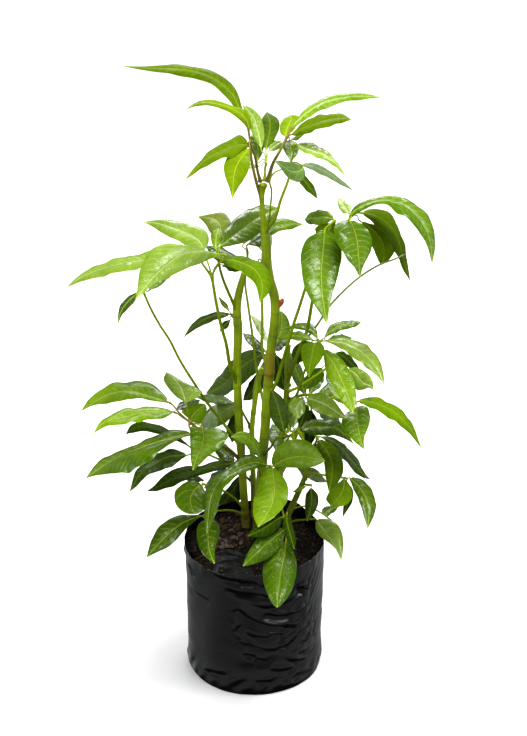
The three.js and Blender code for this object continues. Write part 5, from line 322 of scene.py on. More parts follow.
   [-1229,-98,4530,-1291,-238,4542,-1431,-363,4558,-1598,-386,4577,-1762,-464,4567,-1929,-509,4551,-2105,-483,4523,-2259,-476,4458,-2379,-477,4375]),
  ("G1c", "dusk", [-959,-232,4225,-1076,-272,4223,-1289,-351,4207,-1514,-443,4177,-1733,-540,4137,-1947,-642,4086,-2151,-751,4020,-2330,-859,3946,-2477,-954,3877],
   [-959,-232,4225,-1065,-128,4239,-1290,-134,4229,-1529,-249,4195,-1754,-393,4149,-1987,-493,4096,-2216,-583,4030,-2380,-752,3951,-2477,-954,3877],
   [-959,-232,4225,-1067,-323,4218,-1262,-487,4195,-1441,-719,4156,-1613,-943,4109,-1830,-1023,4061,-2067,-1013,4004,-2294,-957,3941,-2477,-954,3877]),
  ("G1f", "pale", [-1033,254,4517,-1046,308,4532,-1071,409,4560,-1104,517,4589,-1141,624,4616,-1195,727,4634,-1253,829,4650,-1315,920,4658,-1372,994,4660],
   [-1033,254,4517,-1075,315,4507,-1149,429,4496,-1221,549,4498,-1287,668,4508,-1345,776,4532,-1393,881,4565,-1401,954,4610,-1372,994,4660],
   [-1033,254,4517,-969,270,4535,-857,310,4576,-794,393,4629,-895,512,4635,-1025,638,4636,-1153,768,4644,-1270,892,4655,-1372,994,4660]),
  ("G1g", "fern", [-947,-71,4362,-948,-35,4354,-949,32,4339,-949,109,4334,-911,196,4348,-862,282,4361,-813,366,4367,-774,439,4364,-753,497,4356],
   [-947,-71,4362,-979,-31,4374,-1037,45,4397,-1087,127,4421,-1043,214,4432,-973,302,4436,-894,380,4423,-818,445,4393,-753,497,4356],
   [-947,-71,4362,-917,-46,4337,-860,0,4290,-809,64,4260,-778,152,4276,-749,241,4297,-731,335,4320,-730,423,4340,-753,497,4356]),
  ("G1h", "dusk", [-770,-381,4408,-759,-455,4397,-741,-592,4376,-749,-739,4355,-770,-885,4336,-798,-1029,4319,-832,-1172,4306,-855,-1306,4292,-869,-1420,4278],
   [-770,-381,4408,-825,-386,4436,-910,-424,4469,-935,-576,4437,-928,-752,4399,-915,-932,4364,-907,-1114,4332,-888,-1281,4303,-869,-1420,4278],
   [-770,-381,4408,-680,-430,4435,-517,-517,4487,-383,-672,4487,-407,-855,4433,-542,-996,4399,-666,-1151,4358,-776,-1298,4315,-869,-1420,4278]),
  ("G1j", "dark", [-1198,417,4293,-1178,460,4289,-1141,539,4281,-1095,623,4268,-1040,703,4248,-984,783,4229,-930,860,4203,-886,934,4183,-850,996,4167],
   [-1198,417,4293,-1187,486,4290,-1166,614,4284,-1132,737,4273,-1077,827,4255,-1019,912,4237,-958,964,4209,-900,983,4186,-850,996,4167],
   [-1198,417,4293,-1169,436,4287,-1116,470,4275,-1059,517,4258,-1004,588,4238,-949,664,4218,-901,764,4193,-872,888,4178,-850,996,4167]),
 ]),
 ("leaf_low_left_under", [-832,220,3664], [-179,500,3111,-437,400,3349,-650,300,3548,-832,220,3664], (22, 16), 'stem_left', [
  ("G1d", "dark", [-1053,278,3578,-1117,305,3563,-1252,349,3521,-1404,379,3443,-1551,401,3347,-1696,421,3246,-1815,425,3116,-1889,418,2970,-1956,414,2852],
   [-1053,278,3578,-1129,384,3576,-1287,527,3552,-1458,575,3480,-1606,553,3377,-1752,529,3270,-1870,508,3136,-1921,463,2982,-1956,414,2852],
   [-1053,278,3578,-1107,233,3547,-1217,185,3483,-1352,200,3398,-1498,263,3310,-1642,323,3217,-1760,352,3091,-1857,378,2956,-1956,414,2852]),
  ("G1k", "deep", [-1015,515,3606,-1080,567,3630,-1204,660,3670,-1346,756,3705,-1493,849,3732,-1653,925,3726,-1815,991,3700,-1951,1027,3626,-2040,1044,3533],
   [-1015,515,3606,-1078,602,3628,-1204,751,3664,-1353,889,3698,-1508,1012,3725,-1682,1092,3719,-1856,1146,3695,-1986,1131,3622,-2040,1044,3533],
   [-1015,515,3606,-1081,536,3630,-1206,580,3669,-1341,641,3703,-1479,707,3729,-1626,781,3721,-1776,859,3695,-1917,940,3621,-2040,1044,3533]),
  ("G1l", "icy", [-796,527,3600,-788,587,3616,-773,700,3646,-752,826,3686,-724,954,3731,-692,1080,3774,-659,1205,3812,-633,1320,3847,-612,1418,3877],
   [-796,527,3600,-815,600,3617,-849,735,3650,-854,873,3691,-832,1007,3737,-800,1135,3781,-734,1242,3816,-668,1337,3849,-612,1418,3877],
   [-796,527,3600,-761,574,3615,-698,664,3644,-651,776,3683,-616,897,3727,-584,1023,3769,-584,1166,3808,-599,1302,3845,-612,1418,3877]),
 ]),
 ("leaf_low_left_dark", [-244,120,3525], [-182,500,3169,-244,120,3525], (20, 17), 'stem_left', [
  ("G1e", "deep", [-305,103,3535,-396,70,3539,-576,7,3545,-772,-71,3530,-966,-146,3523,-1159,-222,3511,-1332,-319,3459,-1480,-415,3399,-1618,-481,3377],
   [-305,103,3535,-407,161,3537,-597,157,3542,-795,52,3528,-1000,24,3519,-1206,-10,3506,-1376,-130,3454,-1498,-316,3395,-1618,-481,3377],
   [-305,103,3535,-385,-25,3544,-555,-149,3553,-748,-200,3536,-931,-322,3532,-1111,-444,3523,-1288,-515,3470,-1462,-517,3405,-1618,-481,3377]),
  ("G1m", "dark", [-311,396,3440,-342,436,3439,-401,510,3437,-462,593,3441,-525,679,3452,-589,765,3462,-649,850,3472,-703,929,3480,-749,996,3487],
   [-311,396,3440,-351,408,3439,-426,429,3436,-498,481,3440,-562,568,3450,-627,656,3461,-680,765,3471,-718,889,3479,-749,996,3487],
   [-311,396,3440,-333,466,3438,-376,596,3434,-426,713,3439,-488,798,3449,-550,881,3460,-619,942,3471,-689,972,3479,-749,996,3487]),
 ]),
 ("leaf_low_left_front", [-773,-300,3395], [-144,500,2438,-281,200,2815,-490,-100,3172,-639,-240,3324,-773,-300,3395], (24, 17), 'stem_left', [
  ("G2a", "gloss", [-787,-345,3385,-803,-376,3419,-843,-451,3447,-902,-554,3431,-943,-668,3393,-944,-787,3344,-912,-901,3307,-866,-990,3305,-825,-1055,3326],
   [-787,-345,3385,-839,-339,3446,-958,-372,3496,-1094,-464,3474,-1185,-588,3414,-1172,-740,3337,-1080,-885,3283,-948,-990,3287,-825,-1055,3326],
   [-787,-345,3385,-766,-412,3392,-729,-528,3397,-712,-641,3388,-703,-745,3371,-716,-833,3350,-745,-915,3329,-784,-990,3323,-825,-1055,3326]),
  ("G2b", "dark", [-781,-91,3344,-802,-58,3327,-843,3,3296,-887,70,3265,-934,141,3243,-982,214,3223,-1025,286,3202,-1056,352,3182,-1082,408,3164],
   [-781,-91,3344,-800,-34,3328,-837,70,3297,-878,175,3267,-921,256,3244,-965,333,3223,-1008,392,3203,-1048,403,3182,-1082,408,3164],
   [-781,-91,3344,-805,-78,3325,-849,-55,3290,-898,-20,3256,-949,44,3233,-1000,112,3212,-1043,195,3193,-1065,308,3178,-1082,408,3164]),
 ]),
 ("leaf_base_left", [-773,-520,2959], [-135,500,2263,-218,100,2638,-398,-200,2873,-608,-420,2970,-773,-520,2959], (20, 15), 'stem_left', [
  ("G2c", "gloss", [-694,-616,2946,-693,-670,2924,-691,-771,2883,-688,-880,2839,-686,-988,2796,-672,-1095,2755,-645,-1202,2716,-612,-1299,2683,-580,-1380,2656],
   [-694,-616,2946,-753,-640,2950,-828,-719,2931,-849,-845,2873,-834,-973,2812,-803,-1098,2754,-738,-1212,2708,-656,-1306,2677,-580,-1380,2656],
   [-694,-616,2946,-637,-615,2945,-554,-646,2927,-520,-753,2872,-535,-878,2822,-565,-1012,2777,-588,-1148,2735,-585,-1273,2692,-580,-1380,2656]),
  ("G2d", "dark", [-818,-536,2968,-886,-571,2963,-1009,-639,2947,-1131,-721,2912,-1243,-809,2864,-1346,-902,2807,-1442,-997,2744,-1528,-1087,2684,-1599,-1164,2632],
   [-818,-536,2968,-900,-521,2977,-1052,-519,2983,-1212,-550,2964,-1351,-630,2919,-1460,-749,2854,-1533,-892,2777,-1573,-1038,2699,-1599,-1164,2632],
   [-818,-536,2968,-872,-594,2949,-971,-698,2911,-1075,-802,2861,-1163,-910,2799,-1260,-1004,2740,-1384,-1065,2700,-1502,-1116,2665,-1599,-1164,2632]),
 ]),
 ("leaf_front", [249,-154,3627], [214,87,3402,239,-43,3569,249,-154,3627], (20, 18), 'stem_front', [
  ("h1", "dusk", [188,-180,3659,79,-226,3721,-122,-345,3768,-319,-512,3740,-497,-689,3690,-600,-892,3589,-645,-1106,3464,-667,-1307,3346,-680,-1476,3247],
   [188,-180,3659,106,-65,3715,-114,-22,3757,-322,-285,3730,-535,-443,3678,-703,-616,3575,-735,-933,3453,-718,-1231,3341,-680,-1476,3247],
   [188,-180,3659,87,-353,3727,-94,-566,3780,-279,-684,3750,-417,-879,3702,-497,-1073,3603,-561,-1230,3474,-618,-1370,3352,-680,-1476,3247]),
  ("h2", "midlt", [280,-201,3619,291,-278,3586,309,-422,3525,319,-576,3460,301,-729,3398,260,-880,3341,195,-1025,3294,128,-1158,3255,69,-1270,3223],
   [280,-201,3619,211,-214,3617,130,-303,3569,85,-446,3493,44,-599,3420,11,-763,3354,-2,-941,3295,26,-1118,3252,69,-1270,3223],
   [280,-201,3619,353,-268,3618,452,-423,3575,513,-605,3502,497,-779,3420,420,-938,3343,306,-1074,3288,178,-1181,3251,69,-1270,3223]),
  ("h3", "midlt", [295,-185,3645,343,-211,3696,435,-260,3787,544,-325,3863,656,-397,3923,769,-476,3970,880,-564,4000,981,-648,4020,1065,-721,4034],
   [295,-185,3645,280,-172,3733,315,-156,3890,439,-170,4023,594,-215,4120,756,-307,4160,896,-444,4139,995,-592,4087,1065,-721,4034],
   [295,-185,3645,351,-244,3670,455,-347,3720,566,-442,3772,677,-531,3819,786,-609,3866,894,-668,3918,988,-702,3978,1065,-721,4034]),
 ]),
 ("leaf_front_young", [65,40,3588], [113,452,2996,88,220,3308,65,40,3588], (16, 13), 'stem_main', [
  ("h4", "midlt", [81,20,3705,74,7,3750,50,-16,3833,2,-38,3928,-56,-64,4018,-126,-96,4093,-208,-141,4142,-282,-193,4167,-340,-241,4179],
   [81,20,3705,99,32,3754,111,51,3846,63,54,3947,-4,46,4041,-91,15,4118,-190,-47,4164,-277,-142,4179,-340,-241,4179],
   [81,20,3705,48,-19,3746,-10,-85,3822,-58,-134,3911,-108,-176,3996,-161,-209,4070,-225,-237,4121,-288,-245,4156,-340,-241,4179]),
 ]),
 ("leaf_low_front", [473,-906,3106], [183,128,3145,311,-196,3192,401,-542,3185,444,-789,3175,473,-906,3106], (20, 16), 'stem_front', [
  ("J1", "deep", [427,-928,3189,403,-960,3195,351,-1023,3202,278,-1100,3189,202,-1177,3175,124,-1252,3169,46,-1323,3167,-24,-1387,3171,-78,-1441,3174],
   [427,-928,3189,387,-915,3208,312,-913,3233,232,-971,3226,154,-1045,3213,81,-1133,3202,15,-1236,3191,-41,-1343,3183,-78,-1441,3174],
   [427,-928,3189,420,-992,3174,390,-1100,3150,325,-1190,3129,251,-1270,3114,167,-1334,3114,77,-1385,3127,-7,-1418,3151,-78,-1441,3174]),
  ("J2", "spot", [457,-1050,3036,411,-1101,3026,327,-1194,3008,238,-1295,2987,151,-1397,2965,67,-1499,2941,-15,-1602,2917,-88,-1699,2892,-150,-1781,2871],
   [457,-1050,3036,398,-1039,3062,289,-1066,3084,176,-1162,3071,78,-1278,3043,0,-1407,3003,-64,-1543,2957,-116,-1670,2912,-150,-1781,2871],
   [457,-1050,3036,463,-1102,2995,433,-1207,2933,366,-1326,2882,278,-1441,2849,172,-1543,2838,55,-1636,2843,-55,-1718,2854,-150,-1781,2871]),
  ("J3", "spot", [486,-1192,2932,479,-1259,2892,463,-1383,2819,432,-1516,2743,404,-1648,2668,387,-1781,2591,371,-1913,2516,355,-2036,2446,347,-2139,2388],
   [486,-1192,2932,407,-1197,2916,288,-1270,2850,195,-1391,2761,148,-1537,2665,157,-1699,2573,199,-1865,2490,263,-2018,2425,347,-2139,2388],
   [486,-1192,2932,532,-1249,2893,600,-1364,2816,630,-1500,2727,619,-1645,2638,584,-1789,2552,521,-1928,2477,438,-2048,2421,347,-2139,2388]),
  ("J4", "deep", [502,-935,3263,497,-977,3247,500,-1055,3214,512,-1141,3175,530,-1226,3137,551,-1312,3100,571,-1396,3063,589,-1473,3034,599,-1537,3010],
   [502,-935,3263,478,-972,3246,456,-1049,3211,456,-1142,3172,468,-1232,3133,491,-1321,3096,519,-1406,3060,561,-1477,3032,599,-1537,3010],
   [502,-935,3263,517,-983,3249,544,-1062,3219,569,-1143,3181,592,-1223,3144,611,-1306,3106,624,-1390,3068,616,-1470,3036,599,-1537,3010]),
 ]),
 ("leaf_right_front", [968,47,4022], [948,300,3725,968,47,4022], (18, 17), 'stem_low_right', [
  ("I1", "moss", [997,-15,4004,1032,-81,3987,1096,-204,3956,1148,-340,3915,1186,-478,3869,1184,-619,3817,1170,-760,3765,1144,-890,3719,1121,-1000,3681],
   [997,-15,4004,974,-84,3981,981,-207,3944,1039,-332,3906,1069,-472,3859,1080,-613,3808,1088,-754,3759,1106,-887,3716,1121,-1000,3681],
   [997,-15,4004,1069,-35,4005,1184,-119,3991,1273,-274,3949,1330,-450,3897,1337,-632,3838,1286,-794,3776,1207,-920,3723,1121,-1000,3681]),
  ("I2", "dark", [1045,83,4002,1109,106,3967,1225,142,3884,1340,167,3769,1444,186,3641,1540,201,3506,1629,214,3366,1718,230,3245,1813,254,3163],
   [1045,83,4002,1122,169,3963,1258,281,3875,1386,332,3757,1501,362,3627,1598,368,3491,1671,343,3355,1738,302,3239,1813,254,3163],
   [1045,83,4002,1097,49,3968,1193,14,3888,1294,15,3774,1388,25,3647,1484,49,3512,1589,96,3371,1699,164,3247,1813,254,3163]),
  ("I9", "dark", [921,498,3829,910,537,3824,890,611,3813,869,692,3804,846,774,3800,822,857,3795,804,939,3789,790,1013,3779,777,1075,3769],
   [921,498,3829,901,525,3822,863,577,3809,826,638,3798,799,717,3792,772,799,3787,762,889,3783,770,989,3776,777,1075,3769],
   [921,498,3829,919,553,3823,916,655,3812,912,760,3803,895,848,3798,873,932,3793,847,1004,3788,810,1044,3778,777,1075,3769]),
 ]),
 ("leaf_right_front_low", [1410,40,3304], [810,360,3207,998,200,3284,1211,80,3317,1410,40,3304], (20, 16), 'stem_low_right', [
  ("I3", "dusk", [1485,-1,3328,1528,-52,3310,1608,-146,3276,1672,-254,3227,1717,-367,3167,1740,-483,3101,1749,-600,3033,1737,-709,2970,1723,-801,2917],
   [1485,-1,3328,1499,-75,3307,1534,-203,3269,1582,-318,3219,1621,-425,3161,1653,-528,3097,1679,-630,3031,1703,-723,2970,1723,-801,2917],
   [1485,-1,3328,1560,28,3318,1683,14,3291,1779,-97,3235,1845,-232,3167,1869,-384,3094,1836,-545,3026,1779,-686,2966,1723,-801,2917]),
  ("I4", "fern", [1393,7,3305,1393,-46,3303,1388,-145,3296,1371,-258,3277,1334,-370,3259,1281,-481,3243,1222,-586,3241,1190,-676,3253,1167,-747,3272],
   [1393,7,3305,1359,-46,3311,1296,-143,3319,1236,-247,3318,1179,-350,3315,1135,-456,3302,1109,-565,3288,1135,-663,3278,1167,-747,3272],
   [1393,7,3305,1426,-50,3298,1479,-159,3279,1505,-286,3246,1487,-411,3216,1425,-526,3197,1335,-623,3203,1245,-697,3232,1167,-747,3272]),
  ("I5", "dark", [1454,247,3113,1467,265,3061,1490,299,2965,1499,332,2857,1494,365,2746,1481,398,2636,1457,432,2530,1436,464,2431,1418,491,2347],
   [1454,247,3113,1452,262,3061,1449,289,2965,1444,326,2857,1437,369,2745,1429,408,2635,1424,439,2529,1421,467,2430,1418,491,2347],
   [1454,247,3113,1482,274,3058,1533,322,2957,1555,356,2847,1552,378,2736,1533,404,2627,1492,436,2524,1452,466,2428,1418,491,2347]),
 ]),
 ("leaf_right_inner", [891,180,3098], [760,360,3019,891,180,3098], (16, 14), 'stem_low_right', [
  ("I6", "dark", [890,140,3067,894,113,3050,899,61,3017,901,-3,2966,896,-67,2913,880,-131,2861,862,-194,2811,840,-251,2769,821,-298,2734],
   [890,140,3067,865,116,3047,823,70,3010,808,13,2961,803,-49,2909,803,-113,2860,807,-179,2812,814,-243,2770,821,-298,2734],
   [890,140,3067,923,117,3049,975,70,3012,995,4,2957,990,-64,2902,958,-131,2850,918,-196,2802,866,-251,2765,821,-298,2734]),
  ("I6b", "lime", [810,95,3129,795,77,3133,768,44,3141,738,8,3149,710,-30,3152,684,-70,3153,655,-106,3160,627,-139,3168,604,-167,3175],
   [810,95,3129,794,87,3134,762,72,3143,729,55,3152,700,24,3155,674,-19,3156,648,-73,3162,624,-124,3169,604,-167,3175],
   [810,95,3129,797,67,3133,773,15,3140,746,-40,3148,720,-87,3150,693,-122,3151,661,-140,3160,630,-155,3168,604,-167,3175]),
 ]),
 ("leaf_right_far", [1233,600,2206], [578,360,2533,777,460,2550,1020,560,2398,1233,600,2206], (14, 12), 'stem_low_right', [
  ("I7", "dark", [1173,722,2188,1169,755,2187,1162,817,2187,1169,883,2185,1206,949,2182,1249,1010,2171,1294,1067,2151,1334,1121,2133,1369,1166,2118],
   [1173,722,2188,1152,758,2191,1113,825,2199,1097,900,2205,1138,980,2208,1193,1046,2197,1257,1091,2168,1317,1132,2141,1369,1166,2118],
   [1173,722,2188,1186,753,2183,1211,810,2175,1241,868,2166,1273,918,2156,1305,975,2144,1330,1043,2133,1351,1110,2125,1369,1166,2118]),
 ]),
 ("leaf_base_right", [956,40,2565], [528,360,2293,726,200,2449,956,40,2565], (19, 15), 'stem_low_right', [
  ("I8", "pale", [987,15,2562,1015,-31,2541,1068,-115,2501,1125,-205,2460,1183,-295,2419,1237,-386,2376,1286,-478,2331,1319,-566,2285,1342,-641,2244],
   [987,15,2562,971,-27,2527,978,-113,2468,1034,-208,2421,1114,-296,2392,1199,-380,2368,1272,-469,2334,1312,-562,2286,1342,-641,2244],
   [987,15,2562,1050,22,2575,1167,11,2582,1273,-58,2552,1344,-165,2497,1377,-291,2430,1379,-422,2362,1363,-541,2298,1342,-641,2244]),
 ]),
 ("leaf_back_mid", [285,1500,4798], [112,1146,4585,205,1300,4685,285,1500,4798], (22, 17), 'stem_back', [
  ("N1", "moss", [350,1743,4805,365,1812,4806,393,1941,4807,422,2083,4816,442,2233,4839,447,2383,4863,449,2531,4884,447,2664,4894,438,2775,4898],
   [350,1743,4805,338,1817,4812,316,1954,4823,307,2099,4840,312,2238,4862,320,2380,4883,352,2519,4896,399,2654,4899,438,2775,4898],
   [350,1743,4805,392,1809,4799,471,1932,4788,538,2074,4789,572,2234,4813,573,2392,4840,545,2548,4870,496,2677,4888,438,2775,4898]),
  ("N2", "pale", [222,1732,4811,205,1799,4814,172,1923,4822,137,2057,4832,105,2193,4845,72,2329,4858,29,2462,4864,-16,2583,4866,-56,2685,4867],
   [222,1732,4811,196,1789,4813,147,1893,4817,100,2012,4825,62,2140,4836,27,2270,4849,-4,2417,4857,-32,2562,4862,-56,2685,4867],
   [222,1732,4811,214,1812,4815,198,1959,4823,175,2113,4834,147,2258,4848,117,2401,4861,63,2516,4867,-1,2607,4867,-56,2685,4867]),
  ("N3", "dark", [349,1639,4643,356,1679,4594,368,1753,4504,387,1830,4403,404,1903,4291,423,1975,4179,444,2051,4076,458,2124,3983,470,2185,3904],
   [349,1639,4643,334,1673,4591,306,1735,4496,293,1800,4390,305,1870,4278,323,1943,4166,371,2030,4067,424,2114,3979,470,2185,3904],
   [349,1639,4643,378,1683,4598,431,1764,4515,480,1850,4420,503,1925,4310,522,1996,4198,517,2065,4090,492,2130,3989,470,2185,3904]),
  ("N4", "dark", [190,1879,4580,163,1928,4578,113,2020,4573,60,2120,4573,7,2223,4578,-46,2327,4583,-99,2428,4584,-147,2520,4582,-188,2599,4581],
   [190,1879,4580,155,1906,4576,90,1955,4569,25,2024,4565,-32,2117,4570,-89,2213,4575,-134,2339,4577,-163,2479,4579,-188,2599,4581],
   [190,1879,4580,171,1956,4577,136,2097,4572,94,2236,4571,46,2351,4576,-3,2464,4582,-65,2536,4583,-131,2570,4582,-188,2599,4581]),
 ]),
 ("leaf_back_left", [223,1900,4499], [2,1088,3926,-2,1400,4138,94,1700,4346,223,1900,4499], (24, 18), 'stem_back', [
  ("M1", "dusk", [142,1988,4474,93,2059,4426,-17,2175,4304,-159,2284,4140,-296,2385,3961,-433,2484,3778,-573,2586,3601,-707,2696,3467,-821,2797,3369],
   [142,1988,4474,76,2156,4455,-74,2389,4371,-238,2536,4221,-379,2637,4043,-507,2717,3853,-631,2785,3664,-736,2802,3501,-821,2797,3369],
   [142,1988,4474,111,1954,4400,39,1945,4246,-80,2014,4071,-214,2115,3891,-359,2234,3714,-516,2374,3546,-677,2583,3438,-821,2797,3369]),
  ("M2", "dark", [174,1967,4376,170,2002,4302,160,2066,4164,122,2136,4017,67,2206,3871,3,2278,3729,-65,2352,3590,-130,2427,3473,-193,2498,3390],
   [174,1967,4376,147,2020,4302,95,2118,4163,37,2221,4017,-26,2323,3872,-88,2416,3730,-138,2485,3591,-168,2509,3474,-193,2498,3390],
   [174,1967,4376,192,1993,4298,224,2040,4153,208,2087,4000,158,2130,3851,94,2182,3707,6,2254,3571,-93,2364,3462,-193,2498,3390]),
  ("M7", "dark", [272,2013,4354,290,2059,4297,324,2145,4191,361,2234,4071,403,2320,3943,445,2405,3814,480,2491,3688,506,2574,3578,528,2645,3484],
   [272,2013,4354,268,2037,4295,261,2083,4186,270,2146,4064,306,2231,3936,345,2317,3807,397,2419,3682,466,2540,3575,528,2645,3484],
   [272,2013,4354,311,2081,4298,386,2208,4195,453,2325,4077,500,2411,3949,546,2495,3820,564,2565,3693,545,2609,3580,528,2645,3484]),
  ("M8", "dark", [272,2097,4493,292,2157,4485,331,2268,4470,373,2390,4459,416,2517,4460,459,2646,4463,489,2775,4465,518,2890,4459,543,2987,4454],
   [272,2097,4493,276,2186,4487,284,2352,4477,301,2515,4470,339,2645,4471,379,2771,4474,428,2873,4474,489,2936,4463,543,2987,4454],
   [272,2097,4493,309,2125,4484,377,2177,4466,444,2254,4454,493,2380,4455,538,2511,4458,550,2669,4461,546,2841,4457,543,2987,4454]),
 ]),
 ("leaf_back_left_low", [-255,1200,3972], [-31,1039,3527,-128,1120,3781,-255,1200,3972], (22, 17), 'stem_back', [
  ("M4", "pale", [-288,1235,3954,-315,1276,3925,-374,1345,3855,-458,1413,3768,-545,1478,3674,-635,1544,3580,-712,1605,3479,-765,1669,3398,-789,1723,3331],
   [-288,1235,3954,-332,1314,3950,-425,1433,3912,-536,1528,3842,-640,1604,3755,-736,1665,3658,-801,1700,3540,-819,1715,3427,-789,1723,3331],
   [-288,1235,3954,-299,1254,3893,-323,1295,3778,-381,1351,3667,-452,1411,3562,-535,1481,3472,-624,1558,3393,-713,1648,3355,-789,1723,3331]),
  ("M5", "blue", [-320,1290,3962,-362,1340,3947,-440,1435,3921,-527,1536,3893,-619,1633,3857,-712,1731,3821,-802,1829,3786,-885,1915,3744,-956,1988,3709],
   [-320,1290,3962,-360,1377,3946,-433,1538,3918,-518,1683,3889,-612,1794,3853,-707,1899,3818,-800,1954,3784,-884,1973,3744,-956,1988,3709],
   [-320,1290,3962,-364,1306,3947,-446,1337,3922,-536,1397,3894,-626,1481,3856,-716,1573,3821,-804,1710,3785,-886,1861,3744,-956,1988,3709]),
  ("M6", "dark", [-225,1279,3859,-240,1321,3799,-267,1398,3687,-290,1478,3557,-311,1554,3422,-332,1630,3286,-346,1710,3157,-359,1786,3042,-370,1851,2945],
   [-225,1279,3859,-262,1329,3803,-329,1422,3697,-380,1507,3572,-416,1582,3438,-449,1657,3303,-435,1730,3170,-400,1796,3048,-370,1851,2945],
   [-225,1279,3859,-219,1313,3795,-206,1378,3674,-200,1454,3540,-206,1533,3402,-216,1611,3265,-257,1696,3141,-318,1780,3035,-370,1851,2945]),
 ]),
 ("leaf_back_low", [-262,1100,2842], [-14,920,2686,-132,1000,2788,-262,1100,2842], (22, 17), 'stem_back', [
  ("O1", "deep", [-215,1184,2701,-219,1218,2645,-229,1282,2540,-256,1344,2417,-287,1404,2287,-330,1466,2162,-361,1528,2036,-395,1590,1930,-425,1644,1842],
   [-215,1184,2701,-249,1236,2643,-313,1331,2534,-368,1420,2411,-409,1492,2282,-444,1553,2158,-445,1599,2036,-435,1625,1930,-425,1644,1842],
   [-215,1184,2701,-189,1210,2643,-146,1256,2533,-145,1301,2404,-166,1352,2271,-217,1412,2145,-278,1481,2022,-355,1567,1923,-425,1644,1842]),
  ("O2", "dark", [-328,1174,2762,-362,1219,2730,-426,1301,2666,-501,1381,2579,-583,1459,2489,-658,1533,2393,-724,1607,2293,-787,1678,2207,-841,1738,2134],
   [-328,1174,2762,-371,1260,2737,-452,1414,2687,-542,1526,2605,-634,1617,2517,-712,1690,2421,-761,1715,2313,-804,1728,2216,-841,1738,2134],
   [-328,1174,2762,-353,1177,2723,-400,1186,2647,-461,1232,2555,-532,1297,2464,-604,1374,2368,-687,1496,2276,-770,1627,2199,-841,1738,2134]),
  ("O3", "dark", [-328,1249,2832,-350,1309,2827,-389,1422,2821,-434,1549,2824,-488,1676,2829,-543,1803,2833,-594,1927,2832,-638,2042,2828,-676,2139,2825],
   [-328,1249,2832,-369,1282,2825,-444,1346,2813,-508,1450,2813,-568,1570,2816,-626,1692,2820,-656,1845,2821,-667,2004,2823,-676,2139,2825],
   [-328,1249,2832,-330,1336,2831,-333,1495,2831,-359,1643,2837,-408,1778,2844,-459,1911,2849,-532,2007,2844,-610,2078,2834,-676,2139,2825]),
  ("O4", "deep", [-228,984,2797,-250,1012,2732,-291,1065,2609,-340,1122,2478,-403,1181,2350,-467,1240,2223,-532,1300,2099,-588,1357,1985,-636,1405,1889],
   [-228,984,2797,-264,1030,2731,-331,1114,2607,-402,1200,2474,-473,1274,2346,-544,1347,2218,-593,1387,2095,-617,1397,1983,-636,1405,1889],
   [-228,984,2797,-236,995,2733,-250,1014,2612,-278,1042,2483,-332,1085,2356,-391,1130,2229,-471,1212,2104,-560,1316,1988,-636,1405,1889]),
 ]),
 ("leaf_back_right", [889,1750,3741], [856,1639,3702,884,1703,3750,889,1750,3741], (22, 18), 'stem_back_right', [
  ("Q1", "dark", [993,1953,3709,1029,2020,3695,1097,2145,3668,1172,2283,3645,1251,2422,3628,1331,2563,3611,1404,2703,3593,1471,2828,3568,1529,2934,3546],
   [993,1953,3709,1021,2054,3698,1073,2241,3677,1135,2426,3659,1209,2579,3644,1287,2729,3628,1370,2838,3607,1455,2891,3574,1529,2934,3546],
   [993,1953,3709,1037,1984,3693,1121,2043,3663,1208,2130,3637,1291,2256,3618,1374,2387,3600,1438,2559,3583,1487,2761,3563,1529,2934,3546]),
  ("Q2", "deep", [844,1927,3759,826,2014,3768,793,2176,3786,761,2353,3812,722,2532,3840,687,2711,3870,658,2890,3899,626,3055,3924,599,3195,3946],
   [844,1927,3759,806,1997,3768,736,2129,3785,682,2292,3811,636,2466,3838,598,2644,3868,595,2841,3897,597,3032,3923,599,3195,3946],
   [844,1927,3759,846,2032,3768,850,2224,3787,840,2416,3813,809,2599,3842,776,2780,3872,721,2941,3901,655,3078,3925,599,3195,3946]),
  ("Q3", "dark", [992,1891,3594,1030,1944,3544,1099,2043,3449,1171,2141,3332,1252,2242,3218,1329,2340,3100,1395,2434,2973,1459,2524,2860,1514,2600,2766],
   [992,1891,3594,1044,1991,3542,1139,2172,3442,1231,2315,3322,1320,2424,3206,1394,2510,3090,1440,2556,2965,1480,2581,2857,1514,2600,2766],
   [992,1891,3594,1016,1901,3545,1060,1923,3452,1112,1981,3336,1185,2074,3223,1266,2184,3105,1350,2322,2976,1437,2471,2861,1514,2600,2766]),
  ("Q4", "dark", [796,1902,3625,763,1959,3590,702,2064,3524,631,2174,3444,555,2280,3359,478,2386,3272,409,2493,3188,347,2598,3121,294,2687,3064],
   [796,1902,3625,761,2001,3593,694,2184,3532,619,2347,3458,539,2470,3374,461,2588,3288,396,2648,3201,341,2669,3127,294,2687,3064],
   [796,1902,3625,766,1918,3586,709,1948,3513,643,2006,3429,570,2096,3341,496,2191,3253,422,2343,3173,353,2528,3114,294,2687,3064]),
  ("Q5", "deep", [928,1890,3521,925,1936,3456,920,2022,3335,918,2110,3196,914,2191,3043,911,2271,2889,919,2354,2739,921,2433,2605,922,2500,2492],
   [928,1890,3521,893,1943,3456,829,2040,3336,790,2132,3196,792,2209,3043,797,2286,2888,834,2367,2739,881,2440,2605,922,2500,2492],
   [928,1890,3521,957,1933,3454,1011,2014,3330,1045,2101,3189,1037,2186,3037,1025,2269,2883,1005,2350,2735,961,2431,2603,922,2500,2492]),
  ("Q6", "dark", [914,2075,3720,926,2154,3709,949,2301,3688,977,2460,3666,1017,2621,3648,1058,2783,3632,1094,2943,3612,1123,3087,3584,1148,3209,3560],
   [914,2075,3720,909,2177,3706,902,2367,3681,900,2568,3654,934,2743,3635,975,2910,3620,1025,3052,3602,1091,3139,3580,1148,3209,3560],
   [914,2075,3720,942,2133,3711,996,2242,3693,1054,2363,3673,1100,2510,3655,1140,2668,3638,1162,2844,3617,1155,3040,3586,1148,3209,3560]),
 ]),
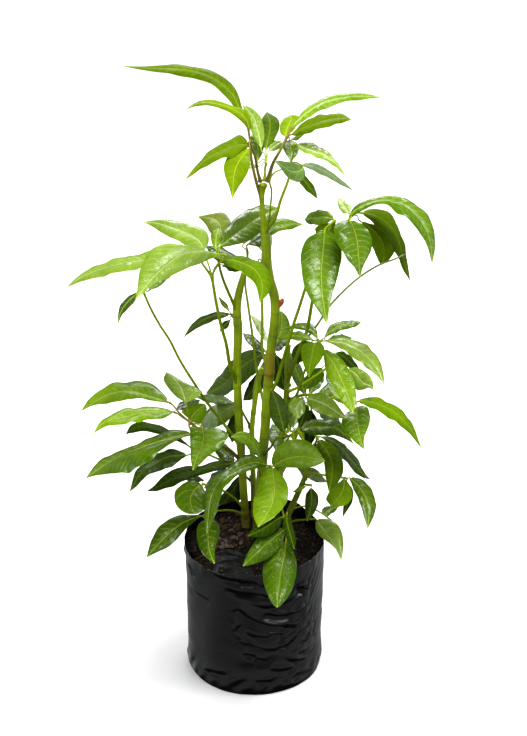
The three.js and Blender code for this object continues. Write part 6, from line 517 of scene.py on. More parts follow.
 ("leaf_back_right_low", [618,1600,2708], [400,1169,2659,501,1400,2709,618,1600,2708], (22, 17), 'stem_back_right', [
  ("U1", "dark", [704,1786,2679,740,1851,2661,808,1972,2627,882,2104,2594,963,2236,2560,1045,2368,2526,1122,2501,2494,1192,2621,2459,1252,2723,2428],
   [704,1786,2679,734,1887,2659,790,2075,2621,855,2259,2586,934,2401,2552,1017,2538,2518,1101,2638,2489,1183,2685,2456,1252,2723,2428],
   [704,1786,2679,746,1816,2662,825,1873,2631,909,1956,2600,991,2077,2566,1073,2204,2531,1142,2369,2498,1202,2560,2460,1252,2723,2428]),
  ("U2", "dark", [687,1705,2573,724,1757,2527,792,1852,2441,866,1950,2338,948,2050,2239,1031,2149,2138,1104,2243,2029,1175,2335,1936,1234,2414,1858],
   [687,1705,2573,733,1798,2526,818,1968,2438,908,2115,2333,995,2225,2234,1077,2320,2133,1137,2371,2025,1190,2395,1934,1234,2414,1858],
   [687,1705,2573,714,1712,2531,765,1726,2451,824,1771,2352,902,1859,2254,984,1962,2153,1071,2105,2039,1159,2270,1941,1234,2414,1858]),
  ("U3", "blue", [556,1829,2693,539,1908,2686,509,2055,2674,474,2219,2672,430,2388,2682,387,2558,2692,354,2723,2694,323,2870,2682,296,2994,2670],
   [556,1829,2693,510,1884,2681,424,1987,2661,352,2123,2653,300,2286,2660,251,2450,2669,244,2633,2674,272,2827,2672,296,2994,2670],
   [556,1829,2693,569,1929,2692,594,2116,2692,596,2304,2698,561,2479,2710,524,2654,2722,464,2804,2720,374,2908,2694,296,2994,2670]),
  ("U4", "dark", [522,1740,2553,494,1786,2505,441,1869,2414,387,1951,2302,324,2035,2191,262,2117,2079,216,2195,1957,168,2275,1859,124,2344,1780],
   [522,1740,2553,481,1823,2506,404,1971,2417,330,2090,2306,258,2187,2195,195,2271,2083,166,2321,1961,143,2338,1861,124,2344,1780],
   [522,1740,2553,507,1754,2501,478,1782,2403,444,1834,2287,391,1906,2174,329,1987,2062,265,2088,1944,191,2221,1852,124,2344,1780]),
 ]),
 ("leaf_mid_dark", [491,-115,4127], [144,446,3480,250,82,3811,386,-76,4089,491,-115,4127], (24, 16), 'stem_main', [
  ("V1", "dusk", [461,-123,4200,451,-131,4249,436,-145,4344,408,-154,4456,384,-161,4572,356,-169,4688,325,-178,4800,292,-192,4895,262,-204,4973],
   [461,-123,4200,418,-140,4242,348,-165,4328,289,-184,4433,258,-197,4546,247,-202,4663,244,-206,4779,253,-206,4885,262,-204,4973],
   [461,-123,4200,484,-122,4255,524,-123,4359,527,-123,4478,511,-125,4598,464,-135,4712,407,-150,4821,331,-178,4905,262,-204,4973]),
 ]),
]
SLOTS = {
 "grow_bag": "bag_film",
 "potting_soil": "potting_mix",
 "stem_main": "stem_green",
 "stem_left": "stem_green",
 "stem_right": "stem_green",
 "stem_low_right": "stem_green",
 "stem_front": "stem_green",
 "stem_back": "stem_green",
 "stem_back_right": "stem_green",
 "leaf_top_far_left": "leaf_bright",
 "leaf_top_near_left": "leaf_bright",
 "leaf_top_young": "leaf_bright",
 "leaf_top_right": "leaf_bright",
 "leaf_top_low_right": "leaf_bright",
 "leaf_top_front": "leaf_bright",
 "leaf_upper_left_front": "leaf_green",
 "leaf_upper_left_back": "leaf_green",
 "leaf_small_left": "leaf_green",
 "leaf_dark_left": "leaf_dark",
 "leaf_upper_back": "leaf_green",
 "leaf_upper_back_2": "leaf_green",
 "leaf_right_a": "leaf_bright",
 "leaf_right_b": "leaf_bright",
 "petiole_bare": "leaf_bright",
 "leaf_mid_right": "leaf_green",
 "leaf_right_curled": "leaf_green",
 "leaf_right_low": "leaf_green",
 "leaf_right_wavy": "leaf_green",
 "leaf_right_dark": "leaf_dark",
 "shoot_young": "leaf_bright",
 "leaf_low_left": "leaf_green",
 "leaf_low_left_under": "leaf_dark",
 "leaf_low_left_dark": "leaf_dark",
 "leaf_low_left_front": "leaf_green",
 "leaf_base_left": "leaf_dark",
 "leaf_front": "leaf_green",
 "leaf_front_young": "leaf_bright",
 "leaf_low_front": "leaf_green",
 "leaf_right_front": "leaf_green",
 "leaf_right_front_low": "leaf_green",
 "leaf_right_inner": "leaf_dark",
 "leaf_right_far": "leaf_green",
 "leaf_base_right": "leaf_dark",
 "leaf_back_mid": "leaf_green",
 "leaf_back_left": "leaf_green",
 "leaf_back_left_low": "leaf_dark",
 "leaf_back_low": "leaf_dark",
 "leaf_back_right": "leaf_green",
 "leaf_back_right_low": "leaf_dark",
 "leaf_mid_dark": "leaf_dark",
}
# folds in the film: (points as degrees round the bag and millimetres up, depth, half width, side of its ridge, ridge)
CREASES = [
 ([(255.2, 162.0), (262.9, 146.4), (271.6, 136.8), (283.3, 127.4), (295.5, 119.3), (308.2, 115.1)], -2.6, 4.2, 1, 1.6),
 ([(278.1, 153.6), (289.3, 142.8), (301.5, 138.8), (315.9, 136.4), (328.4, 138.7)], -2.2, 4, 1, 1.3),
 ([(257.3, 208.2), (264.7, 207.0), (273.5, 206.2)], -1.5, 3, -1, 0.7),
 ([(246.2, 194.8), (257.3, 190.1), (267.0, 186.3), (276.7, 184.1)], -1.2, 3.4, 1, 0.8),
 ([(304.7, 193.6), (312.1, 178.6), (322.1, 167.6)], -2, 4.2, 1, 1),
 ([(314.7, 148.7), (320.8, 163.3), (327.9, 176.4)], -1.4, 3.2, 1, 1.3),
 ([(256.1, 97.3), (262.8, 88.6)], -1.3, 3.2, 1, 0.7),
 ([(261.9, 76.2), (271.8, 74.1)], -1.2, 3, 1, 0.6),
 ([(271.8, 69.4), (279.2, 61.8)], -1.2, 3.2, 1, 0.6),
 ([(281.7, 112.0), (289.3, 109.3), (297.4, 108.8)], -1.5, 3, 1, 0.9),
 ([(289.8, 84.7), (300.3, 84.3)], -1.2, 2.8, 1, 0.7),
 ([(309.4, 101.0), (321.4, 99.1), (336.7, 99.0)], -1, 3, 1, 1),
 ([(311.7, 78.1), (323.1, 74.5), (337.2, 73.6)], -1, 3, 1, 0.9),
 ([(309.6, 59.0), (321.9, 54.8), (335.3, 52.7)], -0.9, 2.8, 1, 0.8),
 ([(270.9, 25.6), (285.1, 25.7)], -1, 2.6, 1, 0.6),
 ([(197.1, 198.4), (205.8, 195.4), (212.8, 190.1)], -1.4, 2.4, 1, 1.2),
 ([(202.8, 164.2), (219.6, 158.2), (231.5, 159.5)], -0.9, 4, 1, 0.6),
 ([(236.0, 214.1), (248.9, 212.4), (262.3, 212.9)], -0.7, 3, 1, 0.5),
 ([(217.7, 23.4), (232.4, 28.1), (246.2, 34.1)], -0.9, 3.2, 1, 0.5),
 ([(255.3, 115.8), (261.2, 130.4), (264.5, 140.2)], -0.8, 3.4, 1, 0.5),
 ([(295.7, 61.7), (307.5, 47.4), (322.0, 39.2)], -1, 3.4, 1, 0.7),
 ([(281.7, 46.9), (293.9, 39.8), (307.6, 37.8)], -1, 3.2, 1, 0.7),
]


def pts(flat):
    return np.array(flat, float).reshape(-1, 3) * 1e-4


# ---------------------------------------------------------------- curves
def spline(P, ts, t):
    """Smooth curve through the rows of P at parameters ts, read at t."""
    P, ts, t = np.asarray(P, float), np.asarray(ts, float), np.asarray(t, float)
    if P.ndim == 1:
        P = P[:, None]
    if len(ts) == 2:
        w = ((t - ts[0]) / (ts[1] - ts[0]))[:, None]
        return P[0] * (1 - w) + P[1] * w
    h = np.diff(ts)
    d = np.diff(P, axis=0) / h[:, None]
    k = np.zeros_like(P)
    k[1:-1] = (d[:-1] * h[1:, None] + d[1:] * h[:-1, None]) / (h[:-1] + h[1:])[:, None]
    k[0] = 1.5 * d[0] - .5 * k[1]
    k[-1] = 1.5 * d[-1] - .5 * k[-2]
    i = np.clip(np.searchsorted(ts, t, side="right") - 1, 0, len(h) - 1)
    s = ((t - ts[i]) / h[i])[:, None]
    H = h[i][:, None]
    return ((2 * s**3 - 3 * s**2 + 1) * P[i] + (s**3 - 2 * s**2 + s) * H * k[i]
            + (-2 * s**3 + 3 * s**2) * P[i + 1] + (s**3 - s**2) * H * k[i + 1])


def refine(P, step, lo=3):
    """The curve through P, read about every step metres.  Also gives each point's length along it."""
    P = np.asarray(P, float)
    seg = np.linalg.norm(np.diff(P, axis=0), axis=1)
    ts = np.concatenate([[0], np.cumsum(np.maximum(seg, 1e-5))])
    n = max(lo, int(round(ts[-1] / step)) + 1)
    t = np.linspace(0, ts[-1], n)
    Q = spline(P, ts, t)
    s = np.concatenate([[0], np.cumsum(np.linalg.norm(np.diff(Q, axis=0), axis=1))])
    return Q, s, t / ts[-1]


def unit(v, axis=-1):
    return v / np.maximum(np.linalg.norm(v, axis=axis, keepdims=True), 1e-12)


def smooth01(x):
    x = np.clip(x, 0, 1)
    return x * x * (3 - 2 * x)


# ---------------------------------------------------------------- mesh builder
class Build:
    """Collects closed shells and makes one mesh object of them."""

    def __init__(self):
        self.v, self.q, self.quv, self.quw, self.qm = [], [], [], [], []
        self.t, self.tuv, self.tuw, self.tm = [], [], [], []
        self.n = 0

    def verts(self, co):
        start = self.n
        self.v.append(np.asarray(co, float).reshape(-1, 3))
        self.n += len(self.v[-1])
        return start

    def quads(self, idx, uv, uw, mat):
        idx = np.asarray(idx).reshape(-1, 4)
        self.q.append(idx)
        self.quv.append(np.asarray(uv, float).reshape(-1, 4, 2))
        self.quw.append(np.asarray(uw, float).reshape(-1, 4, 2))
        self.qm.append(np.full(len(idx), mat, np.int32))

    def tris(self, idx, uv, uw, mat):
        idx = np.asarray(idx).reshape(-1, 3)
        self.t.append(idx)
        self.tuv.append(np.asarray(uv, float).reshape(-1, 3, 2))
        self.tuw.append(np.asarray(uw, float).reshape(-1, 3, 2))
        self.tm.append(np.full(len(idx), mat, np.int32))

    def make(self, name, mats, sharp=math.radians(52)):
        v = np.concatenate(self.v)
        q = np.concatenate(self.q) if self.q else np.zeros((0, 4), int)
        t = np.concatenate(self.t) if self.t else np.zeros((0, 3), int)
        me = bpy.data.meshes.new(name)
        me.vertices.add(len(v))
        me.vertices.foreach_set("co", v.astype(np.float32).ravel())
        loops = np.concatenate([q.ravel(), t.ravel()]).astype(np.int32)
        me.loops.add(len(loops))
        me.loops.foreach_set("vertex_index", loops)
        start = np.concatenate([np.arange(len(q)) * 4, len(q) * 4 + np.arange(len(t)) * 3]).astype(np.int32)
        me.polygons.add(len(start))
        me.polygons.foreach_set("loop_start", start)
        mat = np.concatenate(self.qm + self.tm).astype(np.int32)
        me.polygons.foreach_set("material_index", mat)
        me.update(calc_edges=True)
        for key, a, b in (("Shape", self.quv, self.tuv), ("Metric", self.quw, self.tuw)):
            layer = me.uv_layers.new(name=key)
            data = np.concatenate([np.concatenate(a).reshape(-1, 2) if a else np.zeros((0, 2)),
                                   np.concatenate(b).reshape(-1, 2) if b else np.zeros((0, 2))])
            layer.data.foreach_set("uv", data.astype(np.float32).ravel())
        me.polygons.foreach_set("use_smooth", np.ones(len(start), bool))
        if me.validate():
            print("mesh repaired:", name)
        me.set_sharp_from_angle(angle=sharp)
        for m in mats:
            me.materials.append(m)
        ob = bpy.data.objects.new(name, me)
        SC.collection.objects.link(ob)
        return ob


def tube(B, P, r, sides=10, mat=0, mark=None, flat=None, caps=True, turn=0.0):
    """A round tube along P with radius r at each point.  mark is a value per point kept in the Metric map."""
    P, r = np.asarray(P, float), np.asarray(r, float)
    k = len(P)
    T = unit(np.gradient(P, axis=0))
    ref = np.array([0, 0, 1.0]) if abs(T[0][2]) < .9 else np.array([1.0, 0, 0])
    n = unit(np.cross(T[0], ref))
    frames = []
    for i in range(k):
        n = unit(n - T[i] * np.dot(n, T[i]))
        frames.append((n, np.cross(T[i], n)))
    a = np.arange(sides) / sides * 2 * math.pi + turn
    co = np.empty((k, sides, 3))
    for i in range(k):
        nn, bb = frames[i]
        ra = r[i] if r.ndim == 1 else r[i][:, None]
        co[i] = P[i] + (np.cos(a)[:, None] * nn + np.sin(a)[:, None] * bb) * ra
    s = np.concatenate([[0], np.cumsum(np.linalg.norm(np.diff(P, axis=0), axis=1))])
    o = B.verts(co)
    i, j = np.meshgrid(np.arange(k - 1), np.arange(sides), indexing="ij")
    i, j = i.ravel(), j.ravel()
    jn = (j + 1) % sides
    idx = np.stack([o + i * sides + j, o + i * sides + jn, o + (i + 1) * sides + jn, o + (i + 1) * sides + j], 1)
    u0, u1 = j / sides, (j + 1) / sides
    uv = np.stack([np.stack([u0, s[i] * 100], 1), np.stack([u1, s[i] * 100], 1),
                   np.stack([u1, s[i + 1] * 100], 1), np.stack([u0, s[i + 1] * 100], 1)], 1)
    mk = np.zeros(k) if mark is None else np.asarray(mark, float)
    f = s / s[-1]
    uw = np.stack([np.stack([mk[i], f[i]], 1), np.stack([mk[i], f[i]], 1),
                   np.stack([mk[i + 1], f[i + 1]], 1), np.stack([mk[i + 1], f[i + 1]], 1)], 1)
    B.quads(idx, uv, uw, mat)
    if caps:
        c0 = B.verts(P[0] - T[0] * (r[0] if r.ndim == 1 else r[0].mean()) * .35)
        c1 = B.verts(P[-1] + T[-1] * (r[-1] if r.ndim == 1 else r[-1].mean()) * .35)
        j = np.arange(sides)
        jn = (j + 1) % sides
        z = np.zeros(sides)
        B.tris(np.stack([np.full(sides, c0), o + jn, o + j], 1),
               np.stack([np.stack([z, z], 1)] * 3, 1), np.stack([np.stack([z + mk[0], z], 1)] * 3, 1), mat)
        B.tris(np.stack([np.full(sides, c1), o + (k - 1) * sides + j, o + (k - 1) * sides + jn], 1),
               np.stack([np.stack([z, z + s[-1] * 100], 1)] * 3, 1),
               np.stack([np.stack([z + mk[-1], z + 1], 1)] * 3, 1), mat)


COLS = np.array([-1, -.93, -.8, -.62, -.43, -.25, -.11, -.035, 0, .035, .11, .25, .43, .62, .8, .93, 1])


def bell(t, tip, base):
    return np.maximum(t, 0) ** base * np.maximum(1 - t, 0) ** tip


def leaflet(B, m, a, b, hub, seed, mat_top, mat_under, wave=.058, camber=.085, tip=1.15, base=.58,
            freq=None, thick=.00046, twist=0.0, lobe=None):
    """One leaflet's blade: a closed thin shell with a sunken midrib above, a raised one below, arched halves,
    quilting between its side veins and a wavy margin."""
    rs = np.random.RandomState(seed)
    seg = np.linalg.norm(np.diff(m, axis=0), axis=1)
    L = seg.sum()
    R = int(np.clip(L / .0030, 12, 66))
    s = np.linspace(0, 1, R)
    t = .75 * s + .25 * (.5 - .5 * np.cos(math.pi * s))
    M = spline(m, STATIONS, t)
    inner = slice(1, 8)
    f_st = bell(STATIONS[inner], tip, base)[:, None]
    tc = np.clip(t, STATIONS[1], STATIONS[7])
    f = bell(t, tip, base)[:, None]
    A = f * spline((a - m)[inner] / f_st, STATIONS[inner], tc)
    D = f * spline((b - m)[inner] / f_st, STATIONS[inner], tc)
    T = unit(np.gradient(M, axis=0))
    X = A - D
    width = np.linalg.norm(X, axis=1)
    good = width > .15 * width.max()
    Xu = unit(X)
    first, last = np.argmax(good), len(good) - 1 - np.argmax(good[::-1])
    Xu[:first] = Xu[first]
    Xu[last + 1:] = Xu[last]
    Xu = unit(Xu - T * (Xu * T).sum(1, keepdims=True))
    N = np.cross(T, Xu)
    out = M[-1] - hub
    out[2] = 0
    out = out / max(np.linalg.norm(out), 1e-9)
    w = bell(s, .5, .5)
    if (w * (N @ (np.array([0, 0, 1.0]) + .35 * out))).sum() < 0:
        A, D, Xu, N = D, A, -Xu, -N
    half = .5 * width
    # the blade runs into its short stalk
    stalk = .0009
    u = COLS
    C = len(u)
    P = np.empty((R, C, 3))
    for c, x in enumerate(u):
        side = A if x >= 0 else D
        P[:, c] = M + side * abs(x) + np.sign(x) * Xu * stalk * abs(x)
    hw = np.where(u[None, :] >= 0, np.linalg.norm(A, axis=1)[:, None], np.linalg.norm(D, axis=1)[:, None])
    au = np.abs(u)[None, :]
    sgn = np.sign(u)[None, :]
    tt = t[:, None]
    fr = rs.uniform(2.3, 3.7) if freq is None else freq
    ph = rs.uniform(0, 2 * math.pi, 4)
    env = np.sin(math.pi * np.clip(tt, 0, 1)) ** .6
    wav = np.where(sgn > 0, np.sin(2 * math.pi * fr * tt + ph[0]) + .5 * np.sin(2 * math.pi * fr * 1.9 * tt + ph[1]),
                   np.sin(2 * math.pi * fr * 1.07 * tt + ph[2]) + .5 * np.sin(2 * math.pi * fr * 1.8 * tt + ph[3]))
    h = camber * hw * 4 * au * (1 - au) * (1 + .25 * np.sin(5 * tt + ph[0]))
    h = h - .05 * hw * au**4
    h = h + wave * hw * au**2.6 * wav * env
    # quilting between the side veins, and shallow wide swells of the whole blade
    xc, yc = au * hw * 100, tt * L * 100
    p = (yc + .28 * sgn - .72 * xc - .10 * xc * xc) / 1.15
    h = h + .00048 * np.cos(2 * math.pi * p) * np.clip(xc / .25, 0, 1) * (1 - au**5) * np.clip(hw / .012, 0, 1)
    h = h + .034 * hw * np.sin(7.3 * tt + 2.2 * u[None, :] + ph[1]) * env + .016 * hw * np.sin(17 * tt - 3.1 * u[None, :] + ph[2]) * env
    P = P + N[:, None, :] * h[:, :, None]
    gt = np.gradient(P, axis=0)
    gu = np.gradient(P, u, axis=1)
    n = unit(np.cross(gt, gu))
    bad = (n * N[:, None, :]).sum(2) < .25
    n[bad] = np.broadcast_to(N[:, None, :], n.shape)[bad]
    mid = np.exp(-(xc / .075) ** 2)
    taper = np.clip(1.05 - tt, .1, 1)
    th = thick * (1 - .35 * au**3)
    up = .5 * th - .00028 * mid * taper
    dn = .5 * th + .00105 * mid * taper * np.clip(L / .09, .5, 1.1)
    top = P + n * up[:, :, None]
    bot = P - n * dn[:, :, None]
    o1, o2 = B.verts(top), B.verts(bot)
    uu = (u + 1) / 2
    sx = (sgn * xc)
    r, c = np.meshgrid(np.arange(R - 1), np.arange(C - 1), indexing="ij")
    r, c = r.ravel(), c.ravel()

    def corner(rr, cc):
        return np.stack([uu[cc], t[rr]], 1), np.stack([sx[rr, cc], yc[rr, 0]], 1)
    order = [(r, c), (r + 1, c), (r + 1, c + 1), (r, c + 1)]
    uv = np.stack([corner(*k)[0] for k in order], 1)
    uw = np.stack([corner(*k)[1] for k in order], 1)
    B.quads(np.stack([o1 + rr * C + cc for rr, cc in order], 1), uv, uw, mat_top)
    B.quads(np.stack([o2 + rr * C + cc for rr, cc in order[::-1]], 1), uv[:, ::-1], uw[:, ::-1], mat_under)
    r = np.arange(R - 1)
    for cc, flip in ((0, False), (C - 1, True)):
        k = np.full(R - 1, cc)
        quad = np.stack([o1 + r * C + cc, o2 + r * C + cc, o2 + (r + 1) * C + cc, o1 + (r + 1) * C + cc], 1)
        uv = np.stack([corner(r, k)[0], corner(r, k)[0], corner(r + 1, k)[0], corner(r + 1, k)[0]], 1)
        uw = np.stack([corner(r, k)[1], corner(r, k)[1], corner(r + 1, k)[1], corner(r + 1, k)[1]], 1)
        if flip:
            quad, uv, uw = quad[:, ::-1], uv[:, ::-1], uw[:, ::-1]
        B.quads(quad, uv, uw, mat_top)
    c = np.arange(C - 1)
    for rr, flip in ((0, False), (R - 1, True)):
        k = np.full(C - 1, rr)
        quad = np.stack([o1 + rr * C + c, o1 + rr * C + c + 1, o2 + rr * C + c + 1, o2 + rr * C + c], 1)
        uv = np.stack([corner(k, c)[0], corner(k, c + 1)[0], corner(k, c + 1)[0], corner(k, c)[0]], 1)
        uw = np.stack([corner(k, c)[1], corner(k, c + 1)[1], corner(k, c + 1)[1], corner(k, c)[1]], 1)
        if flip:
            quad, uv, uw = quad[:, ::-1], uv[:, ::-1], uw[:, ::-1]
        B.quads(quad, uv, uw, mat_top)
    return M, L


# ---------------------------------------------------------------- materials
class Nodes:
    """Short names for building a node tree."""

    def __init__(self, name):
        self.mat = bpy.data.materials.new(name)
        self.mat.use_nodes = True
        self.t = self.mat.node_tree
        self.t.nodes.clear()

    def new(self, kind, **kw):
        n = self.t.nodes.new(kind)
        for k, v in kw.items():
            setattr(n, k, v)
        return n

    def put(self, sock, val):
        if isinstance(val, bpy.types.NodeSocket):
            self.t.links.new(val, sock)
        elif isinstance(val, (tuple, list)) and len(val) == 3 and sock.type == "RGBA":
            sock.default_value = (*val, 1)
        else:
            sock.default_value = val

    def math(self, op, a, b=None, c=None, clamp=False):
        n = self.new("ShaderNodeMath", operation=op, use_clamp=clamp)
        for i, x in enumerate((a, b, c)):
            if x is not None:
                self.put(n.inputs[i], x)
        return n.outputs[0]

    def range(self, x, a, b, lo=0.0, hi=1.0, smooth=True):
        n = self.new("ShaderNodeMapRange", interpolation_type="SMOOTHSTEP" if smooth else "LINEAR")
        for k, v in (("Value", x), ("From Min", a), ("From Max", b), ("To Min", lo), ("To Max", hi)):
            self.put(n.inputs[k], v)
        return n.outputs[0]

    def mix(self, f, a, b, blend="MIX"):
        n = self.new("ShaderNodeMix", data_type="RGBA", blend_type=blend)
        self.put(n.inputs[0], f)
        self.put(n.inputs[6], a)
        self.put(n.inputs[7], b)
        return n.outputs[2]

    def noise(self, vec, scale, detail=2.0, rough=.5, distort=0.0, dims="3D"):
        n = self.new("ShaderNodeTexNoise", noise_dimensions=dims)
        if vec is not None:
            self.put(n.inputs["Vector"], vec)
        for k, v in (("Scale", scale), ("Detail", detail), ("Roughness", rough), ("Distortion", distort)):
            n.inputs[k].default_value = v
        return n.outputs[0]

    def voronoi(self, vec, scale, feature="F1", out="Distance", rand=1.0):
        n = self.new("ShaderNodeTexVoronoi", feature=feature)
        self.put(n.inputs["Vector"], vec)
        n.inputs["Scale"].default_value = scale
        n.inputs["Randomness"].default_value = rand
        return n.outputs[out]

    def obj(self):
        return self.new("ShaderNodeTexCoord").outputs["Object"]

    def scaled(self, vec, s, rot=(0, 0, 0), loc=(0, 0, 0)):
        n = self.new("ShaderNodeMapping")
        self.put(n.inputs["Vector"], vec)
        n.inputs["Scale"].default_value = s
        n.inputs["Rotation"].default_value = rot
        n.inputs["Location"].default_value = loc
        return n.outputs[0]

    def xy(self, uvmap):
        s = self.new("ShaderNodeSeparateXYZ")
        u = self.new("ShaderNodeUVMap", uv_map=uvmap)
        self.put(s.inputs[0], u.outputs[0])
        return s.outputs[0], s.outputs[1], u.outputs[0]

    def bump(self, h, strength, dist, normal=None):
        n = self.new("ShaderNodeBump")
        self.put(n.inputs["Height"], h)
        n.inputs["Strength"].default_value = strength
        n.inputs["Distance"].default_value = dist
        if normal is not None:
            self.put(n.inputs["Normal"], normal)
        return n.outputs[0]

    def out(self, shader):
        o = self.new("ShaderNodeOutputMaterial")
        self.t.links.new(shader, o.inputs["Surface"])
        return self.mat

    def principled(self, **kw):
        n = self.new("ShaderNodeBsdfPrincipled")
        for k, v in kw.items():
            self.put(n.inputs[k.replace("_", " ")], v)
        return n.outputs[0]


def leaf_material(name, deep, light, vein, glow, trans=.3, rough=.34, spec=.5, coat=.2, speck=0.0, under=False,
                  edge=None, seed=0.0):
    N = Nodes(name)
    u, v, _ = N.xy("Shape")
    x, y, met = N.xy("Metric")
    pos = N.obj()
    ax = N.math("ABSOLUTE", x)
    sx = N.math("SIGN", x)
    # side veins
    wob = N.noise(N.scaled(met, (1, 1, 1)), 1.1, 2.0, .5)
    yy = N.math("ADD", y, N.math("MULTIPLY", N.math("SUBTRACT", wob, .5), .55))
    yy = N.math("ADD", yy, N.math("MULTIPLY", sx, .28))
    yy = N.math("SUBTRACT", yy, N.math("MULTIPLY", ax, .72))
    yy = N.math("SUBTRACT", yy, N.math("MULTIPLY", N.math("MULTIPLY", ax, ax), .10))
    ph = N.math("FRACT", N.math("ADD", N.math("DIVIDE", yy, 1.15), .5))
    d = N.math("ABSOLUTE", N.math("SUBTRACT", ph, .5))
    side = N.range(d, .012, .090, 1, 0)
    eu = N.math("ABSOLUTE", N.math("SUBTRACT", N.math("MULTIPLY", u, 2.0), 1.0))
    side = N.math("MULTIPLY", side, N.range(eu, .70, .98, 1, 0))
    # midrib
    wm = N.math("MULTIPLY_ADD", v, -.070, .122)
    mid = N.range(N.math("DIVIDE", ax, wm), .55, 1.25, 1, 0)
    # net of small veins
    net = N.voronoi(N.scaled(met, (1, 1, 1)), 3.4, "DISTANCE_TO_EDGE")
    net = N.range(net, .0, .10, 1, 0)
    big = N.noise(pos, 9.0 + seed, 2.0, .5)
    med = N.noise(pos, 46.0, 3.0, .6)
    fine = N.noise(pos, 420.0, 2.0, .6)
    tone = N.math("ADD", N.math("MULTIPLY", N.range(big, .32, .68), .62), N.math("MULTIPLY", N.range(med, .3, .7), .38))
    col = N.mix(tone, deep, light)
    col = N.mix(N.math("MULTIPLY", N.range(eu, .0, .9, 1, 0), .10), col, vein)
    col = N.mix(N.math("MULTIPLY", side, .30), col, vein)
    col = N.mix(N.math("MULTIPLY", net, .05), col, vein)
    col = N.mix(N.math("MULTIPLY", mid, .72), col, vein)
    if edge is not None:
        col = N.mix(N.math("MULTIPLY", N.range(eu, .965, 1.0), .5), col, edge)
    hgt = N.math("MULTIPLY", side, -.34)
    hgt = N.math("ADD", hgt, N.math("MULTIPLY", mid, -.30))
    hgt = N.math("ADD", hgt, N.math("MULTIPLY", net, -.04))
    hgt = N.math("ADD", hgt, N.math("MULTIPLY", med, .5))
    hgt = N.math("ADD", hgt, N.math("MULTIPLY", fine, .03))
    wave = N.noise(pos, 52.0 + seed, 1.5, .45)
    hgt = N.math("ADD", hgt, N.math("MULTIPLY", wave, 2.4))
    if under:
        hgt = N.math("MULTIPLY", hgt, -1.0)
    nrm = N.bump(hgt, .50, .0016)
    rg = N.math("ADD", N.math("MULTIPLY", N.range(med, .3, .7), .12), N.math("MULTIPLY", net, .05))
    rg = N.math("ADD", rg, rough - .06)
    if speck:
        dust = N.voronoi(pos, 330.0)
        dm = N.math("MULTIPLY", N.range(dust, .12, .30, 1, 0), N.range(N.noise(pos, 60.0, 2.0, .5), .45, .62))
        col = N.mix(N.math("MULTIPLY", dm, speck), col, (.52, .68, .12))
        rg = N.math("SUBTRACT", rg, N.math("MULTIPLY", dm, .10))
    wax = coat
    if coat:
        wax = N.math("MULTIPLY", N.range(N.noise(pos, 24.0 + seed, 2.0, .5), .40, .60), min(1.0, coat * 2.0))
    P = N.principled(Base_Color=col, Roughness=rg, Normal=nrm, Specular_IOR_Level=spec, Coat_Weight=wax,
                     Coat_Roughness=.17, Coat_Normal=nrm)
    gl = N.mix(tone, tuple(g * .8 for g in glow), glow)
    gl = N.mix(N.math("MULTIPLY", side, .25), gl, tuple(g * .55 for g in glow))
    gl = N.mix(N.math("MULTIPLY", mid, .4), gl, tuple(g * .6 for g in glow))
    tr = N.new("ShaderNodeBsdfTranslucent")
    N.put(tr.inputs["Color"], gl)
    N.put(tr.inputs["Normal"], nrm)
    mx = N.new("ShaderNodeMixShader")
    mx.inputs[0].default_value = trans
    N.t.links.new(P, mx.inputs[1])
    N.t.links.new(tr.outputs[0], mx.inputs[2])
    return N.out(mx.outputs[0])


# Each tone is one leaf colour lit or shaded to a different degree, and picking a leaflet's tone paints the light or
# shade on it. The tones run from painted shade (deep, dark, dusk) up to painted light (midlt, pale). Pale also carries
# a painted sheen besides its real gloss, and icy and blue hold a painted bluish reflection of sky in their base colour.
# tone: deep colour, light colour, vein colour, light through the blade, share let through, roughness, coat, specular
TONES = {
    "lime": ((.115, .190, .001), (.250, .370, .002), (.540, .640, .040), (.48, .65, .003), .44, .40, 0.18, .06),
    "limedk": ((.072, .132, .001), (.160, .260, .001), (.420, .520, .030), (.27, .41, .002), .44, .40, 0.12, .05),
    "pale": ((.155, .255, .006), (.285, .420, .034), (.640, .760, .280), (.50, .72, .020), .30, .28, 0.5, .60),
    "icy": ((.120, .185, .060), (.200, .290, .120), (.400, .500, .260), (.30, .42, .12), .24, .34, 0.4, .55),
    "midlt": ((.120, .225, .001), (.245, .400, .002), (.580, .700, .120), (.46, .68, .004), .32, .26, 0.45, .35),
    "mid": ((.070, .145, .001), (.160, .285, .001), (.500, .620, .090), (.36, .55, .003), .28, .25, .5, .38),
    "gloss": ((.052, .122, .0006), (.118, .222, .0008), (.440, .560, .070), (.30, .47, .003), .26, .20, .60, .35),
    "dusk": ((.044, .100, .0006), (.102, .185, .0006), (.380, .490, .060), (.27, .42, .002), .24, .25, .5, .30),
    "spot": ((.030, .080, .0004), (.076, .150, .0005), (.260, .360, .025), (.20, .32, .002), .24, .24, .30, .12),
    "dark": ((.024, .060, .0004), (.062, .120, .0005), (.270, .370, .045), (.18, .30, .0015), .18, .25, .45, .24),
    "deep": ((.010, .028, .0003), (.030, .064, .0004), (.130, .190, .012), (.08, .14, .001), .12, .30, .0, .06),
    "sheen": ((.032, .082, .0005), (.078, .155, .0006), (.340, .440, .050), (.24, .38, .002), .24, .20, .60, .30),
    "fern": ((.095, .185, .001), (.200, .340, .001), (.420, .540, .040), (.34, .52, .002), .34, .40, 0, .08),
    "moss": ((.040, .085, .0005), (.095, .160, .0006), (.240, .340, .020), (.22, .34, .001), .28, .42, 0, .08),
    "olive": ((.100, .145, .006), (.180, .240, .018), (.380, .460, .100), (.34, .46, .02), .24, .34, 0.15, .28),
    "blue": ((.060, .120, .014), (.130, .215, .036), (.340, .450, .150), (.24, .38, .03), .20, .25, 0.4, .35),
}
TONE_ORDER = list(TONES)
MAT = {}
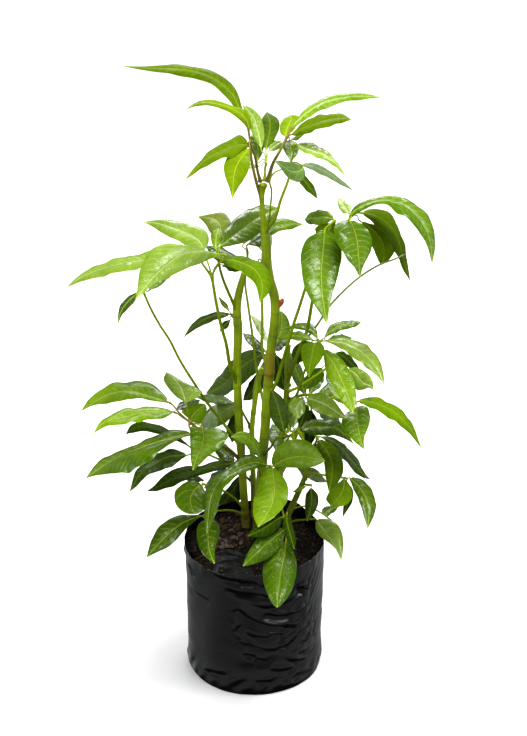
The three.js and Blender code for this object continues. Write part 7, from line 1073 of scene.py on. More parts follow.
for i_, (k_, (dp, lt, vn, gl_, tr_, ro_, co_, sp_)) in enumerate(TONES.items()):
    MAT[k_] = leaf_material("leaf_" + k_, dp, lt, vn, gl_, tr_, ro_, sp_, co_,
                            speck=.6 if k_ == "spot" else 0.0, edge=tuple(min(1, 1.5 * c + .01) for c in lt), seed=i_ * .37)
    un = tuple(min(1, c * 1.25 + .004) for c in dp)
    ul = tuple(min(1, c * 1.15 + .004) for c in lt)
    MAT[k_ + "_under"] = leaf_material("leaf_" + k_ + "_under", un, ul, tuple(min(1, c * 1.1) for c in vn), gl_, tr_,
                                       .50, min(.10, sp_), 0.0, under=True, seed=i_ * .37)


def stalk_material(name, low, high, mark_col, rough=.42, coat=.1):
    """Petiole skin: low is its colour at the foot, high at the top; Metric x marks swollen joints."""
    N = Nodes(name)
    x, y, _ = N.xy("Metric")
    pos = N.obj()
    st = N.noise(N.scaled(pos, (1, 1, .12)), 340.0, 3.0, .6)
    big = N.noise(pos, 26.0, 2.0, .5)
    col = N.mix(y, low, high)
    col = N.mix(N.math("MULTIPLY", N.range(st, .35, .7), .35), col, tuple(c * .55 for c in low))
    col = N.mix(N.math("MULTIPLY", N.range(big, .4, .7), .3), col, tuple(min(1, c * 1.5) for c in high))
    col = N.mix(N.math("MULTIPLY", x, .6), col, mark_col)
    nrm = N.bump(st, .35, .0006)
    P = N.principled(Base_Color=col, Roughness=rough, Normal=nrm, Specular_IOR_Level=.22)
    return N.out(P)


MAT["pet_lime"] = stalk_material("stalk_lime", (.17, .22, .003), (.30, .41, .008), (.34, .42, .03))
MAT["pet_green"] = stalk_material("stalk_green", (.145, .205, .001), (.240, .350, .002), (.28, .37, .012))
MAT["pet_dark"] = stalk_material("stalk_dark", (.080, .115, .001), (.130, .195, .001), (.16, .21, .008))
MAT["pet_brown"] = stalk_material("stalk_brown", (.15, .110, .020), (.25, .25, .040), (.22, .17, .03))


# ---------------------------------------------------------------- stems
def stem_material():
    N = Nodes("stem_skin")
    x, y, _ = N.xy("Metric")          # x: 0 plain, 1 at a leaf scar; y: 0 foot, 1 top
    pos = N.obj()
    sep = N.new("ShaderNodeSeparateXYZ")
    N.put(sep.inputs[0], pos)
    z = sep.outputs[2]
    fib = N.noise(N.scaled(pos, (1, 1, .07)), 420.0, 3.0, .65)
    big = N.noise(N.scaled(pos, (1, 1, .5)), 34.0, 3.0, .55)
    dots = N.voronoi(N.scaled(pos, (1, 1, .55)), 520.0)
    lent = N.math("MULTIPLY", N.range(dots, .10, .26, 1, 0), N.range(N.noise(pos, 90.0, 2.0, .5), .50, .66))
    col = N.mix(N.range(big, .3, .7), (.185, .262, .0008), (.330, .450, .0012))
    col = N.mix(N.math("MULTIPLY", N.range(fib, .4, .75), .26), col, (.045, .072, .0006))
    col = N.mix(N.math("MULTIPLY", N.range(z, .52, .80), .35), col, (.190, .220, .003))
    low = N.math("MULTIPLY", N.range(z, .225, .300, 1, 0), N.range(big, .30, .60, .45, 1))
    col = N.mix(N.math("MULTIPLY", low, .80), col, (.190, .125, .050))
    col = N.mix(N.math("MULTIPLY", lent, .45), col, (.26, .24, .10))
    col = N.mix(N.math("MULTIPLY", x, .7), col, (.070, .060, .016))
    # warm flush just above the scar of the tall stem
    dist = N.new("ShaderNodeVectorMath", operation="DISTANCE")
    N.put(dist.inputs[0], N.scaled(pos, (1, 1, .42)))
    dist.inputs[1].default_value = (.0232, .036, .508 * .42)
    col = N.mix(N.math("MULTIPLY", N.range(dist.outputs["Value"], .004, .017, 1, 0), .55), col, (.26, .115, .012))
    hgt = N.math("ADD", N.math("MULTIPLY", fib, .8), N.math("MULTIPLY", lent, .6))
    nrm = N.bump(hgt, .40, .0008)
    P = N.principled(Base_Color=col, Roughness=.34, Normal=nrm, Specular_IOR_Level=.40)
    return N.out(P)


def bud_material(name, a, b):
    N = Nodes(name)
    x, y, _ = N.xy("Metric")
    pos = N.obj()
    n = N.noise(pos, 380.0, 3.0, .6)
    col = N.mix(y, a, b)
    col = N.mix(N.math("MULTIPLY", N.range(n, .4, .7), .5), col, tuple(c * .4 for c in a))
    return N.out(N.principled(Base_Color=col, Roughness=.5, Normal=N.bump(n, .5, .0008)))


MAT["stem"] = stem_material()
# The bare stalk's pale, whitish green is partly its own colour and partly a painted highlight.
MAT["pet_pale"] = stalk_material("stalk_pale", (.22, .25, .050), (.40, .44, .150), (.30, .34, .08))
MAT["bud_red"] = bud_material("bud_red", (.50, .19, .040), (.42, .060, .016))
MAT["bud_green"] = bud_material("bud_green", (.16, .24, .030), (.25, .34, .050))
MAT["bud_brown"] = bud_material("bud_brown", (.20, .12, .050), (.10, .055, .022))

STEM_LINES = {}
feet = {}
for node, hub, pet, rad, stem, lfs in LEAVES:
    if stem and len(pet) > 1:
        feet.setdefault(stem, []).append((node, pts(pet)))

for name, (line, radii) in STEMS.items():
    P = pts(line)
    r = np.array(radii) * 1e-4
    P = np.vstack([[P[0][0], P[0][1], .186], P[1:]]) if P[0][2] > .19 else P
    Q, s, f = refine(P, .0026)
    seg = np.concatenate([[0], np.cumsum(np.linalg.norm(np.diff(P, axis=0), axis=1))])
    rr = np.interp(f * seg[-1], seg, r)
    rs = np.random.RandomState(sum(map(ord, name)))
    k = np.ones(9) / 9
    rr = np.convolve(np.pad(rr, 4, mode="edge"), k, "valid")
    mark = np.zeros(len(Q))
    # scars: one at each leaf's foot, and more where leaves have dropped
    marks = []
    for node, pp in feet.get(name, []):
        i = int(np.argmin(np.linalg.norm(Q - pp[0], axis=1)))
        marks.append((s[i] - .0015, .9))
    z0 = .235 + rs.uniform(0, .02)
    while z0 < P[-1][2] - .03:
        marks.append((np.interp(z0, Q[:, 2], s), .5))
        z0 += rs.uniform(.030, .055)
    if name == "stem_main":
        marks.append((np.interp(.4925, Q[:, 2], s), 1.6))
    for c, a in marks:
        g = np.exp(-((s - c) / .0026) ** 2)
        mark = np.maximum(mark, np.clip(a, 0, 1) * np.exp(-((s - c) / .0011) ** 2))
        rr = rr + g * a * .00055
    rr = rr * (1 + .018 * np.sin(s * 95 + rs.uniform(0, 6)) + .012 * np.sin(s * 233 + rs.uniform(0, 6)))
    # the foot swells a little where it enters the soil
    rr = rr * (1 + .16 * np.exp(-((Q[:, 2] - .208) / .014) ** 2))
    STEM_LINES[name] = (Q, s, rr)
    B = Build()
    sides = 20 if r.max() > .005 else 14
    prof = 1 + .035 * np.cos(np.arange(sides) / sides * 2 * math.pi * 3 + rs.uniform(0, 6)) \
        + .02 * np.cos(np.arange(sides) / sides * 2 * math.pi * 5 + rs.uniform(0, 6))
    tube(B, Q, rr[:, None] * prof[None, :], sides, 0, mark)
    # buds in the leaf axils
    n_bud = 0
    for node, pp in feet.get(name, []):
        i = int(np.argmin(np.linalg.norm(Q - pp[0], axis=1)))
        if i > len(Q) - 8 or rr[i] < .0025:
            continue
        side = pp[min(2, len(pp) - 1)] - Q[i]
        T = unit(Q[min(i + 1, len(Q) - 1)] - Q[i - 1])
        side = unit(side - T * side.dot(T))
        start = Q[i] + T * .0075 + side * rr[i] * .80
        d = unit(T + .45 * side)
        ln = .0055 + .0030 * rs.rand()
        tt = np.linspace(0, 1, 9)
        bp = start + np.outer(tt * ln, d)
        br = .0017 * np.sin(math.pi * np.clip(.18 + .80 * tt, 0, 1)) ** .8 + .00012
        tube(B, bp, br, 10, 1)
        n_bud += 1
    if name == "stem_main":
        # a larger red bud on the right, with two scales
        i = int(np.argmin(abs(Q[:, 2] - .607)))
        T = unit(Q[i + 1] - Q[i - 1])
        side = unit(np.array([.93, -.36, 0]) - T * np.dot([.93, -.36, 0], T))
        for off, ln, w, tilt, mt in ((.0, .0150, .0036, .55, 2), (.0012, .0110, .0028, .95, 2), (-.0008, .0085, .0030, .30, 1)):
            start = Q[i] + side * (rr[i] * .72) + T * off
            d = unit(T + tilt * side)
            tt = np.linspace(0, 1, 12)
            bend = np.outer(np.sin(tt * math.pi * .5) * ln, d) + np.outer(tt**2 * .0022, T)
            br = w * np.sin(math.pi * np.clip(.22 + .77 * tt, 0, 1)) ** .9 + .00015
            tube(B, start + bend, br, 12, mt)
    if name == "stem_right":
        for zz, sd in ((.437, (.7, -.7, 0)), (.424, (.3, -.95, 0))):
            i = int(np.argmin(abs(Q[:, 2] - zz)))
            side = unit(np.array(sd))
            tt = np.linspace(0, 1, 9)
            start = Q[i] + side * rr[i] * .7
            tube(B, start + np.outer(tt * .0075, unit(np.array([side[0], side[1], .8]))),
                 .0021 * np.sin(math.pi * np.clip(.2 + .78 * tt, 0, 1)) + .0001, 9, 3)
    ob = B.make(name + "_skin", [MAT["stem"], MAT["bud_green"], MAT["bud_red"], MAT["bud_brown"]])
    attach(ob, "root")
    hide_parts(name)


# ---------------------------------------------------------------- compound leaves
BRIGHT = {k for k, v in SLOTS.items() if v == "leaf_bright"}
PET_KIND = {
    "leaf_top_far_left": "pet_brown", "leaf_top_right": "pet_brown", "leaf_top_near_left": "pet_brown",
    "leaf_top_young": "pet_lime", "leaf_top_low_right": "pet_lime", "leaf_top_front": "pet_lime",
    "leaf_front_young": "pet_lime", "shoot_young": "pet_lime", "leaf_right_front_low": "pet_lime",
    "leaf_upper_back": "pet_lime", "petiole_bare": "pet_pale", "leaf_low_left": "pet_brown", "leaf_low_front": "pet_lime",
    "leaf_base_right": "pet_lime", "leaf_right_low": "pet_lime",
}
MAT_SET = [MAT[k] for t in TONE_ORDER for k in (t, t + "_under")]
LEAF_OPT = {
    "A": dict(wave=.05, camber=.10), "R1a": dict(wave=.055, camber=.07, freq=4.3),
    "R1c": dict(camber=.13), "L1b": dict(camber=.10, wave=.05), "L1c": dict(wave=.07, freq=4.0),
    "h2": dict(wave=.075, freq=3.2, base=.45, camber=.06), "h1": dict(camber=.12), "h3": dict(wave=.06),
    "R4c": dict(wave=.12, freq=3.4, camber=.05), "R4d": dict(wave=.12, freq=2.8), "R2b": dict(wave=.07, freq=3.6),
    "J1": dict(base=.5), "J2": dict(wave=.05, base=.5), "J3": dict(wave=.045, tip=.80, base=.5),
    "E": dict(camber=.12), "C": dict(wave=.06), "G1c": dict(wave=.055, freq=4.4), "G1a": dict(camber=.10),
    "G2c": dict(wave=.05), "G2d": dict(wave=.05), "I8": dict(wave=.05, camber=.10),
}
for node, hub, pet, rad, stem, lfs in LEAVES:
    B = Build()
    H = pts(hub)[0]
    pk = PET_KIND.get(node, "pet_dark" if node.startswith("leaf_back") or "dark" in node else "pet_green")
    mats = MAT_SET + [MAT[pk], MAT["bud_green"]]
    PM = len(MAT_SET)
    r0, r1 = rad[0] * 1e-4, rad[1] * 1e-4
    rs = np.random.RandomState(sum(map(ord, node)))
    end_dir = np.array([0, 0, 1.0])
    if len(pet) > 1:
        P = pts(pet)
        bend = P[-1] - P[-2]
        Q, s, f = refine(P, .0045, 8)
        L = s[-1]
        # a faint natural waver
        w = np.sin(f * math.pi)[:, None] * np.stack([np.sin(f * 9 + rs.uniform(0, 6)), np.sin(f * 8 + rs.uniform(0, 6)),
                                                     0 * f], 1) * .0006
        Q = Q + w
        rr = r0 + (r1 - r0) * f**.8
        rr = rr * (1 + .55 * np.exp(-s / .006)) * (1 + .30 * np.exp(-((L - s) / .0045) ** 2))
        mark = np.clip(np.exp(-((L - s) / .005) ** 2) + .8 * np.exp(-((s - .002) / .004) ** 2), 0, 1)
        if node == "petiole_bare":
            rr = rr * np.clip((L - s) / .006 + .45, 0, 1)
        tube(B, Q, rr, 12, PM, mark)
        end_dir = unit(Q[-1] - Q[-3])
    # the joint that carries the leaflets
    if lfs:
        nh = 8
        tt = np.linspace(-1, 1, nh)
        hp = H + np.outer(tt * r1 * 1.55, end_dir)
        tube(B, hp, r1 * 1.42 * np.sqrt(np.maximum(1 - tt**2 * .92, .02)), 12, PM, np.full(nh, .8))
    for k, (lid, tone, m, a, b) in enumerate(lfs):
        m, a, b = pts(m), pts(a), pts(b)
        opt = dict(LEAF_OPT.get(lid, {}))
        seed = (sum(map(ord, lid)) * 131 + sum(map(ord, node))) % 99991
        ti = TONE_ORDER.index(tone)
        M, LL = leaflet(B, m, a, b, H, seed, ti * 2, ti * 2 + 1, **opt)
        # its short stalk runs from the joint into the midrib
        d0 = unit(m[1] - m[0])
        gap = np.linalg.norm(m[0] - H)
        pr = np.clip(LL * .0095, .00065, r1 * .82)
        ctrl = [H, H + unit(m[0] - H) * gap * .35 + end_dir * gap * .10, m[0] - d0 * gap * .12, m[0] + d0 * LL * .05]
        if gap < .004:
            ctrl = [H, m[0], m[0] + d0 * LL * .05]
        Q, s, f = refine(np.array(ctrl), .0022, 7)
        Ls = s[-1]
        rr = pr * (1 + .42 * np.exp(-((s - .002) / .0032) ** 2) + .28 * np.exp(-((s - Ls * .80) / .0035) ** 2))
        rr[-3:] *= np.array([.95, .78, .45])
        tube(B, Q, rr, 10, PM, np.clip(.35 + .5 * np.exp(-((s - .002) / .004) ** 2), 0, 1))
    ob = B.make(node + "_blades" if lfs else node + "_stalk", mats)
    used = sorted(set(p.material_index for p in ob.data.polygons))
    idx = np.zeros(len(ob.data.polygons), np.int32)
    ob.data.polygons.foreach_get("material_index", idx)
    remap = np.zeros(len(mats), np.int32)
    for j, u_ in enumerate(used):
        remap[u_] = j
    keep = [mats[u_] for u_ in used]
    ob.data.materials.clear()
    for mm in keep:
        ob.data.materials.append(mm)
    ob.data.polygons.foreach_set("material_index", remap[idx])
    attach(ob, "root")
    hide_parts(node)


# ---------------------------------------------------------------- film bag
def rim_z(phi):
    def bump(c, w, h):
        d = np.abs((phi - c) % (2 * math.pi))
        d = np.minimum(d, 2 * math.pi - d)
        return h * np.exp(-(d / w) ** 2)
    return (226 + bump(.95, .42, 12) + bump(3.45, .7, -5) + bump(4.1, .5, -3) + bump(2.2, .5, 3)) * 1e-3


def wall_r(phi, t):
    return (106 + 4 * t + .9 * np.sin(3 * phi + .6) * t * (1 - .3 * t) + .6 * np.sin(5 * phi + 2.1) * np.sin(math.pi * t)) * 1e-3


def seg_dist(px, py, line):
    """Distance from each point to a polyline, signed by side (+ above), and how far along it is (0..1)."""
    best = np.full(px.shape, 1e9)
    sign = np.ones(px.shape)
    along = np.zeros(px.shape)
    line = np.asarray(line, float)
    ln = np.concatenate([[0], np.cumsum(np.hypot(*np.diff(line, axis=0).T))])
    for i in range(len(line) - 1):
        a, b = line[i], line[i + 1]
        d = b - a
        L2 = d @ d
        t = ((px - a[0]) * d[0] + (py - a[1]) * d[1]) / L2
        tc = np.clip(t, 0, 1)
        qx, qy = a[0] + tc * d[0], a[1] + tc * d[1]
        dd = np.hypot(px - qx, py - qy)
        sd = np.where(d[0] * (py - a[1]) - d[1] * (px - a[0]) >= 0, 1.0, -1.0)
        m = dd < best
        best = np.where(m, dd, best)
        sign = np.where(m, sd, sign)
        over = np.where(t < 0, t * math.sqrt(L2) if i == 0 else 0, np.where(t > 1, (t - 1) * math.sqrt(L2) if i == len(line) - 2 else 0, 0))
        along = np.where(m, (ln[i] + tc * math.sqrt(L2) + over) / ln[-1], along)
    return best * sign, along, ln[-1]


def film_folds(phi, z):
    """How far the film stands out (+) or in (-) from its smooth wall, in millimetres."""
    deg = np.degrees(phi) % 360
    zz = z * 1000
    x = deg * math.pi / 180 * 108.5
    h = np.zeros_like(x)
    # the same kinds of fold go on round the back, mirrored and shallower
    back = [([(384 - p[0], p[1]) for p in q[0]], q[1] * .7, q[2] * 1.1, q[3], q[4] * .7) for q in CREASES]
    for line, depth, w, side, ridge in CREASES + back:
        P = np.array([(a * math.pi / 180 * 108.5, b) for a, b in line])
        if P[0][0] > P[-1][0]:
            P = P[::-1]
        Ln = np.linalg.norm(np.diff(P, axis=0), axis=1)
        s = np.concatenate([[0], np.cumsum(Ln)])
        n = max(6, int(s[-1] / 3))
        S = spline(P, s, np.linspace(0, s[-1], n)) if len(P) > 2 else P
        near = (np.abs(x - P[:, 0].mean()) < (np.ptp(P[:, 0]) / 2 + 30)) & (np.abs(zz - P[:, 1].mean()) < (np.ptp(P[:, 1]) / 2 + 30))
        if not near.any():
            continue
        d, al, tot = seg_dist(x[near], zz[near], S)
        e = np.sin(math.pi * np.clip(al, 0, 1)) ** .75
        dn = d * side
        w *= 1.55
        v = 2.2 * depth * np.exp(-((dn + .2 * w) / w) ** 2) + 2.1 * ridge * np.exp(-((dn - 1.35 * w) / (.95 * w)) ** 2)
        h[near] += v * e
    t = np.clip(zz / 226, 0, 1)
    band = smooth01((t - .06) / .12) * smooth01((.985 - t) / .10)
    # slack: long low waves that sweep down to the right, and upright ones on the sides
    a = x / 108.5
    calm = 1 - .9 * np.exp(-((deg - 234) / 26) ** 4)
    h += band * calm * (.65 * np.sin(2 * math.pi * (zz / 46 - .9 * np.sin(a * 1.0 + .9) + .12 * np.sin(a * 3 + .5)))
                        * (.35 + .65 * np.exp(-((deg - 290) / 55) ** 2)))
    patch = smooth01(.5 + .5 * np.sin(zz / 17 + 3 * a + 1.4 * np.sin(2 * a + zz / 60)))
    h += band * calm * .42 * patch * np.sin(2 * math.pi * (zz / 27 + .9 * np.sin(a * 2 + 2.0) + .35 * np.sin(a * 4) + .22 * np.sin(zz / 13 + 5 * a))) * (.25 + .75 * smooth01(np.sin(a * 2 + 1.9) * .5 + .5))
    h += band * 1.1 * np.sin(9 * a + 1.0 + 1.2 * np.sin(zz / 52)) * smooth01(np.cos(a - math.pi * 1.08) * .8 + .1)
    h += band * .60 * np.sin(8 * a + 2.4 + .9 * np.sin(zz / 40 + 1)) * smooth01(np.cos(a - math.pi * 1.93) * .8 + .1)
    h += band * .75 * np.sin(6 * a + .4 + 1.1 * np.sin(zz / 47 + 2)) * smooth01(np.cos(a - math.pi * .5) * 1.2)
    # the film hangs in swags, lowest a little right of the front and climbing to the right
    off = deg - 290
    f = zz - np.where(off < 0, .022, .028) * off**2 + 3 * np.sin(a * 3 + .4)
    th = 2 * math.pi * f / 21 + .9 * np.sin(f / 31 + 1.3) + .5 * np.sin(5 * a)
    amp = np.exp(-((deg - 300) / 36) ** 4) * smooth01((zz - 52) / 50) * smooth01((214 - zz) / 26)
    amp = amp * (.45 + .55 * smooth01(.5 + .5 * np.sin(f / 26 + 2.2 * a + 1.0)))
    h += amp * 1.45 * (np.sin(th) + .28 * np.sin(2 * th + .9))
    # crumpled turn at the base
    low = smooth01((46 - zz) / 30) * (.15 + .85 * smooth01((zz - 1) / 16))
    h += low * (.8 * np.sin(13 * a + 2.2 * np.sin(zz / 9) + .8) + .7 * np.sin(27 * a - zz / 6 + 1.1 * np.sin(5 * a)))
    h += low * .9 * np.exp(-((deg - 318) / 22) ** 2) * np.sin(zz / 3.4 + 8 * a)
    # fine waver under the rim
    h += smooth01((t - .86) / .1) * (.30 * np.sin(21 * a + .3) + .22 * np.sin(37 * a + 1.9))
    return h


NP, NZ = 384, 124
phi = np.arange(NP) / NP * 2 * math.pi
tz = np.linspace(0, 1, NZ)
tz = tz + .0 * tz
RZ = rim_z(phi)
# the rim's own small ups and downs
RZ = RZ + .0009 * np.sin(5 * phi + .8) + .0006 * np.sin(13 * phi + 2) + .0004 * np.sin(31 * phi)
Z = .0012 + (RZ[None, :] - .0012) * tz[:, None]
T_ = np.clip((Z - .006) / (RZ[None, :] - .006), 0, 1)
PH = np.broadcast_to(phi[None, :], Z.shape)
R_ = wall_r(PH, T_)
# rounded turn into the base
turn_h = .015 + .003 * np.sin(3 * PH + 1.0)
turn = np.clip(1 - Z / turn_h, 0, 1)
R_ = R_ - (.0022 + .0006 * np.sin(4 * PH)) * turn**2 + .0022 * smooth01((.060 - Z) / .055)
FOLD = film_folds(PH, Z) * 1e-3
R_ = R_ + FOLD
B = Build()
outer = np.stack([R_ * np.cos(PH), R_ * np.sin(PH), Z], 2)
o = B.verts(outer)
i, j = np.meshgrid(np.arange(NZ - 1), np.arange(NP), indexing="ij")
i, j = i.ravel(), j.ravel()
jn = (j + 1) % NP


def bag_uv(ii, jj):
    return np.stack([jj / NP, tz[ii]], 1)


uvq = np.stack([bag_uv(i, j), bag_uv(i, j + 1), bag_uv(i + 1, j + 1), bag_uv(i + 1, j)], 1)
B.quads(np.stack([o + i * NP + j, o + i * NP + jn, o + (i + 1) * NP + jn, o + (i + 1) * NP + j], 1), uvq, uvq, 0)
# inside of the film, from the rim down past the soil's surface and across under it
FILM = .0007
ti = np.concatenate([np.linspace(1, .86, 16), [.80, .5, .15, .03]])
Zi = .0032 + (RZ[None, :] - .0032) * ti[:, None]
Ti = np.clip((Zi - .006) / (RZ[None, :] - .006), 0, 1)
PHi = np.broadcast_to(phi[None, :], Zi.shape)
Fi = film_folds(PHi, Zi) * 1e-3
Ri = wall_r(PHi, Ti) - FILM + Fi - np.where(Zi < .024, .0085 * np.clip(1 - Zi / .024, 0, 1) ** 2, 0)
K = len(ti)
inner = np.stack([Ri * np.cos(PHi), Ri * np.sin(PHi), Zi], 2)
oi = B.verts(inner)
i, j = np.meshgrid(np.arange(K - 1), np.arange(NP), indexing="ij")
i, j = i.ravel(), j.ravel()
jn = (j + 1) % NP
uvi = np.stack([np.stack([j / NP, ti[i]], 1), np.stack([(j + 1) / NP, ti[i]], 1),
                np.stack([(j + 1) / NP, ti[i + 1]], 1), np.stack([j / NP, ti[i + 1]], 1)], 1)
B.quads(np.stack([oi + i * NP + j, oi + i * NP + jn, oi + (i + 1) * NP + jn, oi + (i + 1) * NP + j], 1), uvi, uvi, 0)
j = np.arange(NP)
jn = (j + 1) % NP
uvr = np.stack([np.stack([j / NP, 0 * j + 1.0], 1)] * 4, 1)
B.quads(np.stack([o + (NZ - 1) * NP + j, o + (NZ - 1) * NP + jn, oi + jn, oi + j], 1), uvr, uvr, 0)
# base, outside and inside: rings to a centre
for src, zc, flip in ((o, .0, True), (oi + (K - 1) * NP, .0030, False)):
    base = outer[0] if flip else inner[-1]
    prev = src
    for q in (.86, .62, .34):
        ring = base * np.array([q, q, 0]) + np.array([0, 0, 0])
        wob = .0005 * np.sin(7 * phi + 9 * q) * (1 if not flip else 0)
        ring[:, 2] = (zc + .0004 * (1 if flip and q > .8 else 0)) + wob
        ro = B.verts(ring)
        quad = np.stack([prev + j, prev + jn, ro + jn, ro + j], 1)
        uvb = np.stack([np.stack([j / NP, 0 * j], 1)] * 4, 1)
        B.quads(quad[:, ::-1] if flip else quad, uvb, uvb, 0)
        prev = ro
    c = B.verts([[0, 0, zc]])
    tri = np.stack([prev + j, prev + jn, np.full(NP, c)], 1)
    uvt = np.stack([np.stack([j / NP, 0 * j], 1)] * 3, 1)
    B.tris(tri[:, ::-1] if flip else tri, uvt, uvt, 0)


def soil_z(x, y):
    """Height of the soil's surface, metres, at x, y in millimetres."""
    d = np.hypot(x, y - 45) / 100
    return (210 + 5 * np.exp(-2.2 * d * d) + 1.6 * np.sin(.061 * x + 1.3) * np.cos(.053 * y - .4)
            + .9 * np.sin(.13 * x - .11 * y)) * 1e-3


# a tongue of the film that has folded in and lies on the soil at the front left
nu, nv = 46, 64
uu = np.linspace(0, 1, nu)
vv = np.linspace(0, 1, nv)
U, V = np.meshgrid(uu, vv, indexing="ij")
X = -67 + 68 * U + 3 * np.sin(3 * V + 1) + 9 * (1 - U) * V - 12 * U * V
Yf = -np.sqrt(104.0**2 - X**2)
Yt = Yf + V * (-15 - Yf) * (1 - .22 * (2 * U - 1) ** 2) + 2.5 * np.sin(6 * U + 1) * V
hump = np.sin(math.pi * U) ** .6
Zt = soil_z(X, Yt) * 1000 + 2.3 + .8 * np.sin(2 * math.pi * (V * 3.1 + .22 * np.sin(4 * U))) * hump \
    + 3.6 * np.exp(-((V - .50 - .05 * np.sin(4 * U)) / .045) ** 2) * hump \
    + 3.2 * np.exp(-((V - .85 - .04 * np.sin(5 * U + 1)) / .045) ** 2) * hump \
    + 1.6 * np.exp(-((V - .20 + .06 * np.sin(5 * U)) / .04) ** 2) * hump
edge_ = np.minimum(np.minimum(U, 1 - U) / .08, np.minimum(1 - V, 1) / .08)
Zt = Zt - .8 * (1 - smooth01(edge_))
tp = np.stack([X, Yt, Zt], 2) * 1e-3
G = np.cross(np.gradient(tp, axis=0), np.gradient(tp, axis=1))
G = unit(G)
G[G[:, :, 2] < 0] *= -1
bt = tp - G * .0005
o1, o2 = B.verts(tp), B.verts(bt)
i, j = np.meshgrid(np.arange(nu - 1), np.arange(nv - 1), indexing="ij")
i, j = i.ravel(), j.ravel()
uvf = np.stack([np.stack([uu[a_] * .1 + .6, vv[b_] * .05 + .9], 1) for a_, b_ in ((i, j), (i + 1, j), (i + 1, j + 1), (i, j + 1))], 1)
qq = np.stack([i * nv + j, (i + 1) * nv + j, (i + 1) * nv + j + 1, i * nv + j + 1], 1)
B.quads(o1 + qq, uvf, uvf, 1)
B.quads((o2 + qq)[:, ::-1], uvf[:, ::-1], uvf[:, ::-1], 1)
rimv = [(k, 0) for k in range(nu - 1)] + [(nu - 1, k) for k in range(nv - 1)] + [(k, nv - 1) for k in range(nu - 1, 0, -1)] + [(0, k) for k in range(nv - 1, 0, -1)]
ri = np.array([a_ * nv + b_ for a_, b_ in rimv])
rn = np.roll(ri, -1)
uvz = np.tile(np.array([.6, .9]), (len(ri), 4, 1))
B.quads(np.stack([o1 + rn, o1 + ri, o2 + ri, o2 + rn], 1), uvz, uvz, 1)


def film_material(name, soiled=0.0):
    N = Nodes(name)
    pos = N.obj()
    u, v, _ = N.xy("Shape")
    wide = N.noise(N.scaled(pos, (1, 1, 1)), 17.0, 3.0, .55, .4)
    lay = N.noise(N.scaled(pos, (1, 1, 2.2)), 44.0, 3.0, .5, .8)
    fine = N.noise(N.scaled(pos, (1, 1, 1.6)), 260.0, 3.0, .6, .3)
    grain = N.noise(pos, 1500.0, 2.0, .6)
    hgt = N.math("ADD", N.math("MULTIPLY", lay, .38), N.math("MULTIPLY", fine, .03))
    hgt = N.math("ADD", hgt, N.math("MULTIPLY", grain, .006))
    nrm = N.bump(hgt, .30, .0020)
    col = N.mix(N.range(wide, .35, .7), (.0040, .0040, .0046), (.0080, .0080, .0088))
    dust = N.math("MULTIPLY", N.range(N.noise(pos, 85.0, 5.0, .7), .56 - .12 * soiled, .76), .22 + .5 * soiled)
    sep = N.new("ShaderNodeSeparateXYZ")
    N.put(sep.inputs[0], pos)
    dust = N.math("MULTIPLY", dust, N.range(sep.outputs[2], .0, .09, 1, .25 + .75 * soiled))
    col = N.mix(dust, col, (.060, .052, .044))
    rg = N.math("ADD", N.math("MULTIPLY", N.range(wide, .3, .7), .12), N.math("MULTIPLY", dust, .8))
    rg = N.math("ADD", rg, .19 + .07 * soiled)
    return N.out(N.principled(Base_Color=col, Roughness=rg, Normal=nrm, Specular_IOR_Level=.50 - .22 * soiled))


bag = B.make("grow_bag_film", [film_material("black_film"), film_material("black_film_soiled", 1.0)], math.radians(70))
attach(bag, "root")
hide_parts("grow_bag")


# ---------------------------------------------------------------- potting mix
def soil_material(name, dark, light, fleck):
    N = Nodes(name)
    pos = N.obj()
    big = N.noise(pos, 60.0, 4.0, .6)
    grit = N.voronoi(pos, 420.0, "F1", "Distance")
    cell = N.voronoi(pos, 420.0, "F1", "Color")
    sep = N.new("ShaderNodeSeparateColor")
    N.put(sep.inputs[0], cell)
    fine = N.noise(pos, 900.0, 4.0, .7)
    col = N.mix(N.range(big, .3, .7), dark, light)
    col = N.mix(N.math("MULTIPLY", N.range(sep.outputs[0], .86, .95), N.range(fine, .4, .6)), col, fleck)
    hgt = N.math("ADD", N.math("MULTIPLY", grit, -.6), N.math("ADD", N.math("MULTIPLY", fine, .5), N.math("MULTIPLY", big, .8)))
    return N.out(N.principled(Base_Color=col, Roughness=.93, Normal=N.bump(hgt, .9, .003), Specular_IOR_Level=.25))


B = Build()
NR, NA = 44, 120
rr_ = np.linspace(0, 1, NR)[1:]
an = np.arange(NA) / NA * 2 * math.pi
edge_r = (wall_r(an, .93) - .0012) * 1000
RR = rr_[:, None] * edge_r[None, :]
X, Yv = RR * np.cos(an), RR * np.sin(an)
rs = np.random.RandomState(11)
lump = np.zeros_like(X)
for _ in range(420):
    cx_, cy_, w_, h_ = rs.uniform(-105, 105), rs.uniform(-105, 105), rs.uniform(2.5, 9), rs.uniform(-1.0, 1.3)
    lump += h_ * np.exp(-((X - cx_) ** 2 + (Yv - cy_) ** 2) / w_**2)
Zs = soil_z(X, Yv) * 1000 + lump * .85 + rs.uniform(-.25, .25, X.shape)
Zs[-1] = soil_z(X[-1], Yv[-1]) * 1000 - .5
top = np.stack([X, Yv, Zs], 2) * 1e-3
o = B.verts(top)
c = B.verts([[0, 0, float(soil_z(0.0, 0.0))]])
i, j = np.meshgrid(np.arange(NR - 2), np.arange(NA), indexing="ij")
i, j = i.ravel(), j.ravel()
jn = (j + 1) % NA
z2 = np.zeros((len(i), 4, 2))
B.quads(np.stack([o + i * NA + j, o + (i + 1) * NA + j, o + (i + 1) * NA + jn, o + i * NA + jn], 1), z2, z2, 0)
j = np.arange(NA)
jn = (j + 1) % NA
z3 = np.zeros((NA, 3, 2))
B.tris(np.stack([np.full(NA, c), o + j, o + jn], 1), z3, z3, 0)
prev, z4 = o + (NR - 2) * NA, np.zeros((NA, 4, 2))
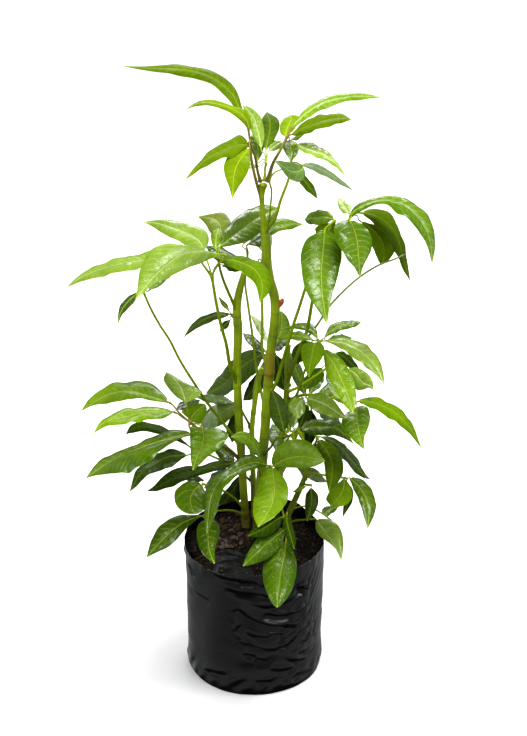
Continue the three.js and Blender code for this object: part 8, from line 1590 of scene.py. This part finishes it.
for zz_, q in ((.196, .985), (.150, .955), (.060, .945), (.0075, .86)):
    ring = np.stack([edge_r * q * np.cos(an), edge_r * q * np.sin(an), np.full(NA, zz_ * 1000)], 1) * 1e-3
    ro = B.verts(ring)
    B.quads(np.stack([prev + j, ro + j, ro + jn, prev + jn], 1), z4, z4, 0)
    prev = ro
c = B.verts([[0, 0, .0075]])
B.tris(np.stack([prev + j, np.full(NA, c), prev + jn], 1), z3, z3, 0)


def chip(B, centre, size, yaw, pitch, roll, rs, mat, flat=.34, long=1.0):
    """One rough-sided scrap of bark."""
    n = rs.randint(5, 8)
    a = np.sort(rs.uniform(0, 2 * math.pi, n) * .35 + np.arange(n) / n * 2 * math.pi * .65 + .175 * 2 * math.pi)
    a = np.arange(n) / n * 2 * math.pi + rs.uniform(-.28, .28, n)
    rad = rs.uniform(.65, 1.0, n)
    ring = np.stack([np.cos(a) * rad * long, np.sin(a) * rad * .62, np.zeros(n)], 1)
    up = ring * np.array([.86, .86, 1]) + np.array([0, 0, flat]) + rs.uniform(-.09, .09, (n, 3))
    dn = ring * np.array([.9, .9, 1]) - np.array([0, 0, flat]) + rs.uniform(-.09, .09, (n, 3))
    md = ring * 1.06 + rs.uniform(-.06, .06, (n, 3))
    tc = np.array([[0, 0, flat * 1.25]]) + rs.uniform(-.1, .1, (1, 3))
    bc = np.array([[0, 0, -flat * 1.2]])
    co = np.vstack([up, md, dn, tc, bc]) * size
    cy_, sy_ = math.cos(yaw), math.sin(yaw)
    cp_, sp_ = math.cos(pitch), math.sin(pitch)
    cr_, sr_ = math.cos(roll), math.sin(roll)
    Rz = np.array([[cy_, -sy_, 0], [sy_, cy_, 0], [0, 0, 1]])
    Ry = np.array([[cp_, 0, sp_], [0, 1, 0], [-sp_, 0, cp_]])
    Rx = np.array([[1, 0, 0], [0, cr_, -sr_], [0, sr_, cr_]])
    co = co @ (Rz @ Ry @ Rx).T + centre
    o = B.verts(co)
    j = np.arange(n)
    jn = (j + 1) % n
    zq, zt = np.zeros((n, 4, 2)), np.zeros((n, 3, 2))
    B.quads(np.stack([o + n + j, o + n + jn, o + jn, o + j], 1), zq, zq, mat)
    B.quads(np.stack([o + 2 * n + j, o + 2 * n + jn, o + n + jn, o + n + j], 1), zq, zq, mat)
    B.tris(np.stack([np.full(n, o + 3 * n), o + j, o + jn], 1), zt, zt, mat)
    B.tris(np.stack([np.full(n, o + 3 * n + 1), o + 2 * n + jn, o + 2 * n + j], 1), zt, zt, mat)


rs = np.random.RandomState(5)
STEM_FEET = [(Q[0][0] * 1000, Q[0][1] * 1000, rr[0] * 1000) for Q, s_, rr in STEM_LINES.values()]


def on_flap(x, y, r):
    return -70 - r < x < 3 + r and y < -13 + r


def clear_of_stems(x, y, r):
    return all(math.hypot(x - a_, y - b_) > c_ + r for a_, b_, c_ in STEM_FEET)


count = 0
while count < 330:
    x, y = rs.uniform(-103, 103, 2)
    if math.hypot(x, y) > 101:
        continue
    g = math.exp(-((x + 42) / 34) ** 2 - ((y - 5) / 48) ** 2)
    if rs.rand() > .22 + .9 * g + .25 * math.exp(-((x - 25) / 40) ** 2 - ((y - 30) / 50) ** 2):
        continue
    size = rs.gamma(3.0, 1.15) + 1.2
    size = min(size, 8.5)
    if not clear_of_stems(x, y, size * .8) or math.hypot(x, y) > 105 - size or on_flap(x, y, size * .5):
        continue
    z = float(soil_z(x, y)) * 1000 + size * .10
    # Chips in the patch at the left take the paler bark; elsewhere they take peat and brown bark. That darker mix is
    # partly the soil's own colour and partly painted shade toward the right and the rim.
    chip(B, np.array([x, y, z]) * 1e-3, size * 1e-3, rs.uniform(0, 6.28), rs.normal(0, .28), rs.normal(0, .28), rs,
         (1 if rs.rand() < .62 else 2) if g > .34 else (0 if rs.rand() < .62 else 1), rs.uniform(.20, .38), rs.uniform(1.0, 1.7))
    count += 1
count = 0
while count < 1500:
    x, y = rs.uniform(-106, 106, 2)
    if math.hypot(x, y) > 104:
        continue
    size = rs.uniform(.5, 1.5)
    if not clear_of_stems(x, y, size) or (on_flap(x, y, 0) and rs.rand() < .8):
        continue
    z = float(soil_z(x, y)) * 1000 + size * .3 + (2.6 if on_flap(x, y, 0) else 0)
    # Fine grit is paler in the same left patch and darker elsewhere: partly the soil's own colour, partly painted
    # shade.
    chip(B, np.array([x, y, z]) * 1e-3, size * 1e-3, rs.uniform(0, 6.28), rs.uniform(-.6, .6), rs.uniform(-.6, .6), rs,
         int(rs.choice([0, 1, 2, 3], p=[.55, .25, .12, .08] if abs(x + 40) < 45 else [.80, .14, .04, .02])), .6, 1.1)
    count += 1
soil = B.make("potting_soil_mix", [
    soil_material("peat", (.0085, .0060, .0042), (.0220, .0150, .0098), (.110, .085, .060)),
    soil_material("bark_brown", (.045, .028, .018), (.105, .066, .044), (.200, .150, .110)),
    soil_material("bark_pale", (.110, .080, .062), (.230, .180, .150), (.330, .280, .240)),
    soil_material("grit_pale", (.200, .180, .150), (.400, .360, .310), (.500, .460, .400))], math.radians(35))
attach(soil, "root")
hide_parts("potting_soil")


# ---------------------------------------------------------------- stage, lights, camera
def plain(name, colour, rough):
    N = Nodes(name)
    n = N.noise(N.obj(), 3.0, 2.0, .5)
    return N.out(N.principled(Base_Color=N.mix(n, colour, tuple(c * .985 for c in colour)), Roughness=rough,
                              Specular_IOR_Level=.2))


me = bpy.data.meshes.new("floor")
S = 30.0
me.from_pydata([(-S, -S, 0), (S, -S, 0), (S, S, 0), (-S, S, 0)], [], [(0, 1, 2, 3)])
me.materials.append(plain("floor_pale", (.86, .86, .86), .6))
floor = bpy.data.objects.new("floor", me)
SC.collection.objects.link(floor)
floor.visible_glossy = False
floor.visible_diffuse = False
floor.visible_transmission = False

n_ = 96
an_ = np.arange(n_) / n_ * 2 * math.pi
me = bpy.data.meshes.new("backdrop")
me.from_pydata([(29 * math.cos(t), 29 * math.sin(t), z) for z in (-.5, 16) for t in an_], [],
               [(i, i + n_, (i + 1) % n_ + n_, (i + 1) % n_) for i in range(n_)])
N = Nodes("backdrop_white")
em = N.new("ShaderNodeEmission")
em.inputs[0].default_value = (1, 1, 1, 1)
em.inputs[1].default_value = 1.05
paper = N.out(em.outputs[0])
paper.cycles.emission_sampling = "NONE"
me.materials.append(paper)
backdrop = bpy.data.objects.new("backdrop", me)
SC.collection.objects.link(backdrop)
backdrop.visible_glossy = False
backdrop.visible_diffuse = False
backdrop.visible_transmission = False
backdrop.visible_shadow = False

world = bpy.data.worlds.new("soft_room")
world.use_nodes = True
wt = world.node_tree
bg = wt.nodes["Background"]
tc = wt.nodes.new("ShaderNodeTexCoord")
sp = wt.nodes.new("ShaderNodeSeparateXYZ")
wt.links.new(tc.outputs["Generated"], sp.inputs[0])
fac = wt.nodes.new("ShaderNodeMapRange")
wt.links.new(sp.outputs[2], fac.inputs["Value"])
for k_, v_ in (("From Min", -1.0), ("From Max", 1.0), ("To Min", .0), ("To Max", 1.0)):
    fac.inputs[k_].default_value = v_
ramp = wt.nodes.new("ShaderNodeValToRGB")
ramp.color_ramp.interpolation = "EASE"
els = ramp.color_ramp.elements
for z_, v_ in ((-.75, .05), (-.56, .44), (-.34, .56), (-.12, .24), (.08, .18), (.30, .24)):
    e_ = els.new((z_ + 1) / 2)
    e_.color = (v_, v_, v_, 1)
els[0].color = (.02, .02, .02, 1)
els[len(els) - 1].color = (.34, .34, .34, 1)
wt.links.new(fac.outputs[0], ramp.inputs[0])
wt.links.new(ramp.outputs[0], bg.inputs[1])
bg.inputs[0].default_value = (.97, .985, 1.0, 1)
SC.world = world


def soft_light(name, place, target, size, energy, colour=(1, 1, 1)):
    L = bpy.data.lights.new(name, "AREA")
    L.shape = "RECTANGLE"
    L.size, L.size_y = size
    L.energy = energy
    L.color = colour
    ob = bpy.data.objects.new(name, L)
    SC.collection.objects.link(ob)
    ob.location = place
    ob.rotation_euler = (Vector(target) - Vector(place)).to_track_quat("-Z", "Y").to_euler()
    return ob


soft_light("top_soft", (.50, -.35, 2.4), (0, 0, .5), (.9, .9), 24)
soft_light("front_soft", (-1.45, -2.0, 2.0), (0, 0, .55), (2.0, 1.5), 42)
soft_light("back_soft", (.1, 2.4, 1.95), (0, 0, .6), (2.0, .7), 24, (1, .995, .98))
soft_light("left_soft", (-2.2, -.5, 1.7), (0, 0, .45), (.5, 1.2), 9)
soft_light("right_soft", (2.3, -.3, 1.3), (0, 0, .35), (.5, 1.3), 10)
soft_light("low_soft", (2.0, -1.9, 1.25), (0, 0, .30), (1.5, 1.1), 14)
sun_data = bpy.data.lights.new("day", "SUN")
sun_data.energy = 3.1
sun_data.angle = math.radians(32)
sun = bpy.data.objects.new("day", sun_data)
sun.visible_glossy = False
SC.collection.objects.link(sun)
sun.rotation_euler = Vector((-.16, -.14, -.97)).to_track_quat("-Z", "Y").to_euler()

cam_data = bpy.data.cameras.new("view")
cam_data.lens = 83.93
cam_data.sensor_width = 36
cam_data.sensor_fit = "AUTO"
cam_data.clip_start, cam_data.clip_end = .05, 100
cam = bpy.data.objects.new("view", cam_data)
cam.location = (.015, -2.3, 1.658)
cam.rotation_euler = (math.radians(90 - 26.28), 0, 0)
SC.collection.objects.link(cam)
SC.camera = cam
SC.view_settings.view_transform = "Standard"
SC.view_settings.look = "Medium High Contrast"
SC.view_settings.exposure = 0.0
SC.view_settings.gamma = 1.0

bpy.context.view_layer.update()
